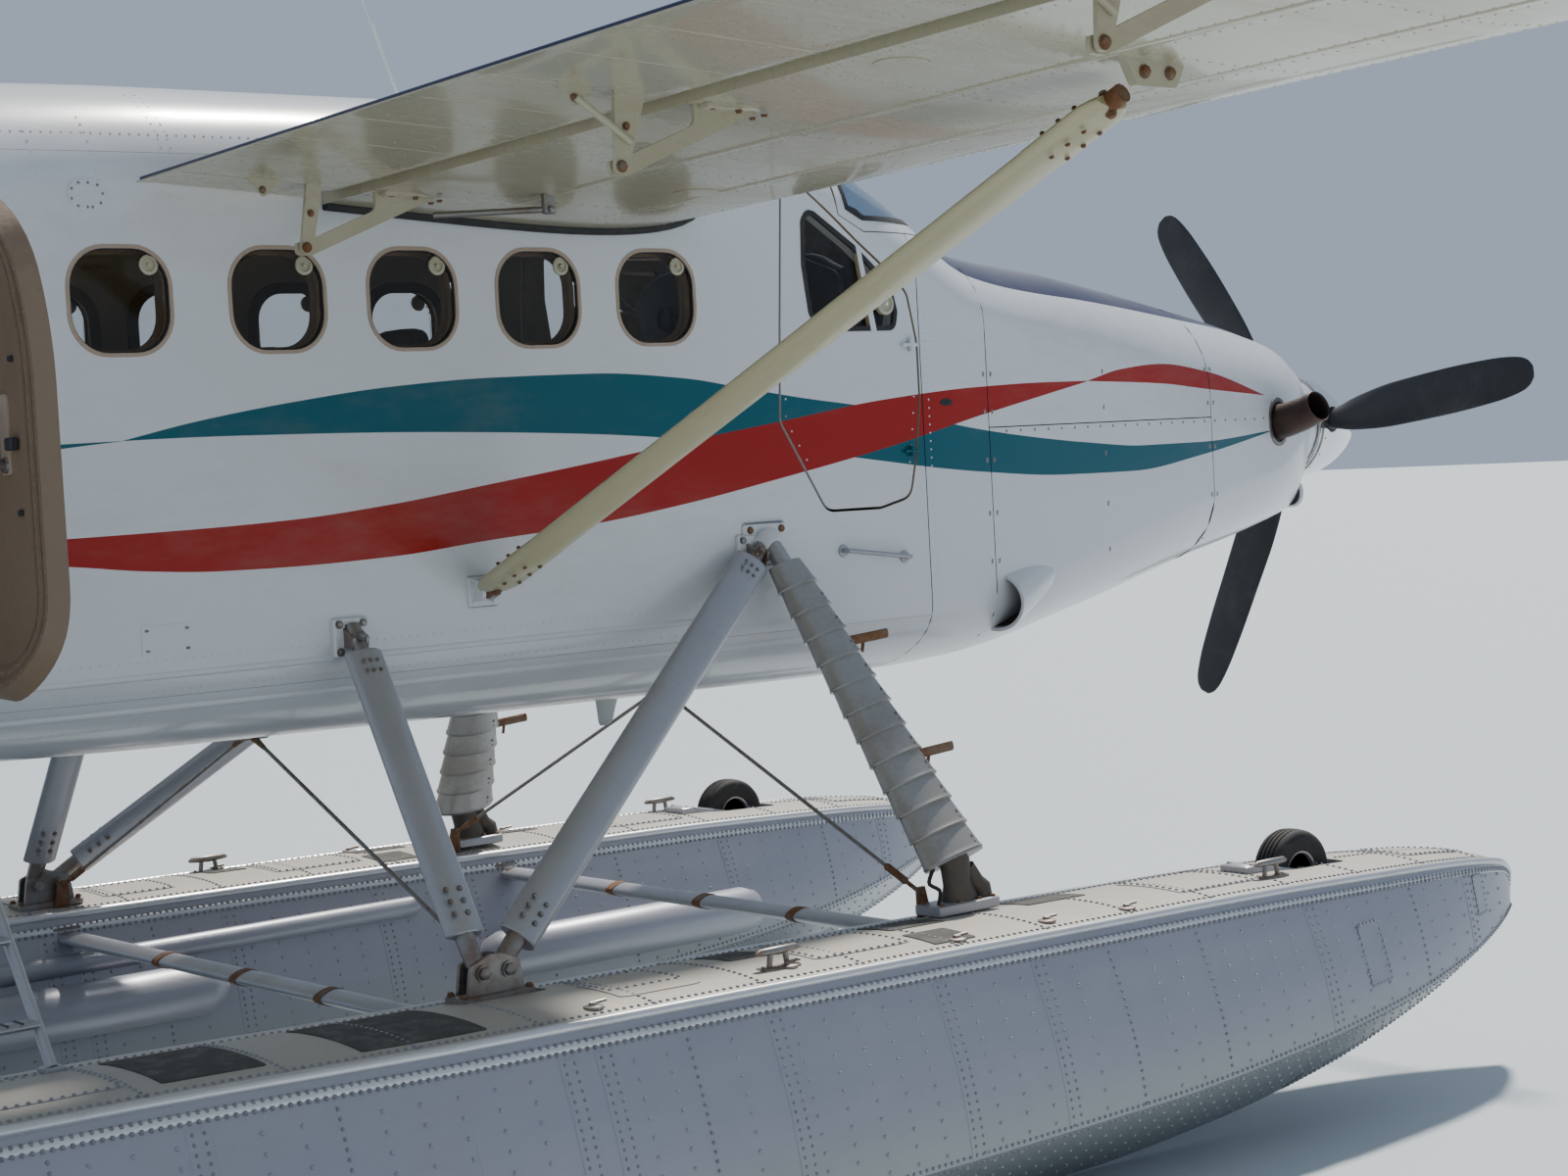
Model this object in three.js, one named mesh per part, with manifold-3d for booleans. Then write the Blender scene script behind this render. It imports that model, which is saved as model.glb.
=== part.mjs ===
// A high-wing turboprop utility aeroplane on twin floats with retracted wheels, parked on its float keels.
// Millimetres, +X to the nose, +Y to port, +Z up. Stations below are measured from a datum near the
// wing's leading edge, and the last lines move the whole model so that the origin is under its middle.
import * as THREE from 'three';
import { mergeVertices } from 'three/addons/utils/BufferGeometryUtils.js';
import Module from 'manifold-3d';

const wasm = await Module();
wasm.setup();

// Overall stations
const SPINNER_TIP_X = 4850;
const RUDDER_END_X = -8950;
const KEEL_Z = -2350;
const GAP = 0.4; // between pieces that touch
const SEAM = 10; // round the doors

// Fuselage
const WALL = 60; // outer skin to inner trim
const CONE_WALL = 32;
const COWL_WALL = 45;
const FIREWALL_X = 1375;
const BULKHEAD_X = -3680;
const SIDE_Y = 820;
const FLOOR_TOP_Z = -400;

// Windows: centre stations from front to rear, one size, one height
const WINDOW_X = [175, -307, -787, -1266, -1786];
const WINDOW = { width: 330, height: 320, radius: 120, z: 695 };
const PANE = 6; // thickness of the window sheets

// Doors
const CABIN_DOOR = { x0: -3110, x1: -2340, z0: -390, z1: 930, radius: 210, open: 90 };
const CARGO_DOOR = { x0: -3480, x1: -2300, z0: -390, z1: 750, radius: 60 };

// Wing
const WING_LE_X = 377;
const CHORD = 2130;
const WING_Z = 1030; // chord line at the root
const DIHEDRAL = THREE.MathUtils.degToRad(2.16);
const ROOT_Y = 822;
const TIP_Y = 8850;
const HINGE_CUT = 0.69; // of the chord, where flaps and ailerons begin
const FLAP = { y0: 900, y1: 5560 };
const AILERON = { y0: 5580, y1: 8640 };
const FLAP_PIVOT = { x: -1330, drop: 215 };
const FLAP_ARMS_Y = [1100, 2650, 4300, 5350];
const STRUT_ROOT = [-594, 842, -239];
const STRUT_TOP = [-450, 3550, 985];

// Tail
const TAILPLANE = { z: 1290, rootChord: 1560, tipChord: 1180, span: 6460, hingeX: -8330 };
const FIN = { baseZ: 960, topZ: 2450, leBase: -7330, leTop: -8060 };
const RUDDER_HINGE_X = -8350;

// Propeller
const PROP = { x: 4430, z: 142, radius: 1320, tilt: 5.5, angle: -38.1 };

// Floats and their gear
const FLOAT_Y = 1646;
const STEP_X = -1520;
const PYLON = { x: 783, rootX: 585, rootZ: -160 };
const V_FOOT = { x: -1090, z: -1352 };
const V_FORE_ROOT = [520, -185];
const V_AFT_ROOT = [-1093, -345];
const FOOT_IN = 160; // feet stand this far inboard of the float's centre line
const FORE_BAR = { x: 876, z: -1530 };
const AFT_BAR = { x: -1084, z: -1500 };
const NOSE_WHEEL = { x: 2325, z: -1482, radius: 158, width: 120 };
const MAIN_WHEEL = { x: -1950, z: -1850, radius: 255, width: 150, spacing: 240 };
const WATER_RUDDER_X = -5560;

const COLOURS = {
  white: { color: 0xe8ebee, roughness: 0.3, metalness: 0 },
  cream: { color: 0xd9d4c0, roughness: 0.4, metalness: 0 },
  silver: { color: 0xb4b9c2, roughness: 0.45, metalness: 0.6 },
  steel: { color: 0x9a9ba0, roughness: 0.3, metalness: 1 },
  polished: { color: 0xdde0e4, roughness: 0.08, metalness: 1 },
  black: { color: 0x16171a, roughness: 0.5, metalness: 0 },
  rubber: { color: 0x1c1c1e, roughness: 0.9, metalness: 0 },
  burnt: { color: 0x3a2c28, roughness: 0.6, metalness: 0.8 },
  tan: { color: 0x9c8166, roughness: 0.8, metalness: 0 },
  leather: { color: 0x6b5a49, roughness: 0.7, metalness: 0 },
  glass: { color: 0xb8c8cc, roughness: 0.05, metalness: 0 },
};

const v = (x, y, z) => new THREE.Vector3(x, y, z);
const rad = THREE.MathUtils.degToRad;
const lerp = THREE.MathUtils.lerp;

const aircraft = new THREE.Group();

function material(name) {
  return new THREE.MeshStandardMaterial(COLOURS[name]);
}

function add(name, geometry, colour, parent = aircraft) {
  const mesh = new THREE.Mesh(geometry, material(colour));
  mesh.name = name;
  parent.add(mesh);
  return mesh;
}

// Solids: geometry to a closed solid and back
function solid(geometry) {
  const bare = geometry.clone();
  bare.deleteAttribute('normal');
  bare.deleteAttribute('uv');
  const merged = mergeVertices(bare, 1e-3);
  return new wasm.Manifold(new wasm.Mesh({
    numProp: 3,
    vertProperties: new Float32Array(merged.attributes.position.array),
    triVerts: new Uint32Array(merged.index.array),
  }));
}

function shape(solidBody) {
  const mesh = solidBody.getMesh();
  const geometry = new THREE.BufferGeometry();
  geometry.setAttribute('position', new THREE.BufferAttribute(new Float32Array(mesh.vertProperties), 3));
  geometry.setIndex(new THREE.BufferAttribute(new Uint32Array(mesh.triVerts), 1));
  geometry.computeVertexNormals();
  return geometry;
}

const join = (...parts) => parts.reduce((whole, part) => whole.add(part));
const cut = (whole, ...parts) => parts.reduce((rest, part) => rest.subtract(part), whole);

// Closed body through rings of equal point counts
function loft(rings) {
  const count = rings[0].length;
  const points = rings.flat();
  const faces = [];
  for (let r = 0; r < rings.length - 1; r += 1) {
    for (let i = 0; i < count; i += 1) {
      const a = r * count + i;
      const b = r * count + ((i + 1) % count);
      faces.push(a, b, a + count, b, b + count, a + count);
    }
  }
  const last = (rings.length - 1) * count;
  for (let i = 1; i < count - 1; i += 1) {
    faces.push(0, i + 1, i, last, last + i, last + i + 1);
  }
  let volume = 0;
  for (let f = 0; f < faces.length; f += 3) {
    const [a, b, c] = [points[faces[f]], points[faces[f + 1]], points[faces[f + 2]]];
    volume += a.dot(b.clone().cross(c));
  }
  if (volume < 0) faces.reverse();
  const geometry = new THREE.BufferGeometry();
  geometry.setAttribute('position', new THREE.Float32BufferAttribute(points.flatMap((p) => p.toArray()), 3));
  geometry.setIndex(faces);
  geometry.computeVertexNormals();
  return geometry;
}

// Outline helpers: flat shapes in a side, top or front view, pushed through between two depths
function outline(points) {
  return new THREE.Shape(points.map(([a, b]) => new THREE.Vector2(a, b)));
}

function roundedOutline(x0, x1, z0, z1, radius) {
  const s = new THREE.Shape();
  s.moveTo(x0 + radius, z0);
  s.lineTo(x1 - radius, z0);
  s.absarc(x1 - radius, z0 + radius, radius, -Math.PI / 2, 0);
  s.absarc(x1 - radius, z1 - radius, radius, 0, Math.PI / 2);
  s.absarc(x0 + radius, z1 - radius, radius, Math.PI / 2, Math.PI);
  s.absarc(x0 + radius, z0 + radius, radius, Math.PI, 1.5 * Math.PI);
  return s;
}

function pushed(flat, depth, curveSegments = 4) {
  return new THREE.ExtrudeGeometry(flat, { depth, bevelEnabled: false, curveSegments });
}

function sideView(flat, y0, y1) {
  return pushed(flat, y1 - y0).rotateX(Math.PI / 2).translate(0, y1, 0);
}

function topView(flat, z0, z1) {
  return pushed(flat, z1 - z0).translate(0, 0, z0);
}

function frontView(flat, x0, x1) {
  const turn = new THREE.Matrix4().makeBasis(v(0, 1, 0), v(0, 0, 1), v(1, 0, 0));
  return pushed(flat, x1 - x0).applyMatrix4(turn).translate(x0, 0, 0);
}

function box(x0, x1, y0, y1, z0, z1) {
  return new THREE.BoxGeometry(x1 - x0, y1 - y0, z1 - z0)
    .translate((x0 + x1) / 2, (y0 + y1) / 2, (z0 + z1) / 2);
}

function mirror(geometry) {
  return shape(solid(geometry).mirror([0, 1, 0]));
}

// A straight bar of elliptical section; its long side lies as near as it can to the given direction
function bar(from, to, chord, thick, along = v(1, 0, 0), sides = 14, endScale = 1) {
  const axis = to.clone().sub(from).normalize();
  const across = along.clone().addScaledVector(axis, -along.dot(axis)).normalize();
  const up = axis.clone().cross(across);
  const ring = (centre, scale) => Array.from({ length: sides }, (_, i) => {
    const a = (i / sides) * 2 * Math.PI;
    return centre.clone()
      .addScaledVector(across, Math.cos(a) * chord * scale / 2)
      .addScaledVector(up, Math.sin(a) * thick * scale / 2);
  });
  return loft([ring(from, 1), ring(to, endScale)]);
}

// Fuselage: rows are station x, half width, top, bottom, top corner depth, bottom corner depth
const BODY_COLUMNS = ['x', 'w', 'top', 'bottom', 'shoulder', 'bilge'];
const BODY = [
  [-8290, 105, 940, 390, 300, 200],
  [-7600, 240, 995, 190, 460, 290],
  [-6500, 430, 1070, -60, 640, 400],
  [-5000, 610, 1190, -330, 860, 470],
  [-3700, 750, 1300, -540, 950, 460],
  [-3110, 786, 1337, -592, 920, 500],
  [-2340, 816, 1373, -640, 480, 350],
  [-1500, 820, 1392, -665, 370, 280],
  [700, 820, 1392, -690, 370, 260],
  [950, 818, 1370, -692, 400, 260],
  [1380, 812, 1165, -690, 420, 260],
  [1750, 785, 925, -675, 330, 260],
  [2480, 690, 822, -560, 360, 300],
  [3250, 555, 690, -405, 380, 300],
  [3830, 420, 575, -300, 340, 270],
  [4170, 292, 482, -236, 300, 340],
].map((row) => Object.fromEntries(row.map((value, i) => [BODY_COLUMNS[i], value])));
const CORNER_STEPS = 5;
const CORNER_WIDE = 0.66; // of the half width

function bodyRing(station, inset) {
  const w = station.w - inset;
  const top = station.top - inset;
  const bottom = station.bottom + inset;
  const wide = w * CORNER_WIDE;
  const corners = [
    { cy: w - wide, cz: bottom + station.bilge, depth: station.bilge, from: -90 },
    { cy: w - wide, cz: top - station.shoulder, depth: station.shoulder, from: 0 },
    { cy: wide - w, cz: top - station.shoulder, depth: station.shoulder, from: 90 },
    { cy: wide - w, cz: bottom + station.bilge, depth: station.bilge, from: 180 },
  ];
  return corners.flatMap(({ cy, cz, depth, from }) => Array.from({ length: CORNER_STEPS + 1 }, (_, i) => {
    const a = rad(from + (90 * i) / CORNER_STEPS);
    return v(station.x, cy + wide * Math.cos(a), cz + depth * Math.sin(a));
  }));
}

function bodyAt(x) {
  const next = BODY.findIndex((station) => station.x >= x);
  if (next <= 0) return { ...BODY[0], x };
  const [a, b] = [BODY[next - 1], BODY[next]];
  const t = (x - a.x) / (b.x - a.x);
  return Object.fromEntries(BODY_COLUMNS.map((key) => [key, lerp(a[key], b[key], t)]));
}

function bodyBetween(x0, x1, inset = 0) {
  const stations = [bodyAt(x0), ...BODY.filter((s) => s.x > x0 + 1 && s.x < x1 - 1), bodyAt(x1)];
  return solid(loft(stations.map((station) => bodyRing(station, inset))));
}

function bodyShell(x0, x1, wall, openEnds = 1) {
  return bodyBetween(x0, x1).subtract(bodyBetween(x0 - openEnds, x1 + openEnds, wall));
}

const windowPrism = (x, grow, y0, y1) => {
  const { width, height, radius, z } = WINDOW;
  return solid(sideView(
    roundedOutline(x - width / 2 - grow, x + width / 2 + grow, z - height / 2 - grow, z + height / 2 + grow,
      radius + grow), y0, y1));
};

const COCKPIT_DOOR_OUTLINE = [
  [692, 260], [887, -58], [1144, -60], [1290, -28], [1331, 130], [1358, 330], [1358, 524], [1320, 700],
  [1272, 755], [1080, 895], [853, 1075], [800, 1090], [750, 1062], [714, 585],
];
const COCKPIT_PANE_OUTLINE = [
  [891, 582], [1250, 582], [1262, 640], [1236, 737], [1069, 872], [890, 985], [862, 990], [840, 960],
  [834, 807], [856, 640],
];

// Widen or shrink an outline about its own middle by a fixed amount on every side
function offsetOutline(points, amount) {
  const area = points.reduce((sum, [x, z], i) => {
    const [nx, nz] = points[(i + 1) % points.length];
    return sum + x * nz - nx * z;
  }, 0);
  const sign = Math.sign(area);
  return points.map(([x, z], i) => {
    const [px, pz] = points[(i + points.length - 1) % points.length];
    const [nx, nz] = points[(i + 1) % points.length];
    const a = new THREE.Vector2(x - px, z - pz).normalize();
    const b = new THREE.Vector2(nx - x, nz - z).normalize();
    const na = new THREE.Vector2(a.y, -a.x).multiplyScalar(sign);
    const nb = new THREE.Vector2(b.y, -b.x).multiplyScalar(sign);
    const out = na.add(nb).divideScalar(1 + na.dot(nb));
    return [x + out.x * amount, z + out.y * amount];
  });
}

const STARBOARD = -1;
const PORT = 1;
const sideRange = (side, inner, outer) => (side === PORT ? [inner, outer] : [-outer, -inner]);

function sidePrism(flat, side, inner = 300, outer = 1100) {
  return solid(sideView(flat, ...sideRange(side, inner, outer)));
}

const doorRect = (door, grow) => roundedOutline(
  door.x0 - grow, door.x1 + grow, door.z0 - grow, door.z1 + grow, door.radius + grow);

// Cabin shell in its real panels: two sides, roof, belly; doors and windows cut
const ROOF_Z = 1130; // lap seam between side skins and roof
const BELLY_Z = -470;
const SIDE_LAP_X = -2150; // where the starboard side's front and rear sheets meet
const SCREEN_OUTLINE = [[985, 1330], [1010, 985], [1130, 925], [1700, 925], [1700, 1330]];

function cabinShell() {
  return bodyShell(BULKHEAD_X, FIREWALL_X, WALL);
}

function cabinSide(side) {
  const band = solid(box(BULKHEAD_X - 5, FIREWALL_X + 5, ...sideRange(side, 200, 1000),
    BELLY_Z + GAP, ROOF_Z - GAP));
  let panel = cabinShell().intersect(band);
  WINDOW_X.forEach((x) => {
    panel = panel.subtract(windowPrism(x, 0, ...sideRange(side, 600, 1000)));
  });
  panel = panel.subtract(sidePrism(outline(offsetOutline(COCKPIT_DOOR_OUTLINE, SEAM)), side));
  panel = panel.subtract(sidePrism(doorRect(side === STARBOARD ? CABIN_DOOR : CARGO_DOOR, SEAM), side));
  panel = panel.subtract(solid(sideView(outline(SCREEN_OUTLINE), -1000, 1000)));
  return largest(panel);
}

// The one biggest body of a cut, without slivers
function largest(body) {
  return body.decompose().sort((a, b) => b.volume() - a.volume())[0];
}

function cabin() {
  const doorSide = cabinSide(STARBOARD);
  const rear = solid(box(BULKHEAD_X - 5, SIDE_LAP_X - GAP, -1000, 0, -900, 1500));
  const front = solid(box(SIDE_LAP_X + GAP, FIREWALL_X + 5, -1000, 0, -900, 1500));
  add('cabin_side_starboard', shape(doorSide.intersect(front)), 'white');
  add('door_surround_starboard', shape(doorSide.intersect(rear)), 'white');
  add('cabin_side_port', shape(cabinSide(PORT)), 'white');
  const roofBand = solid(box(BULKHEAD_X - 5, FIREWALL_X + 5, -1000, 1000, ROOF_Z + GAP, 1500));
  const screen = solid(sideView(outline(SCREEN_OUTLINE), -1000, 1000));
  const cockpitDoors = [STARBOARD, PORT].map(
    (side) => sidePrism(outline(offsetOutline(COCKPIT_DOOR_OUTLINE, SEAM)), side));
  add('cabin_roof', shape(largest(cut(cabinShell().intersect(roofBand), screen, ...cockpitDoors))), 'white');
  const floorRoom = solid(box(BULKHEAD_X - 5, FIREWALL_X + 5, -1000, 1000, BELLY_Z - GAP, 1500));
  const sill = bodyBetween(BULKHEAD_X + 20, FIREWALL_X - 45, WALL + GAP)
    .intersect(solid(box(-4000, 1400, -1000, 1000, BELLY_Z - 50, FLOOR_TOP_Z)));
  const belly = bodyBetween(BULKHEAD_X, FIREWALL_X).subtract(floorRoom);
  add('cabin_belly', shape(largest(belly.add(sill))), 'white');
}

// Windscreen: bent panes between the roof, the corner posts and the cowl
function windscreen() {
  const region = solid(sideView(outline(offsetOutline(SCREEN_OUTLINE, -GAP)), -1000, 1000));
  const skin = bodyBetween(900, 1760).subtract(bodyBetween(890, 1770, 26));
  const doors = [STARBOARD, PORT].map(
    (side) => sidePrism(outline(offsetOutline(COCKPIT_DOOR_OUTLINE, SEAM)), side));
  add('windscreen', shape(largest(cut(skin.intersect(region), ...doors))), 'glass');
}

function windowStrips() {
  const front = Math.max(...WINDOW_X) + WINDOW.width / 2 + 20;
  const rear = Math.min(...WINDOW_X) - WINDOW.width / 2 - 20;
  const inset = WALL + GAP;
  const skin = bodyBetween(rear, front, inset).subtract(bodyBetween(rear - 5, front + 5, inset + PANE));
  [[STARBOARD, 'starboard'], [PORT, 'port']].forEach(([side, name]) => {
    const band = solid(box(rear - 1, front + 1, ...sideRange(side, 300, 1000),
      WINDOW.z - WINDOW.height / 2 - 20, WINDOW.z + WINDOW.height / 2 + 20));
    add(`cabin_window_sheet_${name}`, shape(skin.intersect(band)), 'glass');
  });
}

// Doors are cut from the same shell, so each is as thick as the wall
function cockpitDoor(side, name) {
  let door = cabinShell().intersect(sidePrism(outline(COCKPIT_DOOR_OUTLINE), side, 500));
  door = door.subtract(sidePrism(outline(COCKPIT_PANE_OUTLINE), side, 400));
  add(`cockpit_door_${name}`, shape(largest(door)), 'white');
}

const CABIN_DOOR_WINDOW = { x0: -2890, x1: -2560, z0: 535, z1: 855, radius: 120 };

function cabinDoor() {
  const hinge = v(CABIN_DOOR.x1 + 10, -(bodyAt(CABIN_DOOR.x1).w + 18), 0);
  const door = cabinShell().intersect(sidePrism(doorRect(CABIN_DOOR, 0), STARBOARD))
    .subtract(sidePrism(doorRect(CABIN_DOOR_WINDOW, 0), STARBOARD));
  const group = new THREE.Group();
  group.position.copy(hinge);
  group.rotation.z = rad(CABIN_DOOR.open);
  aircraft.add(group);
  add('cabin_door_starboard', shape(largest(door)).translate(-hinge.x, -hinge.y, 0), 'white', group);
}

function cargoDoors() {
  const middle = (CARGO_DOOR.x0 + CARGO_DOOR.x1) / 2;
  const whole = cabinShell().intersect(sidePrism(doorRect(CARGO_DOOR, 0), PORT));
  [['fore', middle + SEAM / 2, CARGO_DOOR.x1 + 10], ['aft', CARGO_DOOR.x0 - 10, middle - SEAM / 2]]
    .forEach(([name, x0, x1]) => {
      add(`cargo_door_${name}`, shape(whole.intersect(solid(box(x0, x1, 300, 1000, -900, 1200)))), 'white');
    });
}

// Tail cone and the bulkhead ahead of it
function tailCone() {
  const outer = bodyBetween(BODY[0].x, BULKHEAD_X - GAP);
  const inner = bodyBetween(-7700, BULKHEAD_X + 10, CONE_WALL);
  add('tail_cone', shape(outer.subtract(inner)), 'white');
  const bulkhead = bodyBetween(BULKHEAD_X + 3, BULKHEAD_X + 18, WALL + 3);
  const above = solid(box(-4000, -3000, -1000, 1000, FLOOR_TOP_Z + GAP, 1500));
  const hatch = solid(box(-4000, -3000, -420, 420, -300, 900));
  add('rear_bulkhead', shape(bulkhead.intersect(above).subtract(hatch)), 'tan');
}

// Cowling: rear ring, upper and lower panels, nose bowl with the chin intake
const COWL = { rear: 1735, nose: 3250, splitZ: 205 };
function cowling() {
  const ring = bodyShell(FIREWALL_X + GAP, COWL.rear - GAP, COWL_WALL);
  const screen = solid(sideView(outline(offsetOutline(SCREEN_OUTLINE, GAP)), -1000, 1000));
  add('cowl_rear_ring', shape(largest(ring.subtract(screen))), 'white');
  const panels = bodyShell(COWL.rear + GAP, COWL.nose - GAP, COWL_WALL);
  const above = solid(box(1000, 4500, -1000, 1000, COWL.splitZ + GAP, 1500));
  const below = solid(box(1000, 4500, -1000, 1000, -900, COWL.splitZ - GAP));
  add('cowl_upper', shape(panels.intersect(above)), 'white');
  const { bump, pocket } = coolerOutlet();
  const inside = bodyBetween(1500, 2600, COWL_WALL - 5);
  const lower = panels.intersect(below).add(bump.subtract(inside)).subtract(pocket.subtract(inside));
  add('cowl_lower', shape(largest(lower)), 'white');
  noseBowl();
}

const INTAKE = { z0: -205, z1: -95, half: 190 };
const COLLAR = { front: -96, length: 190, frontRadius: 236, rearRadius: 284 }; // behind the spinner
function noseBowl() {
  const front = bodyAt(4170);
  const lip = { ...front, x: 4235, w: 240, top: 432, bottom: -222, shoulder: 285, bilge: 320 };
  const rings = [bodyAt(COWL.nose + GAP), bodyAt(3830), front, lip];
  const bowl = solid(loft(rings.map((station) => bodyRing(station, 0))));
  const hollow = solid(loft([bodyAt(COWL.nose - 5), bodyAt(3830), { ...front, x: 4120 }]
    .map((station) => bodyRing(station, COWL_WALL))));
  const intake = solid(frontView(
    roundedOutline(-INTAKE.half, INTAKE.half, INTAKE.z0, INTAKE.z1, 50), 4000, 4400));
  const shaftHole = solid(new THREE.CylinderGeometry(90, 90, 400, 16).rotateZ(Math.PI / 2)
    .translate(4250, 0, PROP.z + 15));
  const stacks = [STARBOARD, PORT].map((side) => solid(new THREE.CylinderGeometry(96, 96, 500, 16)
    .translate(EXHAUST.x, side * 480, EXHAUST.z)));
  const collar = solid(new THREE.CylinderGeometry(COLLAR.frontRadius, COLLAR.rearRadius, COLLAR.length, 32)
    .rotateZ(-Math.PI / 2).translate(COLLAR.front - COLLAR.length / 2, 0, 0)
    .rotateY(rad(PROP.tilt)).translate(PROP.x, 0, PROP.z));
  add('cowl_nose', shape(cut(join(bowl, collar), hollow, intake, shaftHole, ...stacks)), 'white');
}

const EXHAUST = { x: 3840, z: 172, radius: 82, wall: 7 };
function exhausts() {
  [[STARBOARD, 'starboard'], [PORT, 'port']].forEach(([side, name]) => {
    const path = new THREE.CatmullRomCurve3([
      v(EXHAUST.x, side * 300, EXHAUST.z), v(EXHAUST.x, side * 420, EXHAUST.z),
      v(EXHAUST.x + 6, side * 530, EXHAUST.z + 22), v(EXHAUST.x + 14, side * 625, EXHAUST.z + 56),
    ]);
    const section = new THREE.Shape().absarc(0, 0, EXHAUST.radius, 0, 2 * Math.PI);
    section.holes.push(new THREE.Path().absarc(0, 0, EXHAUST.radius - EXHAUST.wall, 0, 2 * Math.PI, true));
    const pipe = new THREE.ExtrudeGeometry(section, {
      extrudePath: path, steps: 5, curveSegments: 7, bevelEnabled: false,
    });
    add(`exhaust_${name}`, shape(solid(pipe)), 'burnt');
  });
}

// Aft-facing cooler outlet low on the starboard side: station x, half height, depth outwards, centre z
const OUTLET_ROWS = [[2210, 8, 8, -330], [2060, 70, 70, -375], [1900, 100, 120, -420], [1790, 112, 150, -455]];
function coolerOutlet() {
  const ring = ([x, half, depth, z], inset) => Array.from({ length: 12 }, (_, i) => {
    const a = (i / 12) * 2 * Math.PI;
    return v(x, -(bodyAt(x).w - 60 + Math.cos(a) * (depth - inset)), z + Math.sin(a) * (half - inset));
  });
  const bump = solid(loft(OUTLET_ROWS.map((row) => ring(row, 0))));
  const mouth = OUTLET_ROWS.slice(1).map(([x, ...rest], i) => [x - (i === 2 ? 20 : 0), ...rest]);
  const pocket = solid(loft(mouth.map((row) => ring(row, 14))));
  return { bump, pocket };
}

function engine() {
  const wall = bodyBetween(FIREWALL_X - 34, FIREWALL_X - 4, WALL + 3)
    .intersect(solid(box(1000, 1500, -1000, 1000, BELLY_Z + GAP, 1500)));
  add('engine_block', shape(wall.add(solid(box(FIREWALL_X - 10, 3950, -215, 215, -60, 340)))), 'steel');
}

// Propeller on the engine's line, which points slightly down
function propeller() {
  const hub = new THREE.Group();
  hub.position.set(PROP.x, 0, PROP.z);
  hub.rotation.y = rad(PROP.tilt);
  aircraft.add(hub);
  const rows = [ // share of radius, chord, thickness, pitch in degrees
    [0.07, 96, 92, -38], [0.17, 104, 70, -32], [0.28, 168, 40, -20], [0.45, 204, 26, -9],
    [0.65, 206, 20, -3], [0.84, 190, 14, -1], [0.95, 150, 10, 0], [1, 60, 6, 0],
  ];
  const blade = solid(loft(rows.map(([share, chord, thick, pitch]) => Array.from({ length: 10 }, (_, i) => {
    const a = (i / 10) * 2 * Math.PI;
    const along = Math.cos(a) * chord / 2;
    const out = Math.sin(a) * thick / 2;
    const p = rad(pitch);
    return v(along * Math.sin(p) + out * Math.cos(p), along * Math.cos(p) - out * Math.sin(p),
      share * PROP.radius);
  }))));
  const core = solid(new THREE.CylinderGeometry(128, 128, 110, 16).rotateZ(Math.PI / 2).translate(10, 0, 0));
  const shaft = solid(new THREE.CylinderGeometry(62, 62, 300, 12).rotateZ(Math.PI / 2).translate(-170, 0, 0));
  const blades = [0, 120, 240].map((turn) => blade.rotate([PROP.angle + turn, 0, 0]));
  add('propeller', shape(join(core, shaft, ...blades)), 'black', hub);

  const length = (SPINNER_TIP_X - PROP.x) / Math.cos(rad(PROP.tilt));
  const profile = [ // distance ahead of the blades, radius
    [-78, 0], [-78, 236], [-20, 239], [60, 222], [190, 172], [310, 96], [390, 36], [length, 0],
  ].map(([x, r]) => new THREE.Vector2(r, x));
  const dome = solid(new THREE.LatheGeometry(profile, 20).rotateZ(-Math.PI / 2));
  const room = solid(new THREE.CylinderGeometry(150, 150, 150, 16).rotateZ(Math.PI / 2).translate(12, 0, 0));
  const bore = solid(new THREE.CylinderGeometry(75, 75, 200, 12).rotateZ(Math.PI / 2).translate(-150, 0, 0));
  const slots = [0, 120, 240].map((turn) => solid(new THREE.CylinderGeometry(66, 66, 400, 12)
    .rotateX(Math.PI / 2).translate(0, 0, 200)).rotate([PROP.angle + turn, 0, 0]));
  add('spinner', shape(cut(dome, room, bore, ...slots)), 'polished', hub);
}

// Wing section: upper and lower heights of the aerofoil at a share of the chord
const THICKNESS = 0.145;
const CAMBER = 0.028;
function foil(t, upper) {
  const half = 5 * THICKNESS * (0.2969 * Math.sqrt(t) - 0.126 * t - 0.3516 * t ** 2 + 0.2843 * t ** 3
    - 0.1036 * t ** 4);
  const mean = CAMBER * 4 * t * (1 - t);
  return mean + (upper ? half : -half);
}

const wingZ = (y) => WING_Z + (Math.abs(y) - ROOT_Y) * Math.tan(DIHEDRAL);

function foilRing(y, shares, chord = CHORD, leX = WING_LE_X, z = wingZ(y)) {
  const upper = shares.map((t) => v(leX - chord * t, y, z + chord * foil(t, true)));
  const lower = shares.slice().reverse().filter((t) => t > 0)
    .map((t) => v(leX - chord * t, y, z + chord * foil(t, false)));
  return [...upper, ...lower];
}

const FRONT_SHARES = [0, 0.006, 0.025, 0.06, 0.12, 0.22, 0.35, 0.5, HINGE_CUT];
const REAR_SHARES = [0, 0.02, 0.07, 0.16, 0.3, 0.5, 0.75, 1];

function plateXZ(points, y, half) {
  return solid(sideView(outline(points), y - half, y + half));
}

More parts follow.
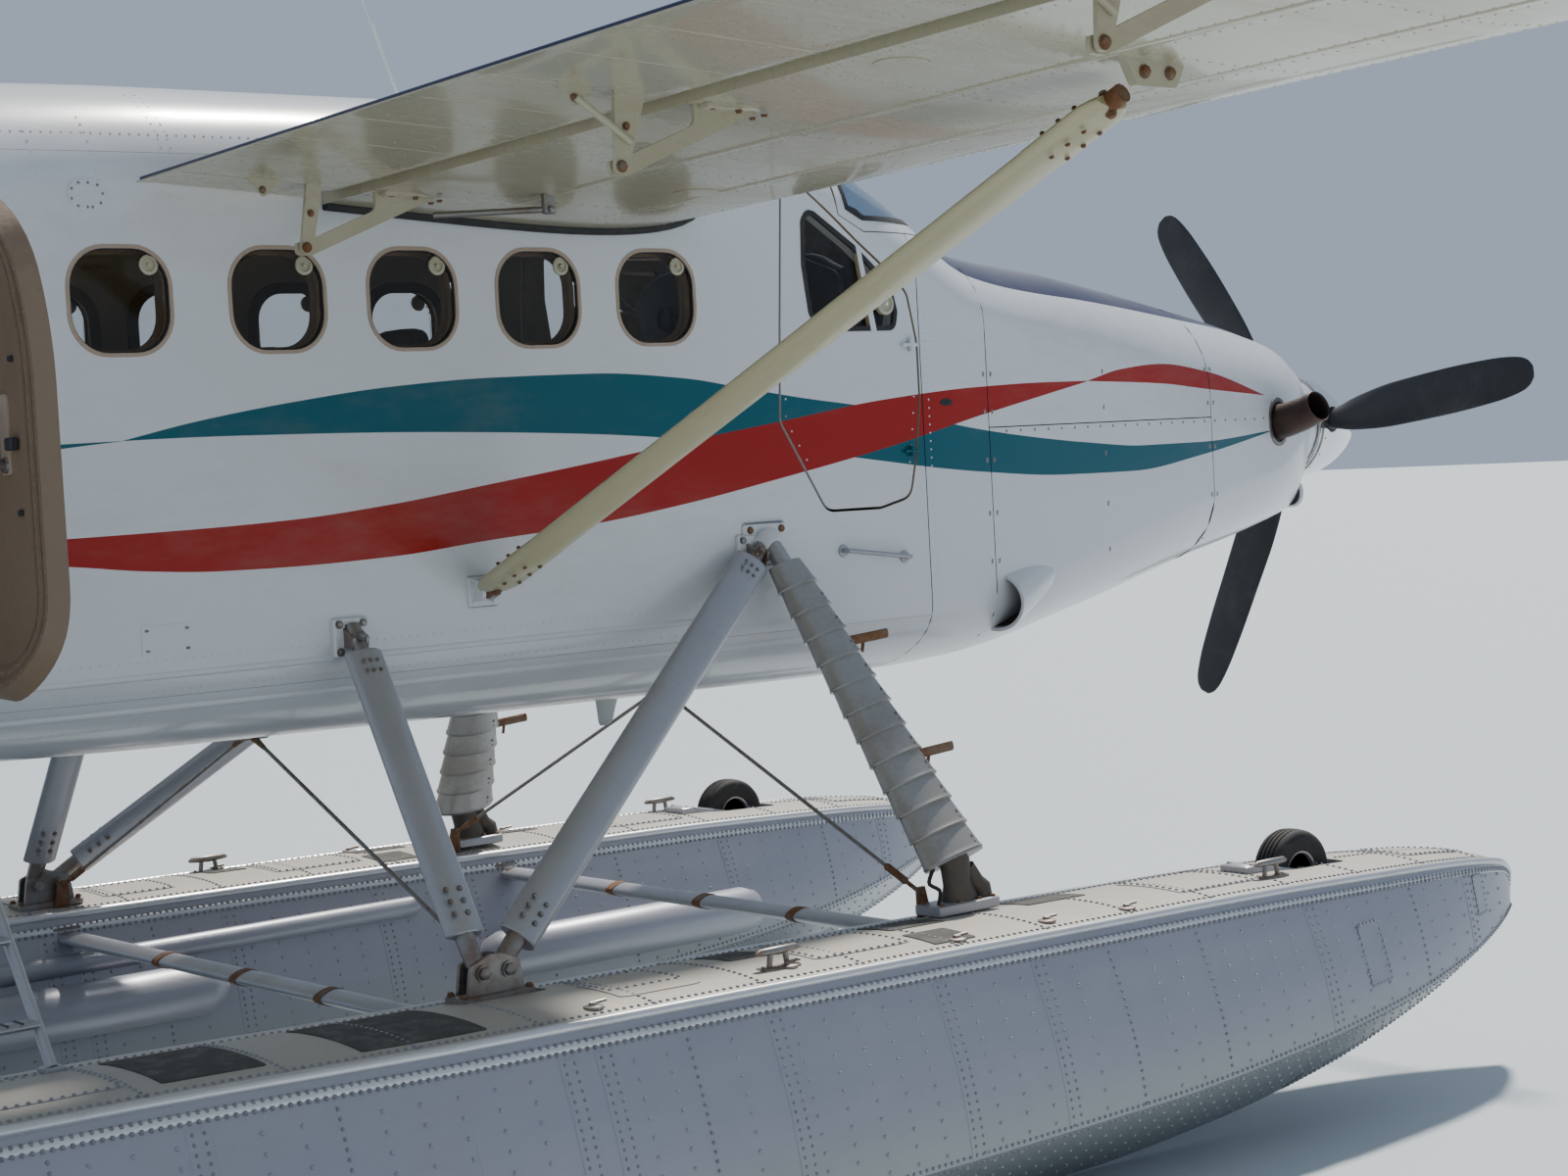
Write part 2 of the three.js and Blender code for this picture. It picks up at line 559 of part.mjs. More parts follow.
function wingPanel(name, side) {
  const ys = [ROOT_Y + GAP, TIP_Y - 170, TIP_Y - 50, TIP_Y];
  const tipChords = [1, 1, 0.93, 0.72];
  const rings = ys.map((y, i) => {
    const chord = CHORD * tipChords[i];
    const ring = foilRing(y, FRONT_SHARES, chord, WING_LE_X - CHORD * (1 - tipChords[i]) * 0.35);
    const thin = [1, 1, 0.72, 0.3][i];
    return ring.map((p) => v(p.x, p.y, wingZ(y) + (p.z - wingZ(y)) * thin));
  });
  let panel = solid(loft(rings));
  FLAP_ARMS_Y.forEach((y) => {
    const low = wingZ(y) - FLAP_PIVOT.drop;
    const { x } = FLAP_PIVOT;
    const arm = plateXZ([[-880, wingZ(y) - 60], [x + 26, low - 22], [x - 24, low - 22], [x - 24, low + 14],
      [x + 30, low + 26], [-1075, wingZ(y) - 100], [-1075, wingZ(y) - 30], [-1000, wingZ(y) + 20]], y - 9, 6);
    panel = panel.add(arm);
  });
  const [sx, sy] = STRUT_TOP;
  panel = panel.add(plateXZ([[sx - 130, wingZ(sy) - 40], [sx - 70, wingZ(sy) - 150], [sx + 70, wingZ(sy) - 150],
    [sx + 130, wingZ(sy) - 40]], sy + 100, 14));
  const geometry = shape(panel);
  add(name, side === PORT ? geometry : mirror(geometry), 'cream');
}

// A movable panel behind the wing's rear edge, with a rounded nose
function rearPanel(y0, y1, chordFront, noseDrop) {
  const chord = CHORD * (1 - chordFront);
  const leX = WING_LE_X - CHORD * chordFront;
  const ring = (y) => {
    const edge = (t, upper) => {
      const share = chordFront + (1 - chordFront) * t;
      const full = CHORD * foil(share, upper);
      const lower = CHORD * foil(share, false);
      const high = CHORD * foil(share, true);
      const nose = Math.min(1, Math.sqrt(Math.max(0, 1 - (1 - t / 0.16) ** 2)));
      const middle = lerp(lower, high, noseDrop);
      return t >= 0.16 ? full : middle + (full - middle) * nose;
    };
    const upper = REAR_SHARES.map((t) => v(leX - chord * t, y, wingZ(y) + edge(t, true)));
    const lower = REAR_SHARES.slice().reverse().filter((t) => t > 0 && t < 1)
      .map((t) => v(leX - chord * t, y, wingZ(y) + edge(t, false)));
    const trailing = v(leX - chord, y, wingZ(y) + CHORD * foil(1, false) - 4);
    return [...upper, trailing, ...lower];
  };
  return solid(loft([ring(y0), ring(y1)]));
}

function flap(name, side) {
  let panel = rearPanel(FLAP.y0, FLAP.y1, HINGE_CUT + 0.006, 0.4);
  FLAP_ARMS_Y.forEach((y) => {
    const low = wingZ(y) - FLAP_PIVOT.drop;
    const { x } = FLAP_PIVOT;
    panel = panel.add(plateXZ([[x + 22, low - 18], [x + 70, wingZ(y) - 10], [x - 130, wingZ(y) + 25],
      [x - 190, wingZ(y) - 10], [x - 22, low - 18]], y + 9, 6));
  });
  const geometry = shape(panel);
  add(name, side === PORT ? geometry : mirror(geometry), 'cream');
}

function aileron(name, side) {
  const geometry = shape(rearPanel(AILERON.y0, AILERON.y1, HINGE_CUT + 0.012, 0.5));
  add(name, side === PORT ? geometry : mirror(geometry), 'cream');
}

function wingStrut(name, side) {
  const root = v(STRUT_ROOT[0], side * STRUT_ROOT[1], STRUT_ROOT[2]);
  const top = v(STRUT_TOP[0], side * STRUT_TOP[1], STRUT_TOP[2]);
  const axis = top.clone().sub(root).normalize();
  const start = root.clone().addScaledVector(axis, 30);
  const end = top.clone().addScaledVector(axis, -40);
  add(name, bar(start, end, 165, 70, v(1, 0, 0), 16), 'cream');
}

// Tail surfaces: thin symmetric sections between a root and a tip
function taperedSurface(y0, y1, moving) {
  const ring = (y) => {
    const chord = lerp(TAILPLANE.rootChord, TAILPLANE.tipChord, Math.abs(y) / (TAILPLANE.span / 2));
    const lead = RUDDER_END_X + chord;
    const front = moving ? TAILPLANE.hingeX + 42 : lead;
    const rear = moving ? RUDDER_END_X : TAILPLANE.hingeX + 58;
    const half = (x) => {
      const s = (lead - x) / chord;
      return chord * (0.05 * Math.sqrt(Math.min(1, s / 0.12)) * (1 - Math.max(0, s - 0.3) * 1.25) + 0.003);
    };
    const stations = (moving ? [0, 0.04, 0.14, 0.5, 1] : [0, 0.06, 0.24, 0.6, 1]).map((t) => lerp(front, rear, t));
    const nose = (i) => (moving ? [0.45, 0.85, 1, 1, 1][i] : 1);
    const upper = stations.map((x, i) => v(x, y, TAILPLANE.z + half(x) * nose(i)));
    const lower = stations.map((x, i) => v(x, y, TAILPLANE.z - half(x) * nose(i))).reverse();
    return [...upper, ...lower];
  };
  return solid(loft([ring(y0), ring(y1)]));
}

const RUDDER_SWING = 25;
function elevatorRoom(side) {
  const back = RUDDER_END_X - 200;
  const spread = 105 + (RUDDER_HINGE_X - back) * Math.tan(rad(RUDDER_SWING));
  return solid(topView(outline([
    [RUDDER_HINGE_X + 120, side * -10], [RUDDER_HINGE_X + 120, side * 75], [RUDDER_HINGE_X, side * 85],
    [back, side * spread], [back, side * -10],
  ]), 1000, 1600));
}

function tail() {
  const half = TAILPLANE.span / 2;
  const finBody = fin();
  const rudderRoom = solid(box(-9000, RUDDER_HINGE_X + 80, -70, 70, 1000, 1600));
  add('fin', shape(finBody), 'white');
  [[STARBOARD, 'starboard'], [PORT, 'port']].forEach(([side, name]) => {
    const plane = taperedSurface(side * 10, side * half, false).subtract(rudderRoom);
    add(`tailplane_${name}`, shape(largest(cut(plane, finBody.translate([0, side * GAP, 0])))), 'white');
    const panel = taperedSurface(side * 60, side * (half - 4), true);
    add(`elevator_${name}`, shape(largest(panel.subtract(elevatorRoom(side)))), 'white');
  });
  rudder();
}

const FIN_THICK = 110;
function finSection(z, x0, x1, rounded) {
  const t = (z - FIN.baseZ) / (FIN.topZ - FIN.baseZ);
  const half = lerp(FIN_THICK, 60, t) / 2;
  const shares = rounded ? [0, 0.12, 0.4, 1] : [0, 0.1, 0.45, 1];
  const wide = rounded ? [0.5, 1, 0.8, 0.08] : [0.1, 0.8, 1, 1];
  const left = shares.map((s, i) => v(lerp(x1, x0, s), half * wide[i], z));
  const right = shares.slice().reverse().map((s, i) => v(lerp(x1, x0, s),
    -half * wide[shares.length - 1 - i], z));
  return [...left, ...right];
}

function fin() {
  const rear = RUDDER_HINGE_X + 66;
  const body = solid(loft([
    finSection(900, rear, FIN.leBase + 60), finSection(1100, rear, FIN.leBase - 20),
    finSection(FIN.topZ - 90, rear, FIN.leTop + 40), finSection(FIN.topZ, rear, FIN.leTop - 60),
  ]));
  const fillet = solid(loft([0, 1].map((t) => {
    const z = lerp(900, 1190, t);
    return finSection(z, -7600, lerp(-6250, -7330, t));
  })));
  return body.add(fillet).subtract(bodyBetween(BODY[0].x - 5, -3600, -GAP));
}

function rudder() {
  const front = RUDDER_HINGE_X + 50;
  const heel = front - 40;
  const panel = solid(loft([
    finSection(410, RUDDER_END_X + 160, heel, true), finSection(560, RUDDER_END_X, front, true),
    finSection(2200, RUDDER_END_X + 120, front, true), finSection(2400, RUDDER_END_X + 190, front, true),
  ]));
  add('rudder', shape(panel), 'white');
}

// Floats: station x, deck z, deck half width, chine half width, chine z, keel z
const FLOAT_ROWS = [
  [3590, -1765, 22, 26, -1795, -1825], [3480, -1622, 105, 128, -1765, -1905],
  [3250, -1548, 186, 232, -1805, -2012], [2900, -1508, 233, 335, -1865, -2125],
  [2400, -1480, 258, 412, -1935, -2240], [1800, -1458, 263, 452, -1990, -2315],
  [1100, -1444, 263, 466, -2030, KEEL_Z], [STEP_X + 1, -1398, 263, 466, -2060, KEEL_Z],
  [STEP_X, -1398, 263, 464, -2056, KEEL_Z + 75], [-2500, -1372, 258, 430, -1985, -2150],
  [-4000, -1357, 236, 352, -1870, -1985], [-5100, -1352, 192, 246, -1745, -1830],
  [-5500, -1352, 168, 200, -1700, -1765],
];
const DECK_CROWN = 22;

function floatHull() {
  const rings = FLOAT_ROWS.map(([x, deck, deckHalf, chineHalf, chine, keel]) => {
    const roll = deckHalf * 0.14;
    const half = [
      [0, deck + DECK_CROWN], [deckHalf * 0.55, deck + DECK_CROWN * 0.8], [deckHalf, deck],
      [deckHalf + roll, deck - roll], [lerp(deckHalf, chineHalf, 0.75), lerp(deck, chine, 0.55)],
      [chineHalf, chine], [chineHalf * 0.5, lerp(chine, keel, 0.52)], [0, keel],
    ];
    const left = half.map(([y, z]) => v(x, FLOAT_Y + y, z));
    const right = half.slice(1, -1).reverse().map(([y, z]) => v(x, FLOAT_Y - y, z));
    return [...left, ...right];
  });
  return solid(loft(rings));
}

const deckAt = (x) => {
  const i = FLOAT_ROWS.findIndex(([rowX]) => rowX <= x);
  const [a, b] = [FLOAT_ROWS[i - 1], FLOAT_ROWS[i]];
  return lerp(a[1], b[1], (x - a[0]) / (b[0] - a[0])) + DECK_CROWN;
};

const WELL = { length: 600, half: 222, roof: -1555 };
const AXLE = 26;
const BEARING = AXLE + 7;

function lug(x, y, z, radius, width) {
  return solid(new THREE.CylinderGeometry(radius, radius, width, 12).translate(x, y, z));
}

function floatBody() {
  const well = solid(box(MAIN_WHEEL.x - WELL.length / 2, MAIN_WHEEL.x + WELL.length / 2,
    FLOAT_Y - WELL.half, FLOAT_Y + WELL.half, -2500, WELL.roof));
  const recess = solid(box(NOSE_WHEEL.x - 175, NOSE_WHEEL.x + 215, FLOAT_Y - 85, FLOAT_Y + 85,
    NOSE_WHEEL.z - NOSE_WHEEL.radius - 22, -1200));
  let hull = cut(floatHull(), well, recess);
  // Arm of the retracted main wheels, from the well's front wall to the axle
  const arm = box(MAIN_WHEEL.x + 20, MAIN_WHEEL.x + WELL.length / 2 + 40, FLOAT_Y - 32, FLOAT_Y + 32,
    MAIN_WHEEL.z - 30, MAIN_WHEEL.z + 30);
  const eye = lug(MAIN_WHEEL.x, FLOAT_Y, MAIN_WHEEL.z, 60, 64);
  const bore = lug(MAIN_WHEEL.x, FLOAT_Y, MAIN_WHEEL.z, BEARING, 100);
  hull = hull.add(join(solid(arm), eye).subtract(bore));
  hull = hull.add(noseFork());
  [[2040, 145], [-250, 145], [-4700, 90]].forEach(([x, out]) => {
    hull = hull.add(cleat(x, FLOAT_Y + out, deckAt(x) - 8));
  });
  SIDE_TUBES.forEach((tube) => {
    hull = hull.add(sideTube(tube));
  });
  // Transom brackets of the water rudder
  [-1420, -1640].forEach((z) => {
    hull = hull.add(solid(box(WATER_RUDDER_X - 26, -5480, FLOAT_Y - 16, FLOAT_Y + 16, z - 8, z + 8)));
  });
  return hull;
}

// Round-ended tubes and a fairing along each float's inboard flank: stations, distance in from the float's middle
const SIDE_TUBES = [
  { x0: 600, x1: 2080, inward: 500, z: -1830, radius: 100 },
  { x0: -1750, x1: -520, inward: 470, z: -1745, radius: 100 },
  { x0: -1800, x1: 420, inward: 362, z: -1592, radius: 40 },
];
function sideTube({ x0, x1, inward, z, radius }) {
  const ends = [[0, 0.35], [0.4, 0.8], [1.1, 1]]; // distance from the tip and radius, in radii
  const rows = [...ends.map(([d, r]) => [x0 + d * radius, r]), ...ends.reverse().map(([d, r]) => [x1 - d * radius, r])];
  return solid(loft(rows.map(([x, share]) => Array.from({ length: 12 }, (_, i) => {
    const a = (i / 12) * 2 * Math.PI;
    return v(x, FLOAT_Y - inward + Math.cos(a) * radius * share, z + Math.sin(a) * radius * share);
  }))));
}

function noseFork() {
  const { x, z, width } = NOSE_WHEEL;
  const reach = width / 2 + 12;
  const root = x - 290;
  const arms = [-1, 1].map((side) => solid(bar(v(x, FLOAT_Y + side * (reach + 7), z),
    v(root, FLOAT_Y + side * 52, deckAt(root) + 8), 34, 14, v(0, 0, 1), 6)));
  const bridge = solid(box(root - 30, root + 40, FLOAT_Y - 64, FLOAT_Y + 64, deckAt(root) - 30,
    deckAt(root) + 26));
  const axle = solid(new THREE.CylinderGeometry(9, 9, 2 * reach + 10, 8).translate(x, FLOAT_Y, z));
  return join(bridge, axle, ...arms);
}

function cleat(x, y, z) {
  const horn = solid(bar(v(x - 85, y, z + 52), v(x + 85, y, z + 52), 20, 24, v(0, 0, 1), 6));
  const feet = [-32, 32].map((dx) => solid(box(x + dx - 11, x + dx + 11, y - 10, y + 10, z, z + 50)));
  return join(horn, ...feet);
}

function wheelProfile(radius, width, hub, bore) {
  const half = width / 2;
  return [ // distance along the axle, radius
    [-half * 0.55, bore], [-half * 0.55, hub * 0.8], [-half * 0.8, hub], [-half, radius * 0.8],
    [-half * 0.72, radius * 0.965], [0, radius], [half * 0.72, radius * 0.965], [half, radius * 0.8],
    [half * 0.8, hub], [half * 0.55, hub * 0.8], [half * 0.55, bore], [-half * 0.55, bore],
  ].map(([y, r]) => new THREE.Vector2(r, y));
}

function wheels(name, side) {
  const y = side * FLOAT_Y;
  const nose = NOSE_WHEEL;
  const noseShape = new THREE.LatheGeometry(wheelProfile(nose.radius, nose.width, 78, 14), 16);
  add(`nose_wheel_${name}`, shape(solid(noseShape)), 'rubber').position.set(nose.x, y, nose.z);
  const main = MAIN_WHEEL;
  const wheel = solid(new THREE.LatheGeometry(wheelProfile(main.radius, main.width, 120, 10), 16));
  const axle = solid(new THREE.CylinderGeometry(AXLE, AXLE, main.spacing, 10));
  const pair = [-1, 1].map((end) => wheel.translate([0, end * main.spacing / 2, 0]));
  add(`main_wheels_${name}`, shape(join(axle, ...pair)), 'rubber').position.set(main.x, y, main.z);
}

function waterRudder(name, side) {
  const y = side * FLOAT_Y;
  const x = WATER_RUDDER_X;
  const blade = plateXZ([[x - 20, -1360], [x + 4, -1400], [x + 4, -1930], [x - 60, -2010], [x - 250, -1960],
    [x - 285, -1800], [x - 150, -1500], [x - 60, -1372]], y, 9);
  const room = [-1420, -1640].map((z) => solid(box(x - 38, x + 40, y - 40, y + 40, z - 14, z + 14)));
  add(`water_rudder_${name}`, shape(cut(blade, ...room)), 'silver');
}

// Float gear: banded front pylons, V struts, spreader bars, bracing wires
const PYLON_BANDS = 12;
const PYLON_SIDES = 10;
function frontPylon(name, side) {
  const top = v(PYLON.rootX + 15, side * 905, PYLON.rootZ - 75);
  const foot = v(PYLON.x, side * (FLOAT_Y - FOOT_IN), deckAt(PYLON.x) + 175);
  const axis = foot.clone().sub(top);
  const along = v(1, 0, 0).addScaledVector(axis, -axis.x / axis.lengthSq()).normalize();
  const across = axis.clone().cross(along).normalize();
  const ring = (t, swell) => {
    const centre = top.clone().addScaledVector(axis, t);
    const chord = (lerp(150, 262, t) + swell) / 2;
    const thick = (lerp(84, 118, t) + swell) / 2;
    return Array.from({ length: PYLON_SIDES }, (_, i) => {
      const a = (i / PYLON_SIDES) * 2 * Math.PI;
      return centre.clone().addScaledVector(along, Math.cos(a) * chord)
        .addScaledVector(across, Math.sin(a) * thick);
    });
  };
  const rings = Array.from({ length: PYLON_BANDS }, (_, i) => [
    ring(i / PYLON_BANDS, 0), ring((i + 0.86) / PYLON_BANDS, 12),
  ]).flat();
  const sleeve = solid(loft([...rings, ring(1, 0)]));
  const root = v(PYLON.rootX, side * 856, PYLON.rootZ);
  const neck = solid(bar(root, top.clone().addScaledVector(axis, 0.06), 66, 66, v(1, 0, 0), 10));
  const footY = side * (FLOAT_Y - FOOT_IN);
  const low = v(PYLON.x, footY, deckAt(PYLON.x) + 24);
  const shin = solid(bar(foot.clone().addScaledVector(axis, -0.05), low, 130, 78, v(1, 0, 0), 10));
  const shoe = solid(box(PYLON.x - 130, PYLON.x + 150, footY - 62, footY + 62,
    deckAt(PYLON.x) + 2, deckAt(PYLON.x) + 46));
  add(`front_pylon_${name}`, shape(join(sleeve, neck, shin, shoe)), 'silver');
}

function vStrut(name, side) {
  const footY = side * (FLOAT_Y - FOOT_IN);
  const legs = [V_FORE_ROOT, V_AFT_ROOT].map(([x, z], i) => {
    const toe = v(V_FOOT.x + (i === 0 ? 45 : -45), footY, V_FOOT.z + 60);
    return solid(bar(v(x, side * 866, z), toe, 128, 66, v(1, 0, 0), 14));
  });
  const shoe = solid(box(V_FOOT.x - 130, V_FOOT.x + 130, footY - 48, footY + 48,
    deckAt(V_FOOT.x) + 3, V_FOOT.z + 95));
  add(`v_strut_${name}`, shape(join(...legs, shoe)), 'silver');
}

function spreaderBars() {
  [['fore', FORE_BAR], ['aft', AFT_BAR]].forEach(([name, { x, z }]) => {
    const end = FLOAT_Y - 334;
    add(`spreader_bar_${name}`, bar(v(x, -end, z), v(x, end, z), 92, 58, v(1, 0, 0), 14), 'silver');
  });
}

function bracingWires() {
  [['fore', 720, 690], ['aft', -1010, V_FOOT.x + 40]].forEach(([name, top, low]) => {
    const { bottom } = bodyAt(top);
    const plate = solid(box(top - 60, top + 60, -40, 40, bottom - 34, bottom - 3));
    const wires = [-1, 1].map((side) => solid(bar(v(top, 0, bottom - 22),
      v(low, side * (FLOAT_Y - FOOT_IN - 70), deckAt(low) + 70), 14, 14, v(1, 0, 0), 6)));
    add(`bracing_wires_${name}`, shape(join(plate, ...wires)), 'steel');
  });
}

// Cabin: seats joined by their floor rails, and the instrument panel
function seat(x, y, width, back) {
  const base = solid(box(x - 210, x + 210, y - width / 2, y + width / 2, FLOOR_TOP_Z + 250, FLOOR_TOP_Z + 370));
  const post = solid(box(x - 120, x + 120, y - 120, y + 120, FLOOR_TOP_Z + 20, FLOOR_TOP_Z + 260));
  const rest = plateXZ([[x - 150, FLOOR_TOP_Z + 330], [x - 210, FLOOR_TOP_Z + 330],
    [x - 320, FLOOR_TOP_Z + back], [x - 235, FLOOR_TOP_Z + back + 25]], y, width / 2);
  return join(base, post, rest);
}

const CABIN_SEATS_X = [-330, -1050, -1770];
function seats() {
  [[STARBOARD, 'starboard'], [PORT, 'port']].forEach(([side, name]) => {
    const y = side * 460;
    const rail = solid(box(-2000, -100, y - 30, y + 30, FLOOR_TOP_Z + 3, FLOOR_TOP_Z + 30));
    const row = CABIN_SEATS_X.map((x) => seat(x, y, 430, 1010));
    add(`cabin_seats_${name}`, shape(join(rail, ...row)), 'leather');
  });
  const crew = [STARBOARD, PORT].map((side) => seat(560, side * 420, 450, 1060));
  const tie = solid(box(500, 620, -420, 420, FLOOR_TOP_Z + 3, FLOOR_TOP_Z + 30));
  add('crew_seats', shape(join(tie, ...crew)), 'leather');
  const board = plateXZ([[1180, 350], [1210, 350], [1260, 880], [1180, 880]], 0, 620);
  const pedestal = solid(box(1185, 1300, -130, 130, FLOOR_TOP_Z + 3, 420));
  add('instrument_panel', shape(join(board, pedestal)), 'black');
}

// Boarding ladder from the cabin door's sill to the starboard float
function boardingLadder() {
  const top = [-(bodyAt(-2700).w + 30), -450];
  const foot = [-1470, deckAt(-2450) + 4];
  const rail = (x) => solid(bar(v(x, ...top), v(x, ...foot), 34, 34, v(1, 0, 0), 6));
  const rungs = [0.15, 0.4, 0.65, 0.88].map((t) => {
    const [y, z] = [lerp(top[0], foot[0], t), lerp(top[1], foot[1], t)];
    return solid(box(-2880, -2450, y - 30, y + 30, z - 10, z + 10));
  });
  add('boarding_ladder', shape(join(rail(-2450), rail(-2880), ...rungs)), 'silver');
}

cabin();
windscreen();
windowStrips();
cabinDoor();
cargoDoors();
tailCone();
cowling();
engine();
exhausts();
propeller();
tail();
spreaderBars();
bracingWires();
seats();
boardingLadder();
const floatGeometry = shape(floatBody());
[[STARBOARD, 'starboard'], [PORT, 'port']].forEach(([side, name]) => {
  cockpitDoor(side, name);
  wingPanel(`wing_${name}`, side);
  flap(`flap_${name}`, side);
  aileron(`aileron_${name}`, side);
  wingStrut(`wing_strut_${name}`, side);
  add(`float_${name}`, side === PORT ? floatGeometry : mirror(floatGeometry), 'silver');
  wheels(name, side);
  waterRudder(name, side);
  frontPylon(name, side);
  vStrut(name, side);
});

// The origin goes under the middle of the overall length, on the ground below the keels
aircraft.position.set(-(SPINNER_TIP_X + RUDDER_END_X) / 2, 0, -KEEL_Z);
export default aircraft;
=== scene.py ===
import math
from itertools import product

import bmesh
import bpy
import numpy as np
from mathutils import Matrix, Vector
from mathutils.geometry import delaunay_2d_cdt


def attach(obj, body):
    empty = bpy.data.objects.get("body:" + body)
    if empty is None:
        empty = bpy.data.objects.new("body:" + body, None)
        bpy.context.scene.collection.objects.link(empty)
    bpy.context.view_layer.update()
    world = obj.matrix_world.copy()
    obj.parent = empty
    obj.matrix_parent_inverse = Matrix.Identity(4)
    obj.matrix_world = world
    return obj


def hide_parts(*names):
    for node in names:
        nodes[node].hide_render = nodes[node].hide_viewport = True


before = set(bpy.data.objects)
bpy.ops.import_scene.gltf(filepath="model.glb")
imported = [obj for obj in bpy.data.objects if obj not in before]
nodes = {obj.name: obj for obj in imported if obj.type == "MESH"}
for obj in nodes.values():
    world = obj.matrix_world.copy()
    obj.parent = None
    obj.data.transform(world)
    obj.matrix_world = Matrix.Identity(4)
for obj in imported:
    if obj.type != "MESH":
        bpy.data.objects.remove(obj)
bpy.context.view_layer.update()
DATUM = np.array([2.05, 0.0, 2.35])  # the datum's place in the frame
STARBOARD, PORT = -1, 1
SIDE_NAMES = {STARBOARD: "starboard", PORT: "port"}

# Camera: its place, its direction in degrees and its lens in millimetres
EYE = (-5.495, -8.190, 0.143)
LOOK = {"azimuth": 39.89, "elevation": -2.76, "roll": -3.10}
LENS = 63.17
SENSOR = 36.0
SEES_TO = 400


def camera():
    azimuth, elevation, roll = (math.radians(LOOK[k]) for k in ("azimuth", "elevation", "roll"))
    ahead = Vector((math.sin(azimuth) * math.cos(elevation), math.cos(azimuth) * math.cos(elevation),
                    math.sin(elevation)))
    level = Vector((math.cos(azimuth), -math.sin(azimuth), 0))
    upright = level.cross(ahead)
    right = math.cos(roll) * level + math.sin(roll) * upright
    up = math.cos(roll) * upright - math.sin(roll) * level
    data = bpy.data.cameras.new("camera")
    data.lens = LENS
    data.sensor_width = SENSOR
    data.sensor_fit = "HORIZONTAL"
    data.clip_end = SEES_TO
    eye = bpy.data.objects.new("camera", data)
    turn = Matrix((right, up, -ahead)).transposed().to_4x4()
    eye.matrix_world = Matrix.Translation(Vector(EYE) + Vector(DATUM)) @ turn
    bpy.context.scene.collection.objects.link(eye)
    bpy.context.scene.camera = eye


# Points

def points_of(*columns):
    """Points from a column of numbers for each axis; a single number stands for a whole column."""
    return np.stack(np.broadcast_arrays(*columns), -1)


def circle(count):
    """Even angles round a full turn."""
    return np.linspace(0, 2 * np.pi, count, endpoint=False)


# Node trees

class Tree:
    """A short way to lay out nodes: put() makes one, with values or sockets for its inputs."""

    def __init__(self, tree):
        self.tree = tree

    def put(self, kind, inputs=None, **settings):
        node = self.tree.nodes.new(kind)
        for key, value in settings.items():
            setattr(node, key, value)
        for key, value in (inputs or {}).items():
            if isinstance(value, bpy.types.NodeSocket):
                self.tree.links.new(value, node.inputs[key])
            else:
                node.inputs[key].default_value = value
        return node


def new_tree(kind, name, inputs, outputs, fill):
    tree = bpy.data.node_groups.new(name, kind)
    for label, socket, value in inputs:
        entry = tree.interface.new_socket(label, in_out="INPUT", socket_type=socket)
        if value is not None:
            entry.default_value = value
    for label, socket in outputs:
        tree.interface.new_socket(label, in_out="OUTPUT", socket_type=socket)
    layout = Tree(tree)
    fill(layout, layout.put("NodeGroupInput").outputs, layout.put("NodeGroupOutput"))
    return tree


def fill_weather(n, given, leave):
    """Patchy dirt and uneven sheet, from noise stretched along one way."""
    stretched = n.put("ShaderNodeVectorMath", {0: given["Vector"], 1: given["Stretch"]},
                      operation="MULTIPLY").outputs["Vector"]
    broad = n.put("ShaderNodeTexNoise", {"Vector": stretched, "Scale": given["Scale"], "Detail": 5.0,
                                         "Roughness": 0.62}).outputs["Fac"]
    fine_scale = n.put("ShaderNodeMath", {0: given["Scale"], 1: 14.0}, operation="MULTIPLY").outputs[0]
    speck = n.put("ShaderNodeTexNoise", {"Vector": stretched, "Scale": fine_scale, "Detail": 3.0,
                                         "Roughness": 0.7}).outputs["Fac"]
    mixed = n.put("ShaderNodeMath", {0: speck, 1: 0.35, 2: broad}, operation="MULTIPLY_ADD").outputs[0]
    mask = n.put("ShaderNodeMapRange", {"Value": mixed, "From Min": given["Start"],
                                        "From Max": given["Full"]},
                 interpolation_type="SMOOTHSTEP").outputs["Result"]
    sheet = n.put("ShaderNodeTexNoise", {"Vector": given["Vector"], "Scale": given["Wave Scale"],
                                         "Detail": 1.0}).outputs["Fac"]
    grain = n.put("ShaderNodeTexNoise", {"Vector": given["Vector"], "Scale": given["Grain Scale"],
                                         "Detail": 2.0}).outputs["Fac"]
    height = n.put("ShaderNodeMath", {0: grain, 1: given["Grain"], 2: sheet},
                   operation="MULTIPLY_ADD").outputs[0]
    n.tree.links.new(mask, leave.inputs["Grime"])
    n.tree.links.new(broad, leave.inputs["Tone"])
    n.tree.links.new(height, leave.inputs["Height"])


WEATHER = new_tree(
    "ShaderNodeTree", "weather",
    [("Vector", "NodeSocketVector", None), ("Stretch", "NodeSocketVector", (1, 1, 1)),
     ("Scale", "NodeSocketFloat", 1.0), ("Start", "NodeSocketFloat", 0.6), ("Full", "NodeSocketFloat", 0.9),
     ("Wave Scale", "NodeSocketFloat", 3.0), ("Grain Scale", "NodeSocketFloat", 60.0),
     ("Grain", "NodeSocketFloat", 0.1)],
    [("Grime", "NodeSocketFloat"), ("Tone", "NodeSocketFloat"), ("Height", "NodeSocketFloat")],
    fill_weather)


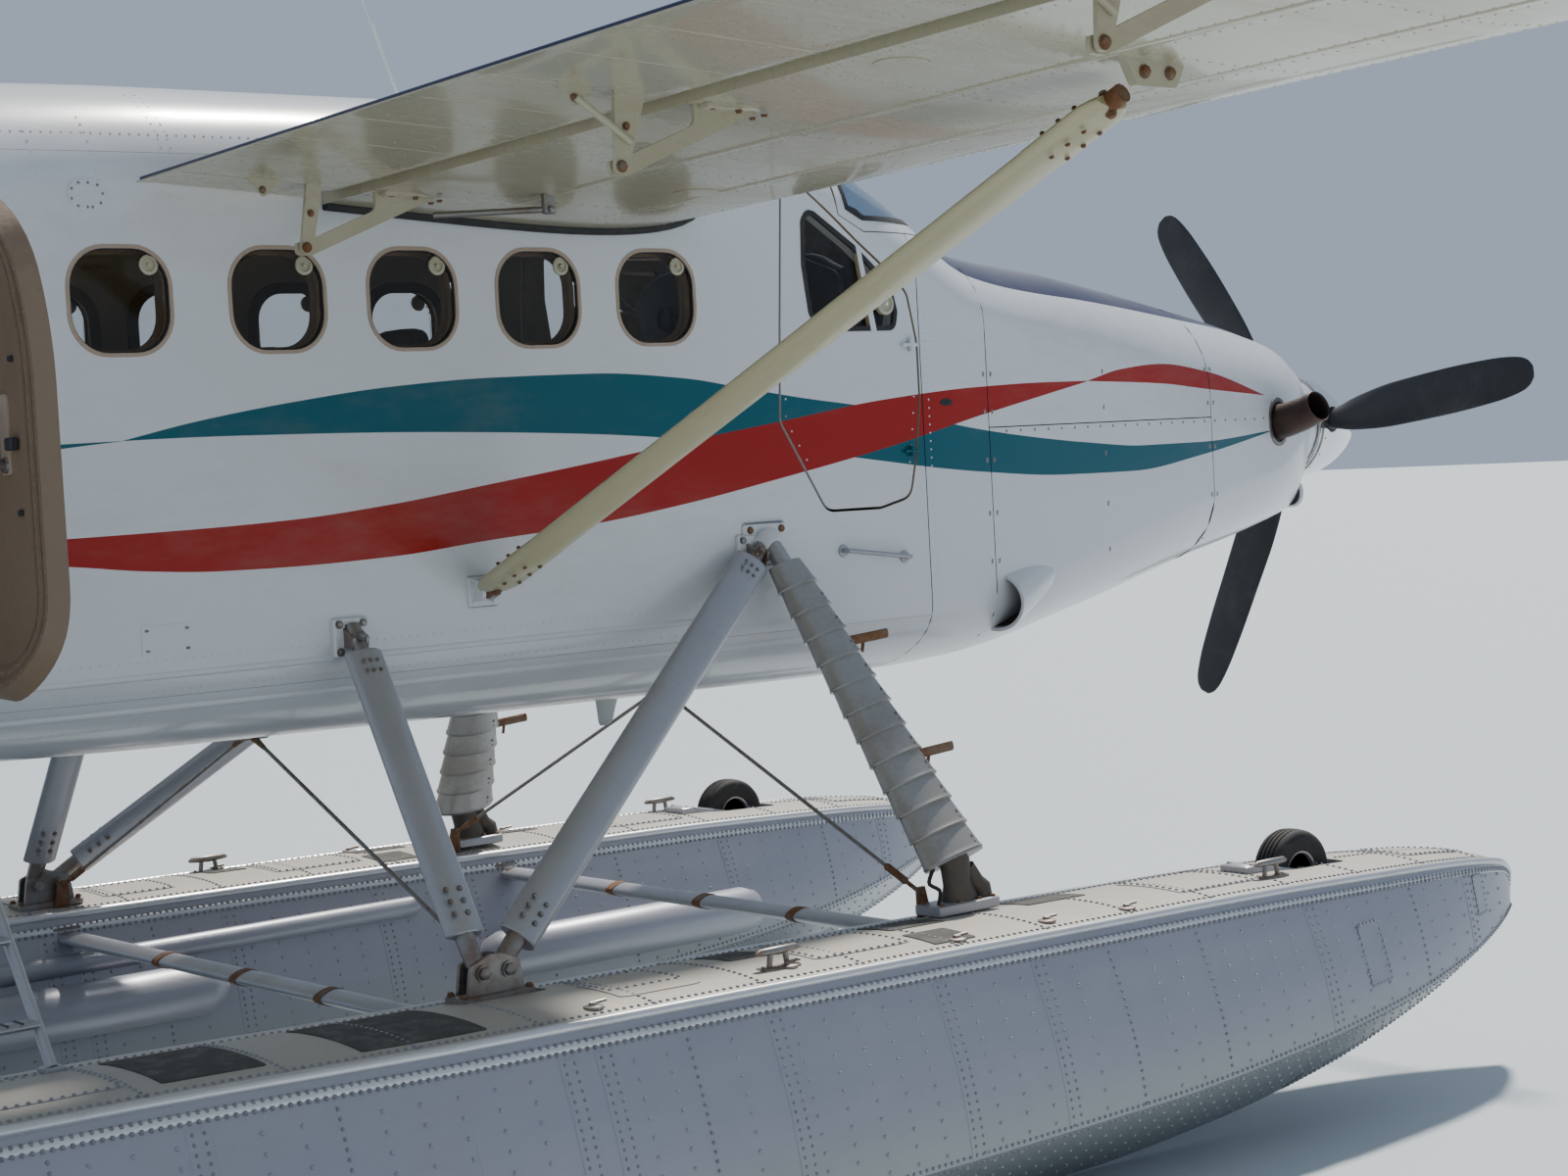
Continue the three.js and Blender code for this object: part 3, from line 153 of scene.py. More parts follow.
def fill_band(n, given, leave):
    """A mask that comes in along one axis with a ragged edge, as a waterline does; low on the white fuselage
    it mixes grime with painted shade and a painted reflection.
    """
    along = n.put("ShaderNodeVectorMath", {0: given["Vector"], 1: given["Axis"]},
                  operation="DOT_PRODUCT").outputs["Value"]
    ragged = n.put("ShaderNodeTexNoise", {"Vector": given["Vector"], "Scale": given["Rag Scale"],
                                          "Detail": 4.0}).outputs["Fac"]
    shifted = n.put("ShaderNodeMath", {0: ragged, 1: given["Rag"], 2: along},
                    operation="MULTIPLY_ADD").outputs[0]
    mask = n.put("ShaderNodeMapRange", {"Value": shifted, "From Min": given["None At"],
                                        "From Max": given["Full At"]},
                 interpolation_type="SMOOTHSTEP").outputs["Result"]
    n.tree.links.new(mask, leave.inputs["Mask"])


BAND = new_tree(
    "ShaderNodeTree", "ragged_band",
    [("Vector", "NodeSocketVector", None), ("Axis", "NodeSocketVector", (0, 0, 1)),
     ("None At", "NodeSocketFloat", 1.0), ("Full At", "NodeSocketFloat", 0.0),
     ("Rag Scale", "NodeSocketFloat", 3.0), ("Rag", "NodeSocketFloat", 0.2)],
    [("Mask", "NodeSocketFloat")], fill_band)


DIRT_ROUGHER, COAT_ROUGHNESS, GLASS_BENDING = 0.25, 0.06, 1.25


def finish(name, colour, roughness, metallic=0.0, coat=0.0, dirt=(0.30, 0.26, 0.20), amount=0.35,
           scale=1.2, stretch=(1, 1, 1), start=0.62, full=1.0, wave=0.0015, wave_scale=3.0, grain=0.08,
           grain_scale=90.0, tone=0.08, bands=(), specular=0.5):
    """A painted, bare or trimmed surface with its own dirt, tone and unevenness."""
    material = bpy.data.materials.new(name)
    material.use_nodes = True
    n = Tree(material.node_tree)
    shader = next(x for x in n.tree.nodes if x.type == "BSDF_PRINCIPLED")
    shader.inputs["Metallic"].default_value = metallic
    shader.inputs["Coat Weight"].default_value = coat
    shader.inputs["Coat Roughness"].default_value = COAT_ROUGHNESS
    shader.inputs["Specular IOR Level"].default_value = specular
    place = n.put("ShaderNodeTexCoord").outputs["Object"]
    weather = n.put("ShaderNodeGroup", node_tree=WEATHER)
    n.tree.links.new(place, weather.inputs["Vector"])
    for label, value in (("Stretch", stretch), ("Scale", scale), ("Start", start), ("Full", full),
                         ("Wave Scale", wave_scale), ("Grain Scale", grain_scale), ("Grain", grain)):
        weather.inputs[label].default_value = value
    darker = tuple(c * (1 - 2.2 * tone) for c in colour) + (1,)
    lighter = tuple(min(1, c * (1 + tone)) for c in colour) + (1,)
    base = n.put("ShaderNodeMix", {0: weather.outputs["Tone"], 6: darker, 7: lighter},
                 data_type="RGBA").outputs[2]
    share = n.put("ShaderNodeMath", {0: weather.outputs["Grime"], 1: amount},
                  operation="MULTIPLY").outputs[0]
    base = n.put("ShaderNodeMix", {0: share, 6: base, 7: (*dirt, 1)}, data_type="RGBA").outputs[2]
    # Bands along an axis: the floats' waterline stain, and low on the white paint grime mixed with painted
    # shade and a painted greenish reflection.
    for axis, none_at, full_at, rag_scale, rag, band_colour, strength in bands:
        band = n.put("ShaderNodeGroup", node_tree=BAND)
        n.tree.links.new(place, band.inputs["Vector"])
        for label, value in (("Axis", axis), ("None At", none_at), ("Full At", full_at),
                             ("Rag Scale", rag_scale), ("Rag", rag)):
            band.inputs[label].default_value = value
        part = n.put("ShaderNodeMath", {0: band.outputs["Mask"], 1: strength},
                     operation="MULTIPLY").outputs[0]
        base = n.put("ShaderNodeMix", {0: part, 6: base, 7: (*band_colour, 1)}, data_type="RGBA").outputs[2]
    n.tree.links.new(base, shader.inputs["Base Color"])
    rough = n.put("ShaderNodeMapRange", {"Value": share, "To Min": roughness,
                                         "To Max": min(1.0, roughness + DIRT_ROUGHER)}).outputs["Result"]
    n.tree.links.new(rough, shader.inputs["Roughness"])
    bump = n.put("ShaderNodeBump", {"Height": weather.outputs["Height"], "Distance": wave, "Strength": 1.0})
    n.tree.links.new(bump.outputs["Normal"], shader.inputs["Normal"])
    return material


def clear(name, colour, roughness=0.01):
    """Window glass or plastic."""
    material = bpy.data.materials.new(name)
    material.use_nodes = True
    n = Tree(material.node_tree)
    shader = next(x for x in n.tree.nodes if x.type == "BSDF_PRINCIPLED")
    shader.inputs["Transmission Weight"].default_value = 1.0
    shader.inputs["IOR"].default_value = GLASS_BENDING
    place = n.put("ShaderNodeTexCoord").outputs["Object"]
    smear = n.put("ShaderNodeTexNoise", {"Vector": place, "Scale": 9.0, "Detail": 4.0}).outputs["Fac"]
    rough = n.put("ShaderNodeMapRange", {"Value": smear, "From Min": 0.5, "From Max": 0.8,
                                         "To Min": roughness, "To Max": roughness + 0.05}).outputs["Result"]
    n.tree.links.new(rough, shader.inputs["Roughness"])
    tint = n.put("ShaderNodeMix", {0: smear, 6: (*colour, 1), 7: (*[c * 0.93 for c in colour], 1)},
                 data_type="RGBA").outputs[2]
    n.tree.links.new(tint, shader.inputs["Base Color"])
    return material


# Greenish, darker band low on the white paint: partly belly grime, partly painted shade and a painted
# greenish reflection from below.
LOW_GRIME_SHADE_AND_REFLECTION = ((0, 0, 1), DATUM[2] - 0.25, DATUM[2] - 0.85, 1.4, 0.35, (0.30, 0.32, 0.25), 0.62)
SHELL_PAINT = {"roughness": 0.24, "coat": 0.35, "specular": 0.4, "amount": 0.25, "scale": 0.9,
               "stretch": (0.5, 1, 1.6),
               "wave": 0.004, "wave_scale": 1.6, "grain": 0.02, "grain_scale": 45.0}
WHITE = finish("white_gloss_paint", (0.72, 0.73, 0.75), bands=[LOW_GRIME_SHADE_AND_REFLECTION], tone=0.03, **SHELL_PAINT)
FLAT_PAINT = {**SHELL_PAINT, "coat": 0.12, "specular": 0.25, "roughness": 0.32}
TEAL = finish("teal_gloss_paint", (0.002, 0.105, 0.145), tone=0.06, **FLAT_PAINT)
RED = finish("red_gloss_paint", (0.36, 0.004, 0.002), tone=0.06, **FLAT_PAINT)
NAVY = finish("navy_gloss_paint", (0.005, 0.009, 0.060), 0.34, coat=0.12, amount=0.12, wave=0.003,
              wave_scale=2.0, grain=0.02)
CREAM = finish("cream_wing_paint", (0.47, 0.43, 0.30), 0.26, coat=0.4, amount=0.6, scale=1.0,
               stretch=(0.5, 2.2, 1), dirt=(0.32, 0.25, 0.15), wave=0.004, wave_scale=2.4, tone=0.10)
PYLON_METAL = finish("pylon_metal", (0.40, 0.39, 0.38), 0.33, metallic=0.65, amount=0.55, scale=5.0,
                     start=0.5, dirt=(0.20, 0.17, 0.12), wave=0.0008, wave_scale=9.0, tone=0.14)
CASTING = finish("dark_casting", (0.085, 0.068, 0.056), 0.5, metallic=0.2, amount=0.6, scale=9.0,
                 dirt=(0.20, 0.13, 0.08), wave=0.0008, wave_scale=20.0)
CREAM_STRUT = finish("cream_strut_paint", (0.50, 0.45, 0.27), 0.34, coat=0.2, amount=0.45, scale=2.0,
                     stretch=(1, 0.5, 1), dirt=(0.30, 0.22, 0.12), wave=0.0008, tone=0.10)
FLOAT_METAL = finish("float_aluminium_paint", (0.40, 0.40, 0.46), 0.40, metallic=0.35, amount=0.4,
                     scale=1.6,
                     stretch=(0.6, 1, 1.4), dirt=(0.30, 0.30, 0.29), wave=0.009, wave_scale=2.4, grain=0.03,
                     tone=0.12, bands=[((0, 0, 1), 0.62, 0.42, 2.5, 0.12, (0.34, 0.38, 0.30), 0.35)])
DECK_PAINT = finish("worn_deck_paint", (0.46, 0.43, 0.38), 0.5, metallic=0.1, amount=0.55, scale=5.0,
                    start=0.55, dirt=(0.34, 0.30, 0.24), wave=0.004, wave_scale=5.0, tone=0.10)
# Rivet heads darker than the sheet: partly weathering, partly painted shade for the dark spots that their
# shadows make.
RIVET_DARK = finish("weathered_shaded_rivets", (0.30, 0.30, 0.33), 0.5, metallic=0.4, amount=0.6, scale=9.0,
                    dirt=(0.10, 0.09, 0.08), wave=0.0004, wave_scale=40.0)
RAIL_METAL = finish("bright_rail", (0.70, 0.70, 0.73), 0.30, metallic=0.6, amount=0.4, scale=6.0,
                    dirt=(0.32, 0.30, 0.27), wave=0.002, wave_scale=8.0)
GEAR_METAL = finish("gear_aluminium_paint", (0.42, 0.42, 0.45), 0.34, metallic=0.5, amount=0.4, scale=4.0,
                    dirt=(0.26, 0.24, 0.22), wave=0.0008, wave_scale=8.0, tone=0.10)
STEEL = finish("steel_fittings", (0.30, 0.29, 0.28), 0.38, metallic=0.8, amount=0.5, scale=16.0, start=0.55,
               full=0.85, dirt=(0.20, 0.095, 0.045), wave=0.0004, wave_scale=40.0)
RUST = finish("rusty_steel", (0.24, 0.17, 0.12), 0.7, metallic=0.3, amount=0.9, scale=22.0, start=0.5,
              full=0.8, dirt=(0.22, 0.085, 0.030), wave=0.001, wave_scale=60.0)
POLISHED = finish("polished_spinner", (0.84, 0.84, 0.85), 0.05, metallic=1.0, amount=0.15, scale=3.0,
                  dirt=(0.4, 0.38, 0.36), wave=0.0004, wave_scale=6.0, tone=0.02)
BURNT = finish("burnt_exhaust", (0.045, 0.030, 0.026), 0.45, metallic=0.6, amount=0.6, scale=7.0, start=0.5,
               full=0.9, dirt=(0.12, 0.065, 0.045), wave=0.0008, wave_scale=12.0, tone=0.2)
BLADE_BLACK = finish("blade_black_paint", (0.022, 0.022, 0.026), 0.45, amount=0.35, scale=5.0,
                     dirt=(0.11, 0.10, 0.10), wave=0.0004, wave_scale=12.0)
RUBBER = finish("tyre_rubber", (0.026, 0.025, 0.026), 0.78, amount=0.5, scale=12.0, dirt=(0.16, 0.13, 0.10),
                wave=0.0006, wave_scale=50.0)
SEAL = finish("black_seal", (0.018, 0.018, 0.019), 0.7, amount=0.35, scale=20.0, dirt=(0.12, 0.10, 0.08),
              wave=0.0004, wave_scale=50.0)
WEAVE = {"wave": 0.0008, "wave_scale": 60.0, "grain": 0.4, "grain_scale": 500.0}
FRAME_TAN = finish("window_frame_tan", (0.44, 0.33, 0.25), 0.5, amount=0.4, scale=8.0,
                   dirt=(0.15, 0.10, 0.06), wave=0.0004, wave_scale=50.0)
TRIM = finish("cabin_trim_tan", (0.40, 0.30, 0.20), 0.62, amount=0.4, scale=3.0, dirt=(0.16, 0.11, 0.07),
              **WEAVE)
DARK_TRIM = finish("brown_lining", (0.20, 0.13, 0.08), 0.75, amount=0.4, scale=6.0, dirt=(0.05, 0.03, 0.02),
                   **WEAVE)
DOOR_TAN = finish("door_lining_tan", (0.23, 0.155, 0.10), 0.5, amount=0.5, scale=3.0,
                  dirt=(0.14, 0.09, 0.06), **WEAVE)
LEATHER = finish("seat_leather", (0.16, 0.115, 0.085), 0.55, amount=0.4, scale=8.0,
                 dirt=(0.07, 0.045, 0.03), wave=0.0009, wave_scale=90.0, grain=0.5, grain_scale=420.0)
PANEL_BLACK = finish("instrument_panel_black", (0.03, 0.03, 0.033), 0.6, amount=0.3, scale=8.0,
                     dirt=(0.12, 0.11, 0.10), wave=0.0005, wave_scale=90.0)
FLOOR_CARPET = finish("cabin_floor", (0.10, 0.10, 0.105), 0.9, amount=0.5, scale=6.0,
                      dirt=(0.18, 0.15, 0.11), wave=0.002, wave_scale=300.0)
PAD_BLACK = finish("anti_slip_pad", (0.075, 0.072, 0.068), 0.85, amount=0.5, scale=14.0,
                   dirt=(0.30, 0.28, 0.24), wave=0.0012, wave_scale=420.0)
GLASS = clear("cabin_glass", (0.94, 0.93, 0.90))
SCREEN_GLASS = clear("windscreen_glass", (0.62, 0.72, 0.82))


# Meshes

def faces_out(mesh):
    """Turns a closed mesh's faces outwards."""
    work = bmesh.new()
    work.from_mesh(mesh)
    bmesh.ops.remove_doubles(work, verts=work.verts, dist=1e-5)
    bmesh.ops.recalc_face_normals(work, faces=work.faces)
    work.to_mesh(mesh)
    work.free()


def set_up(piece, body, stands_for):
    bpy.context.scene.collection.objects.link(piece)
    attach(piece, body)
    if stands_for:
        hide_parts(*stands_for)
    return piece


def carved(mesh, cutters):
    """The mesh with closed shapes cut out of it."""
    link = bpy.context.scene.collection.objects.link
    block = bpy.data.objects.new("block", mesh)
    link(block)
    tools = []
    for cutter in cutters:
        tool_mesh = bpy.data.meshes.new("cutter")
        tool_mesh.from_pydata((np.asarray(cutter.points) + DATUM).tolist(), [], cutter.faces)
        faces_out(tool_mesh)
        tools.append(bpy.data.objects.new("cutter", tool_mesh))
        link(tools[-1])
        cut = block.modifiers.new("cut", "BOOLEAN")
        cut.operation = "DIFFERENCE"
        cut.solver = "EXACT"
        cut.object = tools[-1]
    bpy.context.view_layer.update()
    result = bpy.data.meshes.new_from_object(block.evaluated_get(bpy.context.evaluated_depsgraph_get()))
    for one in [block, *tools]:
        bpy.data.objects.remove(one)
    return result


def make(name, points, faces, finishes, body="airframe", stands_for=(), face_finish=None,
         normals=None, sharp=40.0, outwards=False, cutters=()):
    """A mesh piece from points at the datum's stations; normals are one for each face corner, or zero."""
    mesh = bpy.data.meshes.new(name)
    mesh.from_pydata((np.asarray(points, float).reshape(-1, 3) + DATUM).tolist(), [],
                     [list(f) for f in faces])
    for one in finishes if isinstance(finishes, (list, tuple)) else [finishes]:
        mesh.materials.append(one)
    if face_finish is not None:
        mesh.polygons.foreach_set("material_index", np.asarray(face_finish, np.int32))
    if outwards:
        faces_out(mesh)
    if cutters:
        mesh = carved(mesh, cutters)
    mesh.polygons.foreach_set("use_smooth", [True] * len(mesh.polygons))
    mesh.set_sharp_from_angle(angle=math.radians(sharp))
    if normals is not None:
        mesh.normals_split_custom_set([tuple(n) for n in normals])
    return set_up(bpy.data.objects.new(name, mesh), body, stands_for)


class Shapes:
    """Collects closed shapes that make up one piece."""

    def __init__(self):
        self.points, self.faces, self.finish = [], [], []

    def add(self, points, faces, finish_index=0):
        base = len(self.points)
        self.points.extend(np.asarray(points, float).reshape(-1, 3).tolist())
        self.faces.extend([[base + i for i in f] for f in faces])
        self.finish.extend([finish_index] * len(faces))

    def loft(self, rings, finish_index=0, caps=True, closed=True):
        """Faces through rings of equal point counts."""
        rings = [np.asarray(r, float) for r in rings]
        count, faces = len(rings[0]), []
        for r in range(len(rings) - 1):
            for i in range(count if closed else count - 1):
                a, b = r * count + i, r * count + (i + 1) % count
                faces.append([a, b, b + count, a + count])
        if caps:
            faces.append(list(range(count))[::-1])
            faces.append([(len(rings) - 1) * count + i for i in range(count)])
        self.add(np.concatenate(rings), faces, finish_index)

    def tube(self, path, radius, sides=12, finish_index=0, flatten=1.0, along=(1, 0, 0)):
        """A round or flattened tube along a path; radius is one value or one for each point."""
        path = np.asarray(path, float)
        radii = np.broadcast_to(np.asarray(radius, float), (len(path),))
        tangents = np.gradient(path, axis=0)
        rings = []
        across = np.asarray(along, float)
        for point, tangent, r in zip(path, tangents, radii):
            tangent = tangent / np.linalg.norm(tangent)
            across = across - tangent * across.dot(tangent)
            if np.linalg.norm(across) < 1e-6:
                across = np.cross(tangent, (0.3, 0.9, 0.2))
            across = across / np.linalg.norm(across)
            up = np.cross(tangent, across)
            turn = circle(sides)[:, None]
            rings.append(point + r * (np.cos(turn) * across + flatten * np.sin(turn) * up))
        self.loft(rings, finish_index)

    def lathe(self, profile, centre, axis, sides=24, finish_index=0):
        """Turns rows of (distance along the axis, radius) about the axis; ends at zero radius are closed."""
        axis = np.asarray(axis, float) / np.linalg.norm(axis)
        side = np.cross(axis, (0, 0, 1) if abs(axis[2]) < 0.9 else (1, 0, 0))
        side = side / np.linalg.norm(side)
        up = np.cross(axis, side)
        turn = circle(sides)[:, None]
        rings = [np.asarray(centre) + d * axis + max(r, 1e-5) * (np.cos(turn) * side + np.sin(turn) * up)
                 for d, r in profile]
        self.loft(rings, finish_index)

    def slab(self, outline, normal, thickness, finish_index=0):
        """A plate from a flat outline of points, pushed along a direction."""
        outline = np.asarray(outline, float)
        push = np.asarray(normal, float) * thickness
        self.loft([outline - push / 2, outline + push / 2], finish_index)

    def block(self, low, high, finish_index=0, ease=0.004):
        """A block with eased edges, between any two opposite corners."""
        low, high = np.minimum(low, high), np.maximum(low, high)
        e = min(ease, 0.45 * (high - low).min())
        rings = []
        for z, inset in ((low[2], e), (low[2] + e, 0), (high[2] - e, 0), (high[2], e)):
            x0, y0, x1, y1 = low[0] + inset, low[1] + inset, high[0] - inset, high[1] - inset
            rings.append([(x0 + e, y0, z), (x1 - e, y0, z), (x1, y0 + e, z), (x1, y1 - e, z),
                          (x1 - e, y1, z), (x0 + e, y1, z), (x0, y1 - e, z), (x0, y0 + e, z)])
        self.loft(rings, finish_index)

    def bolt(self, place, axis, size=0.011, finish_index=0):
        """A hexagon head on a washer."""
        self.lathe([(0, 0), (0, size * 1.25), (size * 0.25, size * 1.25), (size * 0.25, 0)], place, axis,
                   12, finish_index)
        self.lathe([(0, 0), (0, size), (size * 0.8, size * 0.96), (size * 0.95, size * 0.75),
                    (size * 0.95, 0)], place, axis, 6, finish_index)

    def make(self, name, finishes, body="airframe", slot=None, stands_for=(), sharp=40.0, cutters=()):
        return make(name, self.points, self.faces, finishes, body, stands_for, self.finish, None,
                    sharp, outwards=True, cutters=cutters)


# Curves through the rows of a table

def smooth_curve(xs, ys):
    """A curve through points, without overshoot."""
    xs, ys = np.asarray(xs, float), np.asarray(ys, float)
    h = np.diff(xs)
    d = np.diff(ys) / h
    slope = np.zeros(len(xs))
    slope[0], slope[-1] = d[0], d[-1]
    for i in range(1, len(xs) - 1):
        if d[i - 1] * d[i] > 0:
            a, b = 2 * h[i] + h[i - 1], h[i] + 2 * h[i - 1]
            slope[i] = (a + b) / (a / d[i - 1] + b / d[i])

    def value(x):
        x = np.clip(np.asarray(x, float), xs[0], xs[-1])
        i = np.clip(np.searchsorted(xs, x, side="right") - 1, 0, len(xs) - 2)
        t = (x - xs[i]) / h[i]
        return ((2 * t ** 3 - 3 * t ** 2 + 1) * ys[i] + (t ** 3 - 2 * t ** 2 + t) * h[i] * slope[i]
                + (3 * t ** 2 - 2 * t ** 3) * ys[i + 1] + (t ** 3 - t ** 2) * h[i] * slope[i + 1])

    return value


def columns(rows):
    rows = sorted(rows)
    xs = [r[0] for r in rows]
    return [smooth_curve(xs, [r[k] for r in rows]) for k in range(1, len(rows[0]))]


# Fuselage skin: station x, half width, top, bottom, top corner depth, bottom corner depth
BODY_ROWS = [
    (-8.29, 0.105, 0.94, 0.39, 0.30, 0.20), (-7.6, 0.24, 0.995, 0.19, 0.46, 0.29),
    (-6.5, 0.43, 1.07, -0.06, 0.64, 0.40), (-5.0, 0.61, 1.19, -0.33, 0.86, 0.47),
    (-3.7, 0.75, 1.30, -0.54, 0.95, 0.46), (-3.11, 0.786, 1.337, -0.592, 0.92, 0.50),
    (-2.34, 0.816, 1.373, -0.64, 0.48, 0.35), (-1.5, 0.82, 1.392, -0.665, 0.37, 0.28),
             (0.7, 0.82, 1.392, -0.69, 0.37, 0.26),
    (0.95, 0.818, 1.37, -0.692, 0.40, 0.26), (1.38, 0.812, 1.165, -0.69, 0.42, 0.26),
    (1.75, 0.785, 0.925, -0.675, 0.33, 0.26), (2.48, 0.69, 0.822, -0.56, 0.36, 0.30),
    (3.25, 0.555, 0.69, -0.405, 0.38, 0.30), (3.83, 0.42, 0.575, -0.30, 0.34, 0.27),
    (4.17, 0.292, 0.482, -0.236, 0.30, 0.34), (4.235, 0.24, 0.432, -0.222, 0.285, 0.32),
]
BODY_CURVES = columns(BODY_ROWS)
CORNER_WIDE = 0.66  # how much of the half width a corner takes
GIRTH = np.array([0, 0.28, 0.94, 2.39, 3.12, 3.40])  # round the half section, at each change of curve
HALF = GIRTH[-1]


def body_at(x, column):
    """The fuselage's half width (0), top (1) or bottom (2) at a station."""
    return float(BODY_CURVES[column](x))


def skin(x, loop):
    """Where the skin is, at a station and a distance round from the keel line, starboard side first."""
    x, loop = np.broadcast_arrays(np.asarray(x, float), np.mod(np.asarray(loop, float), 2 * HALF))
    side = np.where(loop <= HALF, STARBOARD, PORT)
    s = np.interp(np.where(loop <= HALF, loop, 2 * HALF - loop), GIRTH, np.arange(6.0))
    w, top, bottom, shoulder, bilge = (curve(x) for curve in BODY_CURVES)
    wide = CORNER_WIDE * w
    flat = w - wide
    low, high = (s - 2) * np.pi / 2, (s - 3) * np.pi / 2
    zones = [s < 1, s < 2, s < 3, s < 4]
    y = np.select(zones, [flat * s, flat + wide * np.cos(low), w, flat + wide * np.cos(high)],
                  flat * (5 - s))
    up = bottom + bilge + (s - 2) * (top - shoulder - bottom - bilge)
    z = np.select(zones, [bottom, bottom + bilge + bilge * np.sin(low), up,
                          top - shoulder + shoulder * np.sin(high)], top)
    return points_of(x, side * y, z)


def skin_normal(x, loop):
    e = 0.004
    along = skin(np.asarray(x) + e, loop) - skin(np.asarray(x) - e, loop)
    across = skin(x, np.asarray(loop) + e) - skin(x, np.asarray(loop) - e)
    n = np.cross(along, across)
    return n / np.linalg.norm(n, axis=-1, keepdims=True)


def loop_of(x, z, side=STARBOARD):
    """The distance round the section at which the skin is at a height, on one side."""
    x, z = np.asarray(x, float), np.asarray(z, float)
    _, top, bottom, shoulder, bilge = (curve(x) for curve in BODY_CURVES)
    low = 2 + np.arcsin(np.clip((z - bottom - bilge) / bilge, -1, 0)) / (np.pi / 2)
    high = 3 + np.arcsin(np.clip((z - top + shoulder) / shoulder, 0, 1)) / (np.pi / 2)
    middle = 2 + (z - bottom - bilge) / (top - shoulder - bottom - bilge)
    s = np.where(z < bottom + bilge, low, np.where(z > top - shoulder, high, middle))
    g = np.interp(s, np.arange(6.0), GIRTH)
    return g if side == STARBOARD else 2 * HALF - g


def dense(points, step=0.03, closed=True):
    """Adds points along straight sides, so that a line can follow a curved skin."""
    points = [np.asarray(p, float) for p in points]
    ends = points[1:] + points[:1] if closed else points[1:]
    out = []
    for a, b in zip(points, ends):
        count = max(1, int(np.ceil(np.linalg.norm(b - a) / step)))
        out.extend(a + (b - a) * i / count for i in range(count))
    if not closed:
        out.append(points[-1])
    return np.array(out)


def rounded(points, radius, steps=5):
    """Rounds the corners of a flat outline; radius is one value or one for each corner."""
    points = [np.asarray(p, float) for p in points]
    radii = np.broadcast_to(np.asarray(radius, float), (len(points),))
    out = []
    for i, (p, r) in enumerate(zip(points, radii)):
        before, after = points[i - 1] - p, points[(i + 1) % len(points)] - p
        la, lb = np.linalg.norm(before), np.linalg.norm(after)
        before, after = before / la, after / lb
        angle = math.acos(max(-1, min(1, float(before.dot(after)))))
        reach = min(r / max(math.tan(angle / 2), 1e-6), 0.48 * la, 0.48 * lb)
        a, b = p + before * reach, p + after * reach
        out.extend((1 - t) ** 2 * a + 2 * t * (1 - t) * p + t ** 2 * b
                   for t in np.linspace(0, 1, steps + 1))
    return np.array(out)


def rounded_box(x0, x1, z0, z1, radius, steps=8):
    """A box outline with true quarter-circle corners."""
    out = []
    for cx, cz, start in ((x1 - radius, z0 + radius, -90), (x1 - radius, z1 - radius, 0),
                          (x0 + radius, z1 - radius, 90), (x0 + radius, z0 + radius, 180)):
        for a in np.radians(np.linspace(start, start + 90, steps + 1)):
            out.append((cx + radius * math.cos(a), cz + radius * math.sin(a)))
    return np.array(out)


def grown(outline, amount):
    """Moves an outline outwards by a distance, or inwards if it is negative."""
    outline = np.asarray(outline, float)
    ahead = np.roll(outline, -1, axis=0) - outline
    ahead = ahead / np.maximum(np.linalg.norm(ahead, axis=1, keepdims=True), 1e-9)
    back = np.roll(ahead, 1, axis=0)
    x, z = outline.T
    turn = np.sign(np.sum(x * np.roll(z, -1) - np.roll(x, -1) * z))
    n1 = turn * points_of(ahead[:, 1], -ahead[:, 0])
    n2 = turn * points_of(back[:, 1], -back[:, 0])
    return outline + amount * (n1 + n2) / np.maximum(1 + np.sum(n1 * n2, 1, keepdims=True), 0.3)


def on_side(points, side=STARBOARD, step=0.03, closed=True):
    """A side-view outline laid on the skin, as stations and distances round the section."""
    points = dense(points, step, closed)
    return points_of(points[:, 0], loop_of(points[:, 0], points[:, 1], side))


def inside(points, polygon):
    """Which points lie inside a polygon."""
    x, y = points[:, 0][:, None], points[:, 1][:, None]
    a, b = polygon, np.roll(polygon, -1, axis=0)
    crosses = (a[:, 1] > y) != (b[:, 1] > y)
    with np.errstate(divide="ignore", invalid="ignore"):
        at = (b[:, 0] - a[:, 0]) * (y - a[:, 1]) / (b[:, 1] - a[:, 1]) + a[:, 0]
    return (np.sum(crosses & (x < at), axis=1) % 2) == 1


def near_lines(points, polygons, distance):
    """Which points lie nearer than a distance to any polygon's side."""
    close = np.zeros(len(points), bool)
    for polygon in polygons:
        for a, b in zip(polygon, np.roll(polygon, -1, axis=0)):
            low, high = np.minimum(a, b) - distance, np.maximum(a, b) + distance
            pick = np.where(np.all((points > low) & (points < high), axis=1))[0]
            if len(pick):
                d = b - a
                t = np.clip((points[pick] - a) @ d / max(d @ d, 1e-12), 0, 1)[:, None]
                close[pick] |= np.linalg.norm(points[pick] - a - t * d, axis=1) < distance
    return close


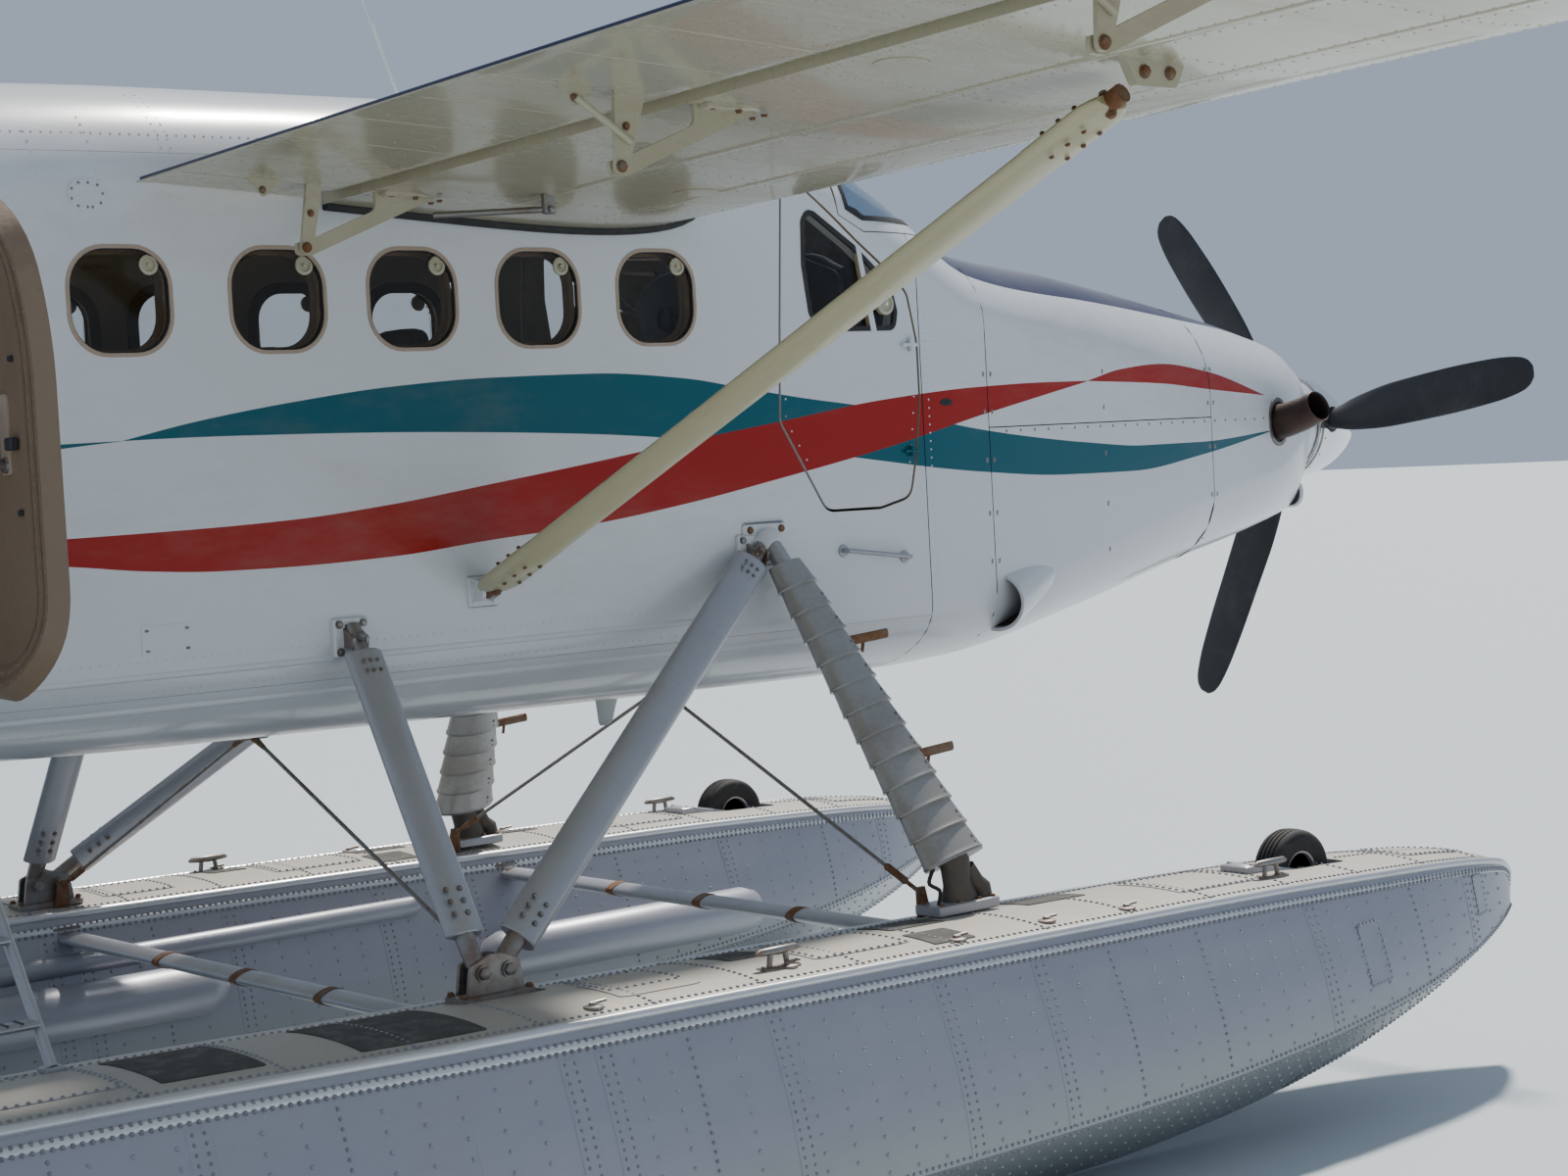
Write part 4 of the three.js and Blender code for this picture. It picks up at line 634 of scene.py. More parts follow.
def flat_mesh(keep, cuts, paints, spacing):
    """Triangles of a flat region with holes, and for each one the paint that it lies in."""
    lines = [keep, *cuts, *paints]
    low, high = keep.min(0) - 1e-6, keep.max(0)
    gx, gy = np.meshgrid(np.arange(low[0], high[0], spacing[0]), np.arange(low[1], high[1], spacing[1]))
    gx[1::2] += spacing[0] / 2
    grid = points_of(gx.ravel(), gy.ravel())
    grid = grid[inside(grid, keep)]
    for hole in cuts:
        grid = grid[~inside(grid, hole)]
    grid = grid[~near_lines(grid, lines, min(spacing) * 0.45)]
    points, edges = [grid], []
    count = len(grid)
    for line in lines:
        points.append(line)
        edges.extend((count + i, count + (i + 1) % len(line)) for i in range(len(line)))
        count += len(line)
    found = delaunay_2d_cdt([Vector(p) for p in np.concatenate(points)], edges, [], 0, 1e-7)
    spots = np.array([tuple(p) for p in found[0]])
    triangles = np.array([t for t in found[2]])
    middle = spots[triangles].mean(1)
    good = inside(middle, keep)
    for hole in cuts:
        good &= ~inside(middle, hole)
    a, b, c = (spots[triangles[:, i]] for i in range(3))
    area = (b[:, 0] - a[:, 0]) * (c[:, 1] - a[:, 1]) - (b[:, 1] - a[:, 1]) * (c[:, 0] - a[:, 0])
    triangles[area < 0] = triangles[area < 0][:, ::-1]
    good &= np.abs(area) > 1e-9
    triangles, middle = triangles[good], middle[good]
    paint = np.zeros(len(triangles), np.int32)
    for index, polygon in enumerate(paints):
        paint[inside(middle, polygon)] = index + 1
    used = np.unique(triangles)
    place = np.full(len(spots), -1)
    place[used] = np.arange(len(used))
    return spots[used], place[triangles], paint


def shell(name, keep, cuts=(), paints=(), finishes=(WHITE,), lining=TRIM, thickness=0.06,
          spacing=(0.07, 0.05),
          body="airframe", slot="white_paint", stands_for=(), move=None, surface=skin, normal=skin_normal,
          inset=0.0, rim=None):
    """A panel of skin with real thickness. finishes are the ground coat and one for each paint."""
    spots, triangles, paint = flat_mesh(keep, list(cuts), list(paints), spacing)
    out = normal(spots[:, 0], spots[:, 1])
    outer = surface(spots[:, 0], spots[:, 1]) - inset * out
    inner = outer - thickness * out
    count = len(spots)
    edges = {}
    for t in triangles:
        for a, b in ((t[0], t[1]), (t[1], t[2]), (t[2], t[0])):
            edges[(a, b)] = True
    border = [(a, b) for a, b in edges if (b, a) not in edges]
    faces = [list(t) for t in triangles]
    faces += [[count + t[2], count + t[1], count + t[0]] for t in triangles]
    faces += [[b, a, count + a, count + b] for a, b in border]
    inner_index = len(finishes)
    rim_index = inner_index if rim is None else inner_index + 1
    index = np.concatenate([paint, np.full(len(triangles), inner_index), np.full(len(border), rim_index)])
    corner = np.zeros((6 * len(triangles) + 4 * len(border), 3))
    corner[:3 * len(triangles)] = out[triangles.ravel()]
    corner[3 * len(triangles):6 * len(triangles)] = -out[triangles[:, ::-1].ravel()]
    points = np.concatenate([outer, inner])
    if move is not None:
        points, corner = move(points, corner)
    all_finishes = [*finishes, lining] + ([] if rim is None else [rim])
    return make(name, points, faces, all_finishes, body, stands_for, index, corner)


def plate(name, outline, finish_, thickness, spacing, hole=None, **rest):
    """A thin plate in one finish, laid on the skin or into it."""
    shell(name, outline, () if hole is None else [hole], (), [finish_], finish_, thickness, spacing, **rest)


# Openings in the skin, in the side view
WALL = 0.06
SEAM = 0.010
FIREWALL_X, BULKHEAD_X = 1.375, -3.68
ROOF_Z, BELLY_Z = 1.13, -0.47
WINDOW_X = [0.175, -0.307, -0.787, -1.266, -1.786]
WINDOW = {"half": 0.165, "height": 0.16, "radius": 0.12, "z": 0.695}
CABIN_DOOR = rounded_box(-3.11, -2.34, -0.39, 0.93, 0.21)
CABIN_DOOR_PANE = rounded_box(-2.89, -2.56, 0.535, 0.855, 0.12)
CABIN_DOOR_OPEN = 90.0
CARGO_DOOR = (-3.48, -2.30, -0.39, 0.75)
CARGO_CORNER, CARGO_MEETING_CORNER = 0.06, 0.005
COCKPIT_DOOR = rounded(
    [(0.692, 0.26), (0.887, -0.058), (1.144, -0.060), (1.290, -0.028), (1.331, 0.130), (1.358, 0.330),
     (1.358, 0.524), (1.320, 0.700), (1.272, 0.755), (1.080, 0.895), (0.853, 1.075), (0.800, 1.090),
     (0.750, 1.062), (0.714, 0.585)], 0.06)
COCKPIT_PANE = rounded(
    [(0.891, 0.582), (1.250, 0.582), (1.262, 0.640), (1.236, 0.737), (1.069, 0.872), (0.890, 0.985),
     (0.862, 0.990), (0.840, 0.960), (0.834, 0.807), (0.856, 0.640)], 0.03)
SCREEN = np.array([(0.985, 1.33), (1.01, 0.985), (1.13, 0.925), (1.70, 0.925), (1.70, 1.33)])


def window_outline(x, grow=0.0):
    half, height = WINDOW["half"] + grow, WINDOW["height"] + grow
    return rounded_box(x - half, x + half, WINDOW["z"] - height, WINDOW["z"] + height,
                       WINDOW["radius"] + grow)


# Painted ribbons: upper and lower edges in the side view, each row a station and a height
TEAL_TOP = [(-1.81, 0.288), (-1.57, 0.336), (-1.235, 0.385), (-0.88, 0.423), (-0.51, 0.442), (-0.10, 0.446),
            (0.28, 0.421), (0.54, 0.380), (0.80, 0.340), (1.075, 0.304), (1.36, 0.256), (1.65, 0.205),
            (1.96, 0.165), (2.33, 0.130), (2.73, 0.105), (3.15, 0.105), (3.75, 0.135)]
TEAL_LOW = [(-1.81, 0.288), (-1.57, 0.290), (-1.24, 0.287), (-0.89, 0.280), (-0.53, 0.267), (-0.10, 0.245),
            (0.27, 0.215), (0.70, 0.165), (1.15, 0.105), (1.45, 0.065), (1.70, 0.040), (2.16, 0.010),
            (2.66, 0.005), (3.15, 0.050), (3.75, 0.130)]
TEAL_TAIL_TOP = [(-7.4, 0.66), (-6.2, 0.560), (-5.0, 0.440), (-3.8, 0.330), (-2.6, 0.278), (-1.81, 0.288)]
TEAL_TAIL_LOW = [(-7.4, 0.66), (-6.2, 0.500), (-5.0, 0.345), (-3.8, 0.235), (-2.6, 0.235), (-1.81, 0.287)]
RED_TOP = [(-2.75, 0.010), (-1.97, 0.014), (-1.59, 0.018), (-1.26, 0.028), (-0.91, 0.056), (-0.54, 0.101),
           (-0.15, 0.150), (0.27, 0.208), (0.70, 0.262), (1.17, 0.322), (1.66, 0.357), (2.08, 0.368),
           (2.36, 0.369)]
RED_LOW = [(-2.75, 0.008), (-1.97, -0.070), (-1.76, -0.096), (-1.52, -0.112), (-1.27, -0.115),
           (-0.92, -0.107),
           (-0.55, -0.078), (-0.16, -0.052), (0.25, -0.004), (0.69, 0.065), (1.16, 0.145), (1.66, 0.246),
           (2.08, 0.320), (2.36, 0.367)]
RED_LENS_TOP = [(2.36, 0.369), (2.59, 0.412), (2.88, 0.430), (3.24, 0.396), (3.72, 0.290)]
RED_LENS_LOW = [(2.36, 0.368), (2.88, 0.350), (3.23, 0.322), (3.72, 0.288)]
RED_TAIL_TOP = [(-7.6, 0.50), (-6.4, 0.360), (-5.2, 0.225), (-4.0, 0.105), (-2.75, 0.010)]
RED_TAIL_LOW = [(-7.6, 0.50), (-6.4, 0.270), (-5.2, 0.090), (-4.0, -0.010), (-2.75, 0.006)]


def ribbon(top, low, side, step=0.05):
    """A painted ribbon between two smooth edges."""
    xs = np.arange(top[0][0], top[-1][0], step)
    xs = np.append(xs, top[-1][0])
    upper, lower = (smooth_curve(*zip(*rows))(xs) for rows in (top, low))
    lower = np.minimum(lower, upper - 0.0006)
    outline = np.concatenate([points_of(xs, lower), points_of(xs, upper)[::-1]])
    return points_of(outline[:, 0], loop_of(outline[:, 0], outline[:, 1], side))


def stripes(side):
    return [ribbon(TEAL_TOP, TEAL_LOW, side), ribbon(TEAL_TAIL_TOP, TEAL_TAIL_LOW, side),
            ribbon(RED_TOP, RED_LOW, side), ribbon(RED_LENS_TOP, RED_LENS_LOW, side),
            ribbon(RED_TAIL_TOP, RED_TAIL_LOW, side)]


STRIPE_PAINTS = [TEAL, TEAL, RED, RED, RED]
BAND_ROWS = [(1.40, 0.72), (1.75, 0.74), (2.20, 0.72), (2.70, 0.66), (3.20, 0.58), (3.60, 0.50),
             (3.86, 0.44)]


def navy_band():
    """The navy band ahead of the windscreen, as half widths round the section from the top line."""
    xs = np.linspace(BAND_ROWS[0][0], BAND_ROWS[-1][0], 50)
    half = smooth_curve(*zip(*BAND_ROWS))(xs)
    return np.concatenate([points_of(xs, HALF - half), points_of(xs, HALF + half)[::-1]])


def around_region(x0, x1, z, over=True, step=0.04):
    """The region of skin between two stations, above or below a height."""
    xs = np.append(np.arange(x0, x1, step), x1)
    first, second = loop_of(xs, z, STARBOARD), loop_of(xs, z, PORT)
    if not over:
        first, second = second - 2 * HALF, first
    ends = [points_of(x, np.linspace(a, b, 26)[1:-1])
            for x, a, b in ((x1, first[-1], second[-1]), (x0, second[0], first[0]))]
    return np.concatenate([points_of(xs, first), ends[0], points_of(xs, second)[::-1], ends[1]])


def side_region(x0, x1, z0, z1, side):
    return on_side([(x0, z0), (x1, z0), (x1, z1), (x0, z1)], side)


def turned_about(x, y, degrees):
    """A turn about an upright line, for points and normals."""
    turn = np.array(Matrix.Rotation(math.radians(degrees), 3, "Z"))
    pivot = np.array([x, y, 0.0])
    return lambda points, normals: ((points - pivot) @ turn.T + pivot, normals @ turn.T)


open_cabin_door = turned_about(-2.33, -(body_at(-2.34, 0) + 0.018), CABIN_DOOR_OPEN)


def cabin_shell():
    for side, name in SIDE_NAMES.items():
        door = CABIN_DOOR if side == STARBOARD else rounded_box(*CARGO_DOOR, CARGO_CORNER)
        cuts = [on_side(window_outline(x), side) for x in WINDOW_X]
        cuts += [on_side(grown(door, SEAM), side), on_side(grown(COCKPIT_DOOR, SEAM), side),
                 on_side(SCREEN, side)]
        nodes_here = [f"cabin_side_{name}"] + (["door_surround_starboard"] if side == STARBOARD else [])
        shell(f"cabin_skin_{name}", side_region(BULKHEAD_X, FIREWALL_X, BELLY_Z, ROOF_Z, side), cuts,
              stripes(side), [WHITE, *STRIPE_PAINTS], TRIM, WALL, stands_for=nodes_here)
    cuts = [on_side(grown(COCKPIT_DOOR, SEAM), side) for side in SIDE_NAMES]
    xs = np.array([0.985, 1.0, 1.01, 1.38])
    loops = [loop_of(xs, [1.33, 1.1, 0.985, 0.985], side) for side in (STARBOARD, PORT)]
    screen = np.concatenate([points_of(xs, loops[0]), points_of(xs, loops[1])[::-1]])
    shell("cabin_roof_skin", around_region(BULKHEAD_X, FIREWALL_X, ROOF_Z + 0.001), [*cuts, screen],
          stands_for=["cabin_roof"])
    shell("cabin_belly_skin", around_region(BULKHEAD_X, FIREWALL_X, BELLY_Z - 0.001, over=False),
          lining=FLOOR_CARPET, thickness=0.07)


def whole_region(x0, x1, step=0.06):
    """The skin all round between two stations, slit along the keel line."""
    xs = np.append(np.arange(x0, x1, step), x1)
    loops = np.linspace(0, 2 * HALF, 90)[1:-1]
    return np.concatenate([
        points_of(xs, 0.0), points_of(x1, loops),
        points_of(xs, 2 * HALF)[::-1], points_of(x0, loops[::-1])])


def tail_cone():
    marks = [m for side in SIDE_NAMES for m in stripes(side)]
    paints = STRIPE_PAINTS * 2
    picked = [i for i, mark in enumerate(marks) if mark[:, 0].min() < BULKHEAD_X]
    shell("tail_cone_skin", whole_region(-8.29, BULKHEAD_X - 0.002), (), [marks[i] for i in picked],
          [WHITE, *[paints[i] for i in picked]], DARK_TRIM, 0.032, (0.09, 0.06), stands_for=["tail_cone"])


def doors():
    for side, name in SIDE_NAMES.items():
        shell(f"cockpit_door_skin_{name}", on_side(COCKPIT_DOOR, side), [on_side(COCKPIT_PANE, side)],
              stripes(side), [WHITE, *STRIPE_PAINTS], TRIM, WALL, body=f"cockpit_door_{name}",
              stands_for=[f"cockpit_door_{name}"], rim=WHITE)
    shell("cabin_door_skin", on_side(CABIN_DOOR), [on_side(CABIN_DOOR_PANE)], stripes(STARBOARD),
          [WHITE, *STRIPE_PAINTS], DOOR_TAN, WALL, body="cabin_door", stands_for=["cabin_door_starboard"],
          move=open_cabin_door)
    rear, front, low, high = CARGO_DOOR
    middle, meet = (rear + front) / 2, CARGO_MEETING_CORNER
    for name, x0, x1, corners in (
            ("fore", middle + SEAM / 2, front, (meet, CARGO_CORNER, CARGO_CORNER, meet)),
            ("aft", rear, middle - SEAM / 2, (CARGO_CORNER, meet, meet, CARGO_CORNER))):
        outline = rounded([(x0, low), (x1, low), (x1, high), (x0, high)], corners)
        shell(f"cargo_door_{name}_skin", on_side(outline, PORT), (), stripes(PORT), [WHITE, *STRIPE_PAINTS],
              TRIM, WALL, body=f"cargo_door_{name}", stands_for=[f"cargo_door_{name}"], rim=WHITE)


# Rivets along lines

def fill_rivets(n, given, leave):
    """Small heads at even steps along every line of a mesh, each standing in the direction given there."""
    curve = n.put("GeometryNodeMeshToCurve", {"Mesh": given["Lines"]}).outputs["Curve"]
    stepped = n.put("GeometryNodeResampleCurve", {"Curve": curve, "Length": given["Spacing"]},
                    mode="LENGTH")
    top = n.put("ShaderNodeMath", {0: given["Radius"], 1: 0.55}, operation="MULTIPLY").outputs[0]
    head = n.put("GeometryNodeMeshCone", {"Vertices": given["Sides"], "Radius Top": top,
                                          "Radius Bottom": given["Radius"], "Depth": given["Height"]},
                 fill_type="NGON").outputs["Mesh"]
    out = n.put("GeometryNodeInputNamedAttribute", {"Name": "out"}, data_type="FLOAT_VECTOR")
    turn = n.put("FunctionNodeAlignRotationToVector", {"Vector": out.outputs["Attribute"]}, axis="Z")
    placed = n.put("GeometryNodeInstanceOnPoints", {"Points": stepped.outputs["Curve"], "Instance": head,
                                                    "Rotation": turn.outputs["Rotation"]})
    real = n.put("GeometryNodeRealizeInstances", {"Geometry": placed.outputs["Instances"]})
    coated = n.put("GeometryNodeSetMaterial", {"Geometry": real.outputs["Geometry"],
                                               "Material": given["Finish"]})
    n.tree.links.new(coated.outputs["Geometry"], leave.inputs["Heads"])


RIVET_LINES = new_tree(
    "GeometryNodeTree", "rivet_lines",
    [("Lines", "NodeSocketGeometry", None), ("Spacing", "NodeSocketFloat", 0.03),
     ("Radius", "NodeSocketFloat", 0.005), ("Height", "NodeSocketFloat", 0.003),
     ("Sides", "NodeSocketInt", 6), ("Finish", "NodeSocketMaterial", None)],
    [("Heads", "NodeSocketGeometry")], fill_rivets)


# Rivets and screws: spacing, head radius and head height
HEADS = {"spinner": (0.075, 0.005, 0.0015), "wing": (0.045, 0.0042, 0.0016),
         "panel_edge": (0.055, 0.0048, 0.002),
         "panel": (0.04, 0.0036, 0.0012), "rudder": (0.04, 0.004, 0.0016),
         "tailplane": (0.04, 0.004, 0.0018),
         "float_close": (0.026, 0.0072, 0.0050), "float_wide": (0.052, 0.0074, 0.0050),
         "float_seam": (0.026, 0.0066, 0.0048), "float_plate": (0.022, 0.0062, 0.004),
         "hatch": (0.030, 0.0072, 0.005),
         "pylon": (0.021, 0.0055, 0.004), "fuselage": (0.030, 0.0042, 0.0016),
         "cowl": (0.085, 0.0065, 0.0022),
         "cover": (0.028, 0.0048, 0.002), "cockpit_door": (0.06, 0.004, 0.0016),
         "cabin_door": (0.055, 0.0042, 0.002)}
HEAD_SIDES = 6


def rivets(name, lines, finish_, kind, body="airframe"):
    """Heads along lines; each line is its points and the direction out at each."""
    points, outs, edges = [], [], []
    for spots, out in lines:
        spots = np.asarray(spots, float)
        base = len(points)
        points.extend(spots.tolist())
        outs.extend(np.broadcast_to(np.asarray(out, float), spots.shape).tolist())
        edges.extend((base + i, base + i + 1) for i in range(len(spots) - 1))
    mesh = bpy.data.meshes.new(name)
    mesh.from_pydata((np.array(points) + DATUM).tolist(), edges, [])
    attribute = mesh.attributes.new("out", "FLOAT_VECTOR", "POINT")
    attribute.data.foreach_set("vector", np.array(outs).ravel())
    piece = bpy.data.objects.new(name, mesh)
    bpy.context.scene.collection.objects.link(piece)
    modifier = piece.modifiers.new("grown", "NODES")
    modifier.node_group = RIVET_LINES
    spacing, radius, height = HEADS[kind]
    values = {"Spacing": spacing, "Radius": radius, "Height": height, "Sides": HEAD_SIDES,
              "Finish": finish_}
    for socket in RIVET_LINES.interface.items_tree:
        if socket.in_out == "INPUT" and socket.name in values:
            modifier[socket.identifier] = values[socket.name]
    bpy.context.view_layer.update()
    grown_mesh = bpy.data.meshes.new_from_object(piece.evaluated_get(bpy.context.evaluated_depsgraph_get()))
    bpy.data.objects.remove(piece)
    return set_up(bpy.data.objects.new(name, grown_mesh), body, ())


def skin_line(xs, loops, lift=0.0):
    """A line on the fuselage skin and the direction out of it."""
    xs, loops = np.broadcast_arrays(np.asarray(xs, float), np.asarray(loops, float))
    out = skin_normal(xs, loops)
    return skin(xs, loops) + lift * out, out


# Cowling, nose and windscreen
COWL_REAR_X, COWL_NOSE_X, COWL_SPLIT_Z = 1.735, 3.25, 0.205
COWL_WALL = 0.045
PANEL_GAP = 0.004
NOSE_END_X = 4.20
HUB = np.array([4.43, 0, 0.142])
TILT = math.radians(5.5)
THRUST = np.array([math.cos(TILT), 0, -math.sin(TILT)])
SEAT_UP = np.array([math.sin(TILT), 0, math.cos(TILT)])
EXHAUST_X, EXHAUST_Z = 3.84, 0.172
PIPE_OUTER, PIPE_INNER = 0.068, 0.061


def screen_region(amount):
    """The windscreen's opening, smaller by an amount all round."""
    xs = np.linspace(1.01 + amount, 1.70 - amount, 24)
    z = np.interp(xs, [1.01, 1.13, 1.70], [0.985, 0.925, 0.925]) + amount
    first = loop_of(xs, z, STARBOARD)
    across = np.linspace(first[-1], 2 * HALF - first[-1], 40)[1:-1]
    back = np.linspace(2 * HALF - first[0], first[0], 40)[1:-1]
    return np.concatenate([points_of(xs, first), points_of(xs[-1], across),
                           points_of(xs, 2 * HALF - first)[::-1], points_of(xs[0], back)])


def half_of(region, side, post):
    """The part of a region on one side of the top line, clear of a centre post."""
    first, second = HALF - post, HALF + post
    kept = np.array(region)
    if side == STARBOARD:
        kept[:, 1] = np.minimum(kept[:, 1], first)
    else:
        kept[:, 1] = np.maximum(kept[:, 1], second)
    same = np.linalg.norm(kept - np.roll(kept, 1, axis=0), axis=1) < 1e-6
    return kept[~same]


def below(polygons):
    return [points_of(p[:, 0], p[:, 1] - 2 * HALF) for p in polygons]


def cowl():
    marks = [*stripes(STARBOARD), *stripes(PORT), navy_band()]
    finishes = [WHITE, *STRIPE_PAINTS, *STRIPE_PAINTS, NAVY]
    xs = np.linspace(FIREWALL_X - 0.05, 1.70, 12)
    first = loop_of(xs, 0.925, STARBOARD)
    hole = np.concatenate([points_of(xs, first), points_of(xs, 2 * HALF - first)[::-1]])
    shell("cowl_ring_skin", whole_region(FIREWALL_X + PANEL_GAP, COWL_REAR_X - PANEL_GAP / 2), [hole],
          marks, finishes, SEAL, COWL_WALL, (0.06, 0.05), stands_for=["cowl_rear_ring"])
    x0, x1 = COWL_REAR_X + PANEL_GAP / 2, COWL_NOSE_X - PANEL_GAP / 2
    shell("cowl_upper_skin", around_region(x0, x1, COWL_SPLIT_Z + PANEL_GAP / 2), (), marks, finishes, SEAL,
          COWL_WALL, (0.06, 0.05), stands_for=["cowl_upper"])
    shell("cowl_lower_skin", around_region(x0, x1, COWL_SPLIT_Z - PANEL_GAP / 2, over=False), (),
          [*stripes(STARBOARD), *below(stripes(PORT))], [WHITE, *STRIPE_PAINTS, *STRIPE_PAINTS], SEAL,
          COWL_WALL, (0.06, 0.05), stands_for=["cowl_lower"])
    shell("nose_bowl_skin", whole_region(COWL_NOSE_X + PANEL_GAP / 2, NOSE_END_X, 0.04), (), marks,
          finishes, SEAL, COWL_WALL, (0.05, 0.05), stands_for=["cowl_nose"])
    nose_front()


def collar_ring(distance, radius, angles):
    """A circle about the propeller's line, in the order of the skin's own section."""
    y, z = -np.sin(angles) * radius, -np.cos(angles) * radius
    return HUB + THRUST * distance + np.outer(y, (0, 1, 0)) + np.outer(z, SEAT_UP)


def nose_front():
    """The front of the bowl: a chin below and a round collar behind the spinner."""
    loops = np.linspace(0, 2 * HALF, 97)[:-1]
    start = skin(NOSE_END_X, loops)
    middle = np.array([NOSE_END_X, 0, 0.165])
    angles = np.arctan2(-(start[:, 1] - middle[1]), -(start[:, 2] - middle[2]))
    inner = collar_ring(-0.21, 0.272, angles)
    shapes = Shapes()
    rings = []
    for t in np.linspace(0, 1, 9):
        bulge = 0.035 * math.sin(math.pi * min(1, t * 1.1))
        ring = start * (1 - t) + inner * t
        ring[:, 0] = start[:, 0] + (inner[:, 0] - start[:, 0]) * t ** 2 + bulge
        rings.append(ring)
    rings += [collar_ring(d, r, angles) for d, r in ((-0.19, 0.268), (-0.12, 0.243), (-0.101, 0.236),
                                                     (-0.096, 0.228), (-0.10, 0.218), (-0.17, 0.21))]
    shapes.loft(rings, 0)
    shapes.make("nose_collar", [WHITE], slot="white_paint", sharp=50)
    # A black disc closes the gap behind the spinner: painted shade for the dark space inside the collar.
    ring = Shapes()
    ring.lathe([(-0.168, 0), (-0.168, 0.207), (-0.128, 0.207), (-0.128, 0)], HUB, THRUST, 48)
    ring.make("spinner_gap_shade_disc", [SEAL], slot="panel")
    mouth = Shapes()
    outline = rounded_box(-0.19, 0.19, -0.205, -0.095, 0.05)
    edge = points_of(NOSE_END_X + 0.052, outline[:, 0], outline[:, 1])
    mouth.tube(np.concatenate([edge, edge[:2]]), 0.011, 10)
    mouth.make("intake_lip", [WHITE], slot="white_paint")
    # A black plate closes the intake mouth: painted shade for the dark duct behind it, with the screen's
    # steel bars in front.
    throat = Shapes()
    throat.slab(edge - np.array([0.012, 0, 0]), (1, 0, 0), 0.018)
    for y in np.linspace(-0.15, 0.15, 9):
        throat.slab([(NOSE_END_X + 0.046, y - 0.003, -0.2), (NOSE_END_X + 0.046, y + 0.003, -0.2),
                     (NOSE_END_X + 0.046, y + 0.003, -0.1), (NOSE_END_X + 0.046, y - 0.003, -0.1)],
                    (1, 0, 0), 0.012, 1)
    throat.make("intake_screen_and_shade", [SEAL, STEEL], slot="panel")


def spinner():
    shapes = Shapes()
    profile = [(-0.078, 0.0), (-0.078, 0.228), (-0.072, 0.237), (-0.02, 0.239), (0.03, 0.232),
               (0.08, 0.218),
               (0.13, 0.200), (0.18, 0.178), (0.23, 0.152), (0.28, 0.121), (0.32, 0.094), (0.36, 0.064),
               (0.39, 0.041), (0.408, 0.024), (0.418, 0.010), (0.4215, 0.0)]
    shapes.lathe(profile, HUB, THRUST, 72)
    shapes.make("spinner_shell", [POLISHED], body="propeller", slot="polished", stands_for=["spinner"],
                sharp=50)
    band = Shapes()
    band.lathe([(-0.064, 0.22), (-0.064, 0.2392), (-0.052, 0.2392), (-0.052, 0.22)], HUB, THRUST, 72)
    band.make("spinner_joint", [STEEL], body="propeller", slot="bare_steel")
    heads = []
    angles = np.linspace(0, 2 * np.pi, 73)
    heads.append((collar_ring(-0.036, 0.2385, angles), collar_ring(0, 1, angles) - HUB))
    rivets("spinner_screws", heads, STEEL, "spinner", "propeller")


# Propeller blades: share of the radius, chord, thickness, pitch in degrees
BLADE_ROWS = [(0.075, 0.100, 0.096, -38), (0.12, 0.098, 0.090, -36), (0.17, 0.104, 0.070, -32),
              (0.28, 0.168, 0.040, -20), (0.45, 0.204, 0.026, -9), (0.65, 0.206, 0.020, -3),
              (0.84, 0.190, 0.014, -1), (0.95, 0.150, 0.010, 0), (0.985, 0.104, 0.008, 0),
              (1.0, 0.050, 0.005, 0)]
BLADE_RADIUS = 1.32
BLADE_ANGLES = [-38.1, 81.9, 201.9]


def propeller():
    chord, thick, pitch = columns(BLADE_ROWS)
    shapes = Shapes()
    boots = Shapes()
    turn = circle(24)
    for angle in BLADE_ANGLES:
        a = math.radians(angle)
        out = np.array([0, -math.sin(a), 0]) + math.cos(a) * SEAT_UP
        around = np.cross(out, THRUST)
        rings = []
        for share in np.concatenate([np.linspace(0.075, 0.94, 30),
                                     [0.96, 0.975, 0.985, 0.993, 0.998, 1.0]]):
            p = math.radians(float(pitch(share)))
            flat = np.cos(turn) * float(chord(share)) / 2
            hollow = 0.35 * (np.cos(turn) < 0) * np.cos(turn) ** 2
            lift = np.sin(turn) * float(thick(share)) / 2 * (1 - hollow)
            x = flat * math.sin(p) + lift * math.cos(p)
            y = flat * math.cos(p) - lift * math.sin(p)
            rings.append(HUB + out * share * BLADE_RADIUS + np.outer(x, THRUST) + np.outer(y, -around))
        shapes.loft(rings)
        boots.lathe([(0.17, 0), (0.17, 0.062), (0.228, 0.062), (0.238, 0.054), (0.252, 0.052), (0.252, 0)],
                    HUB, out, 32)
    shapes.make("propeller_blades", [BLADE_BLACK], body="propeller", slot="blade_paint",
                stands_for=["propeller"], sharp=60)
    boots.make("blade_root_seals", [SEAL], body="propeller", slot="blade_paint")


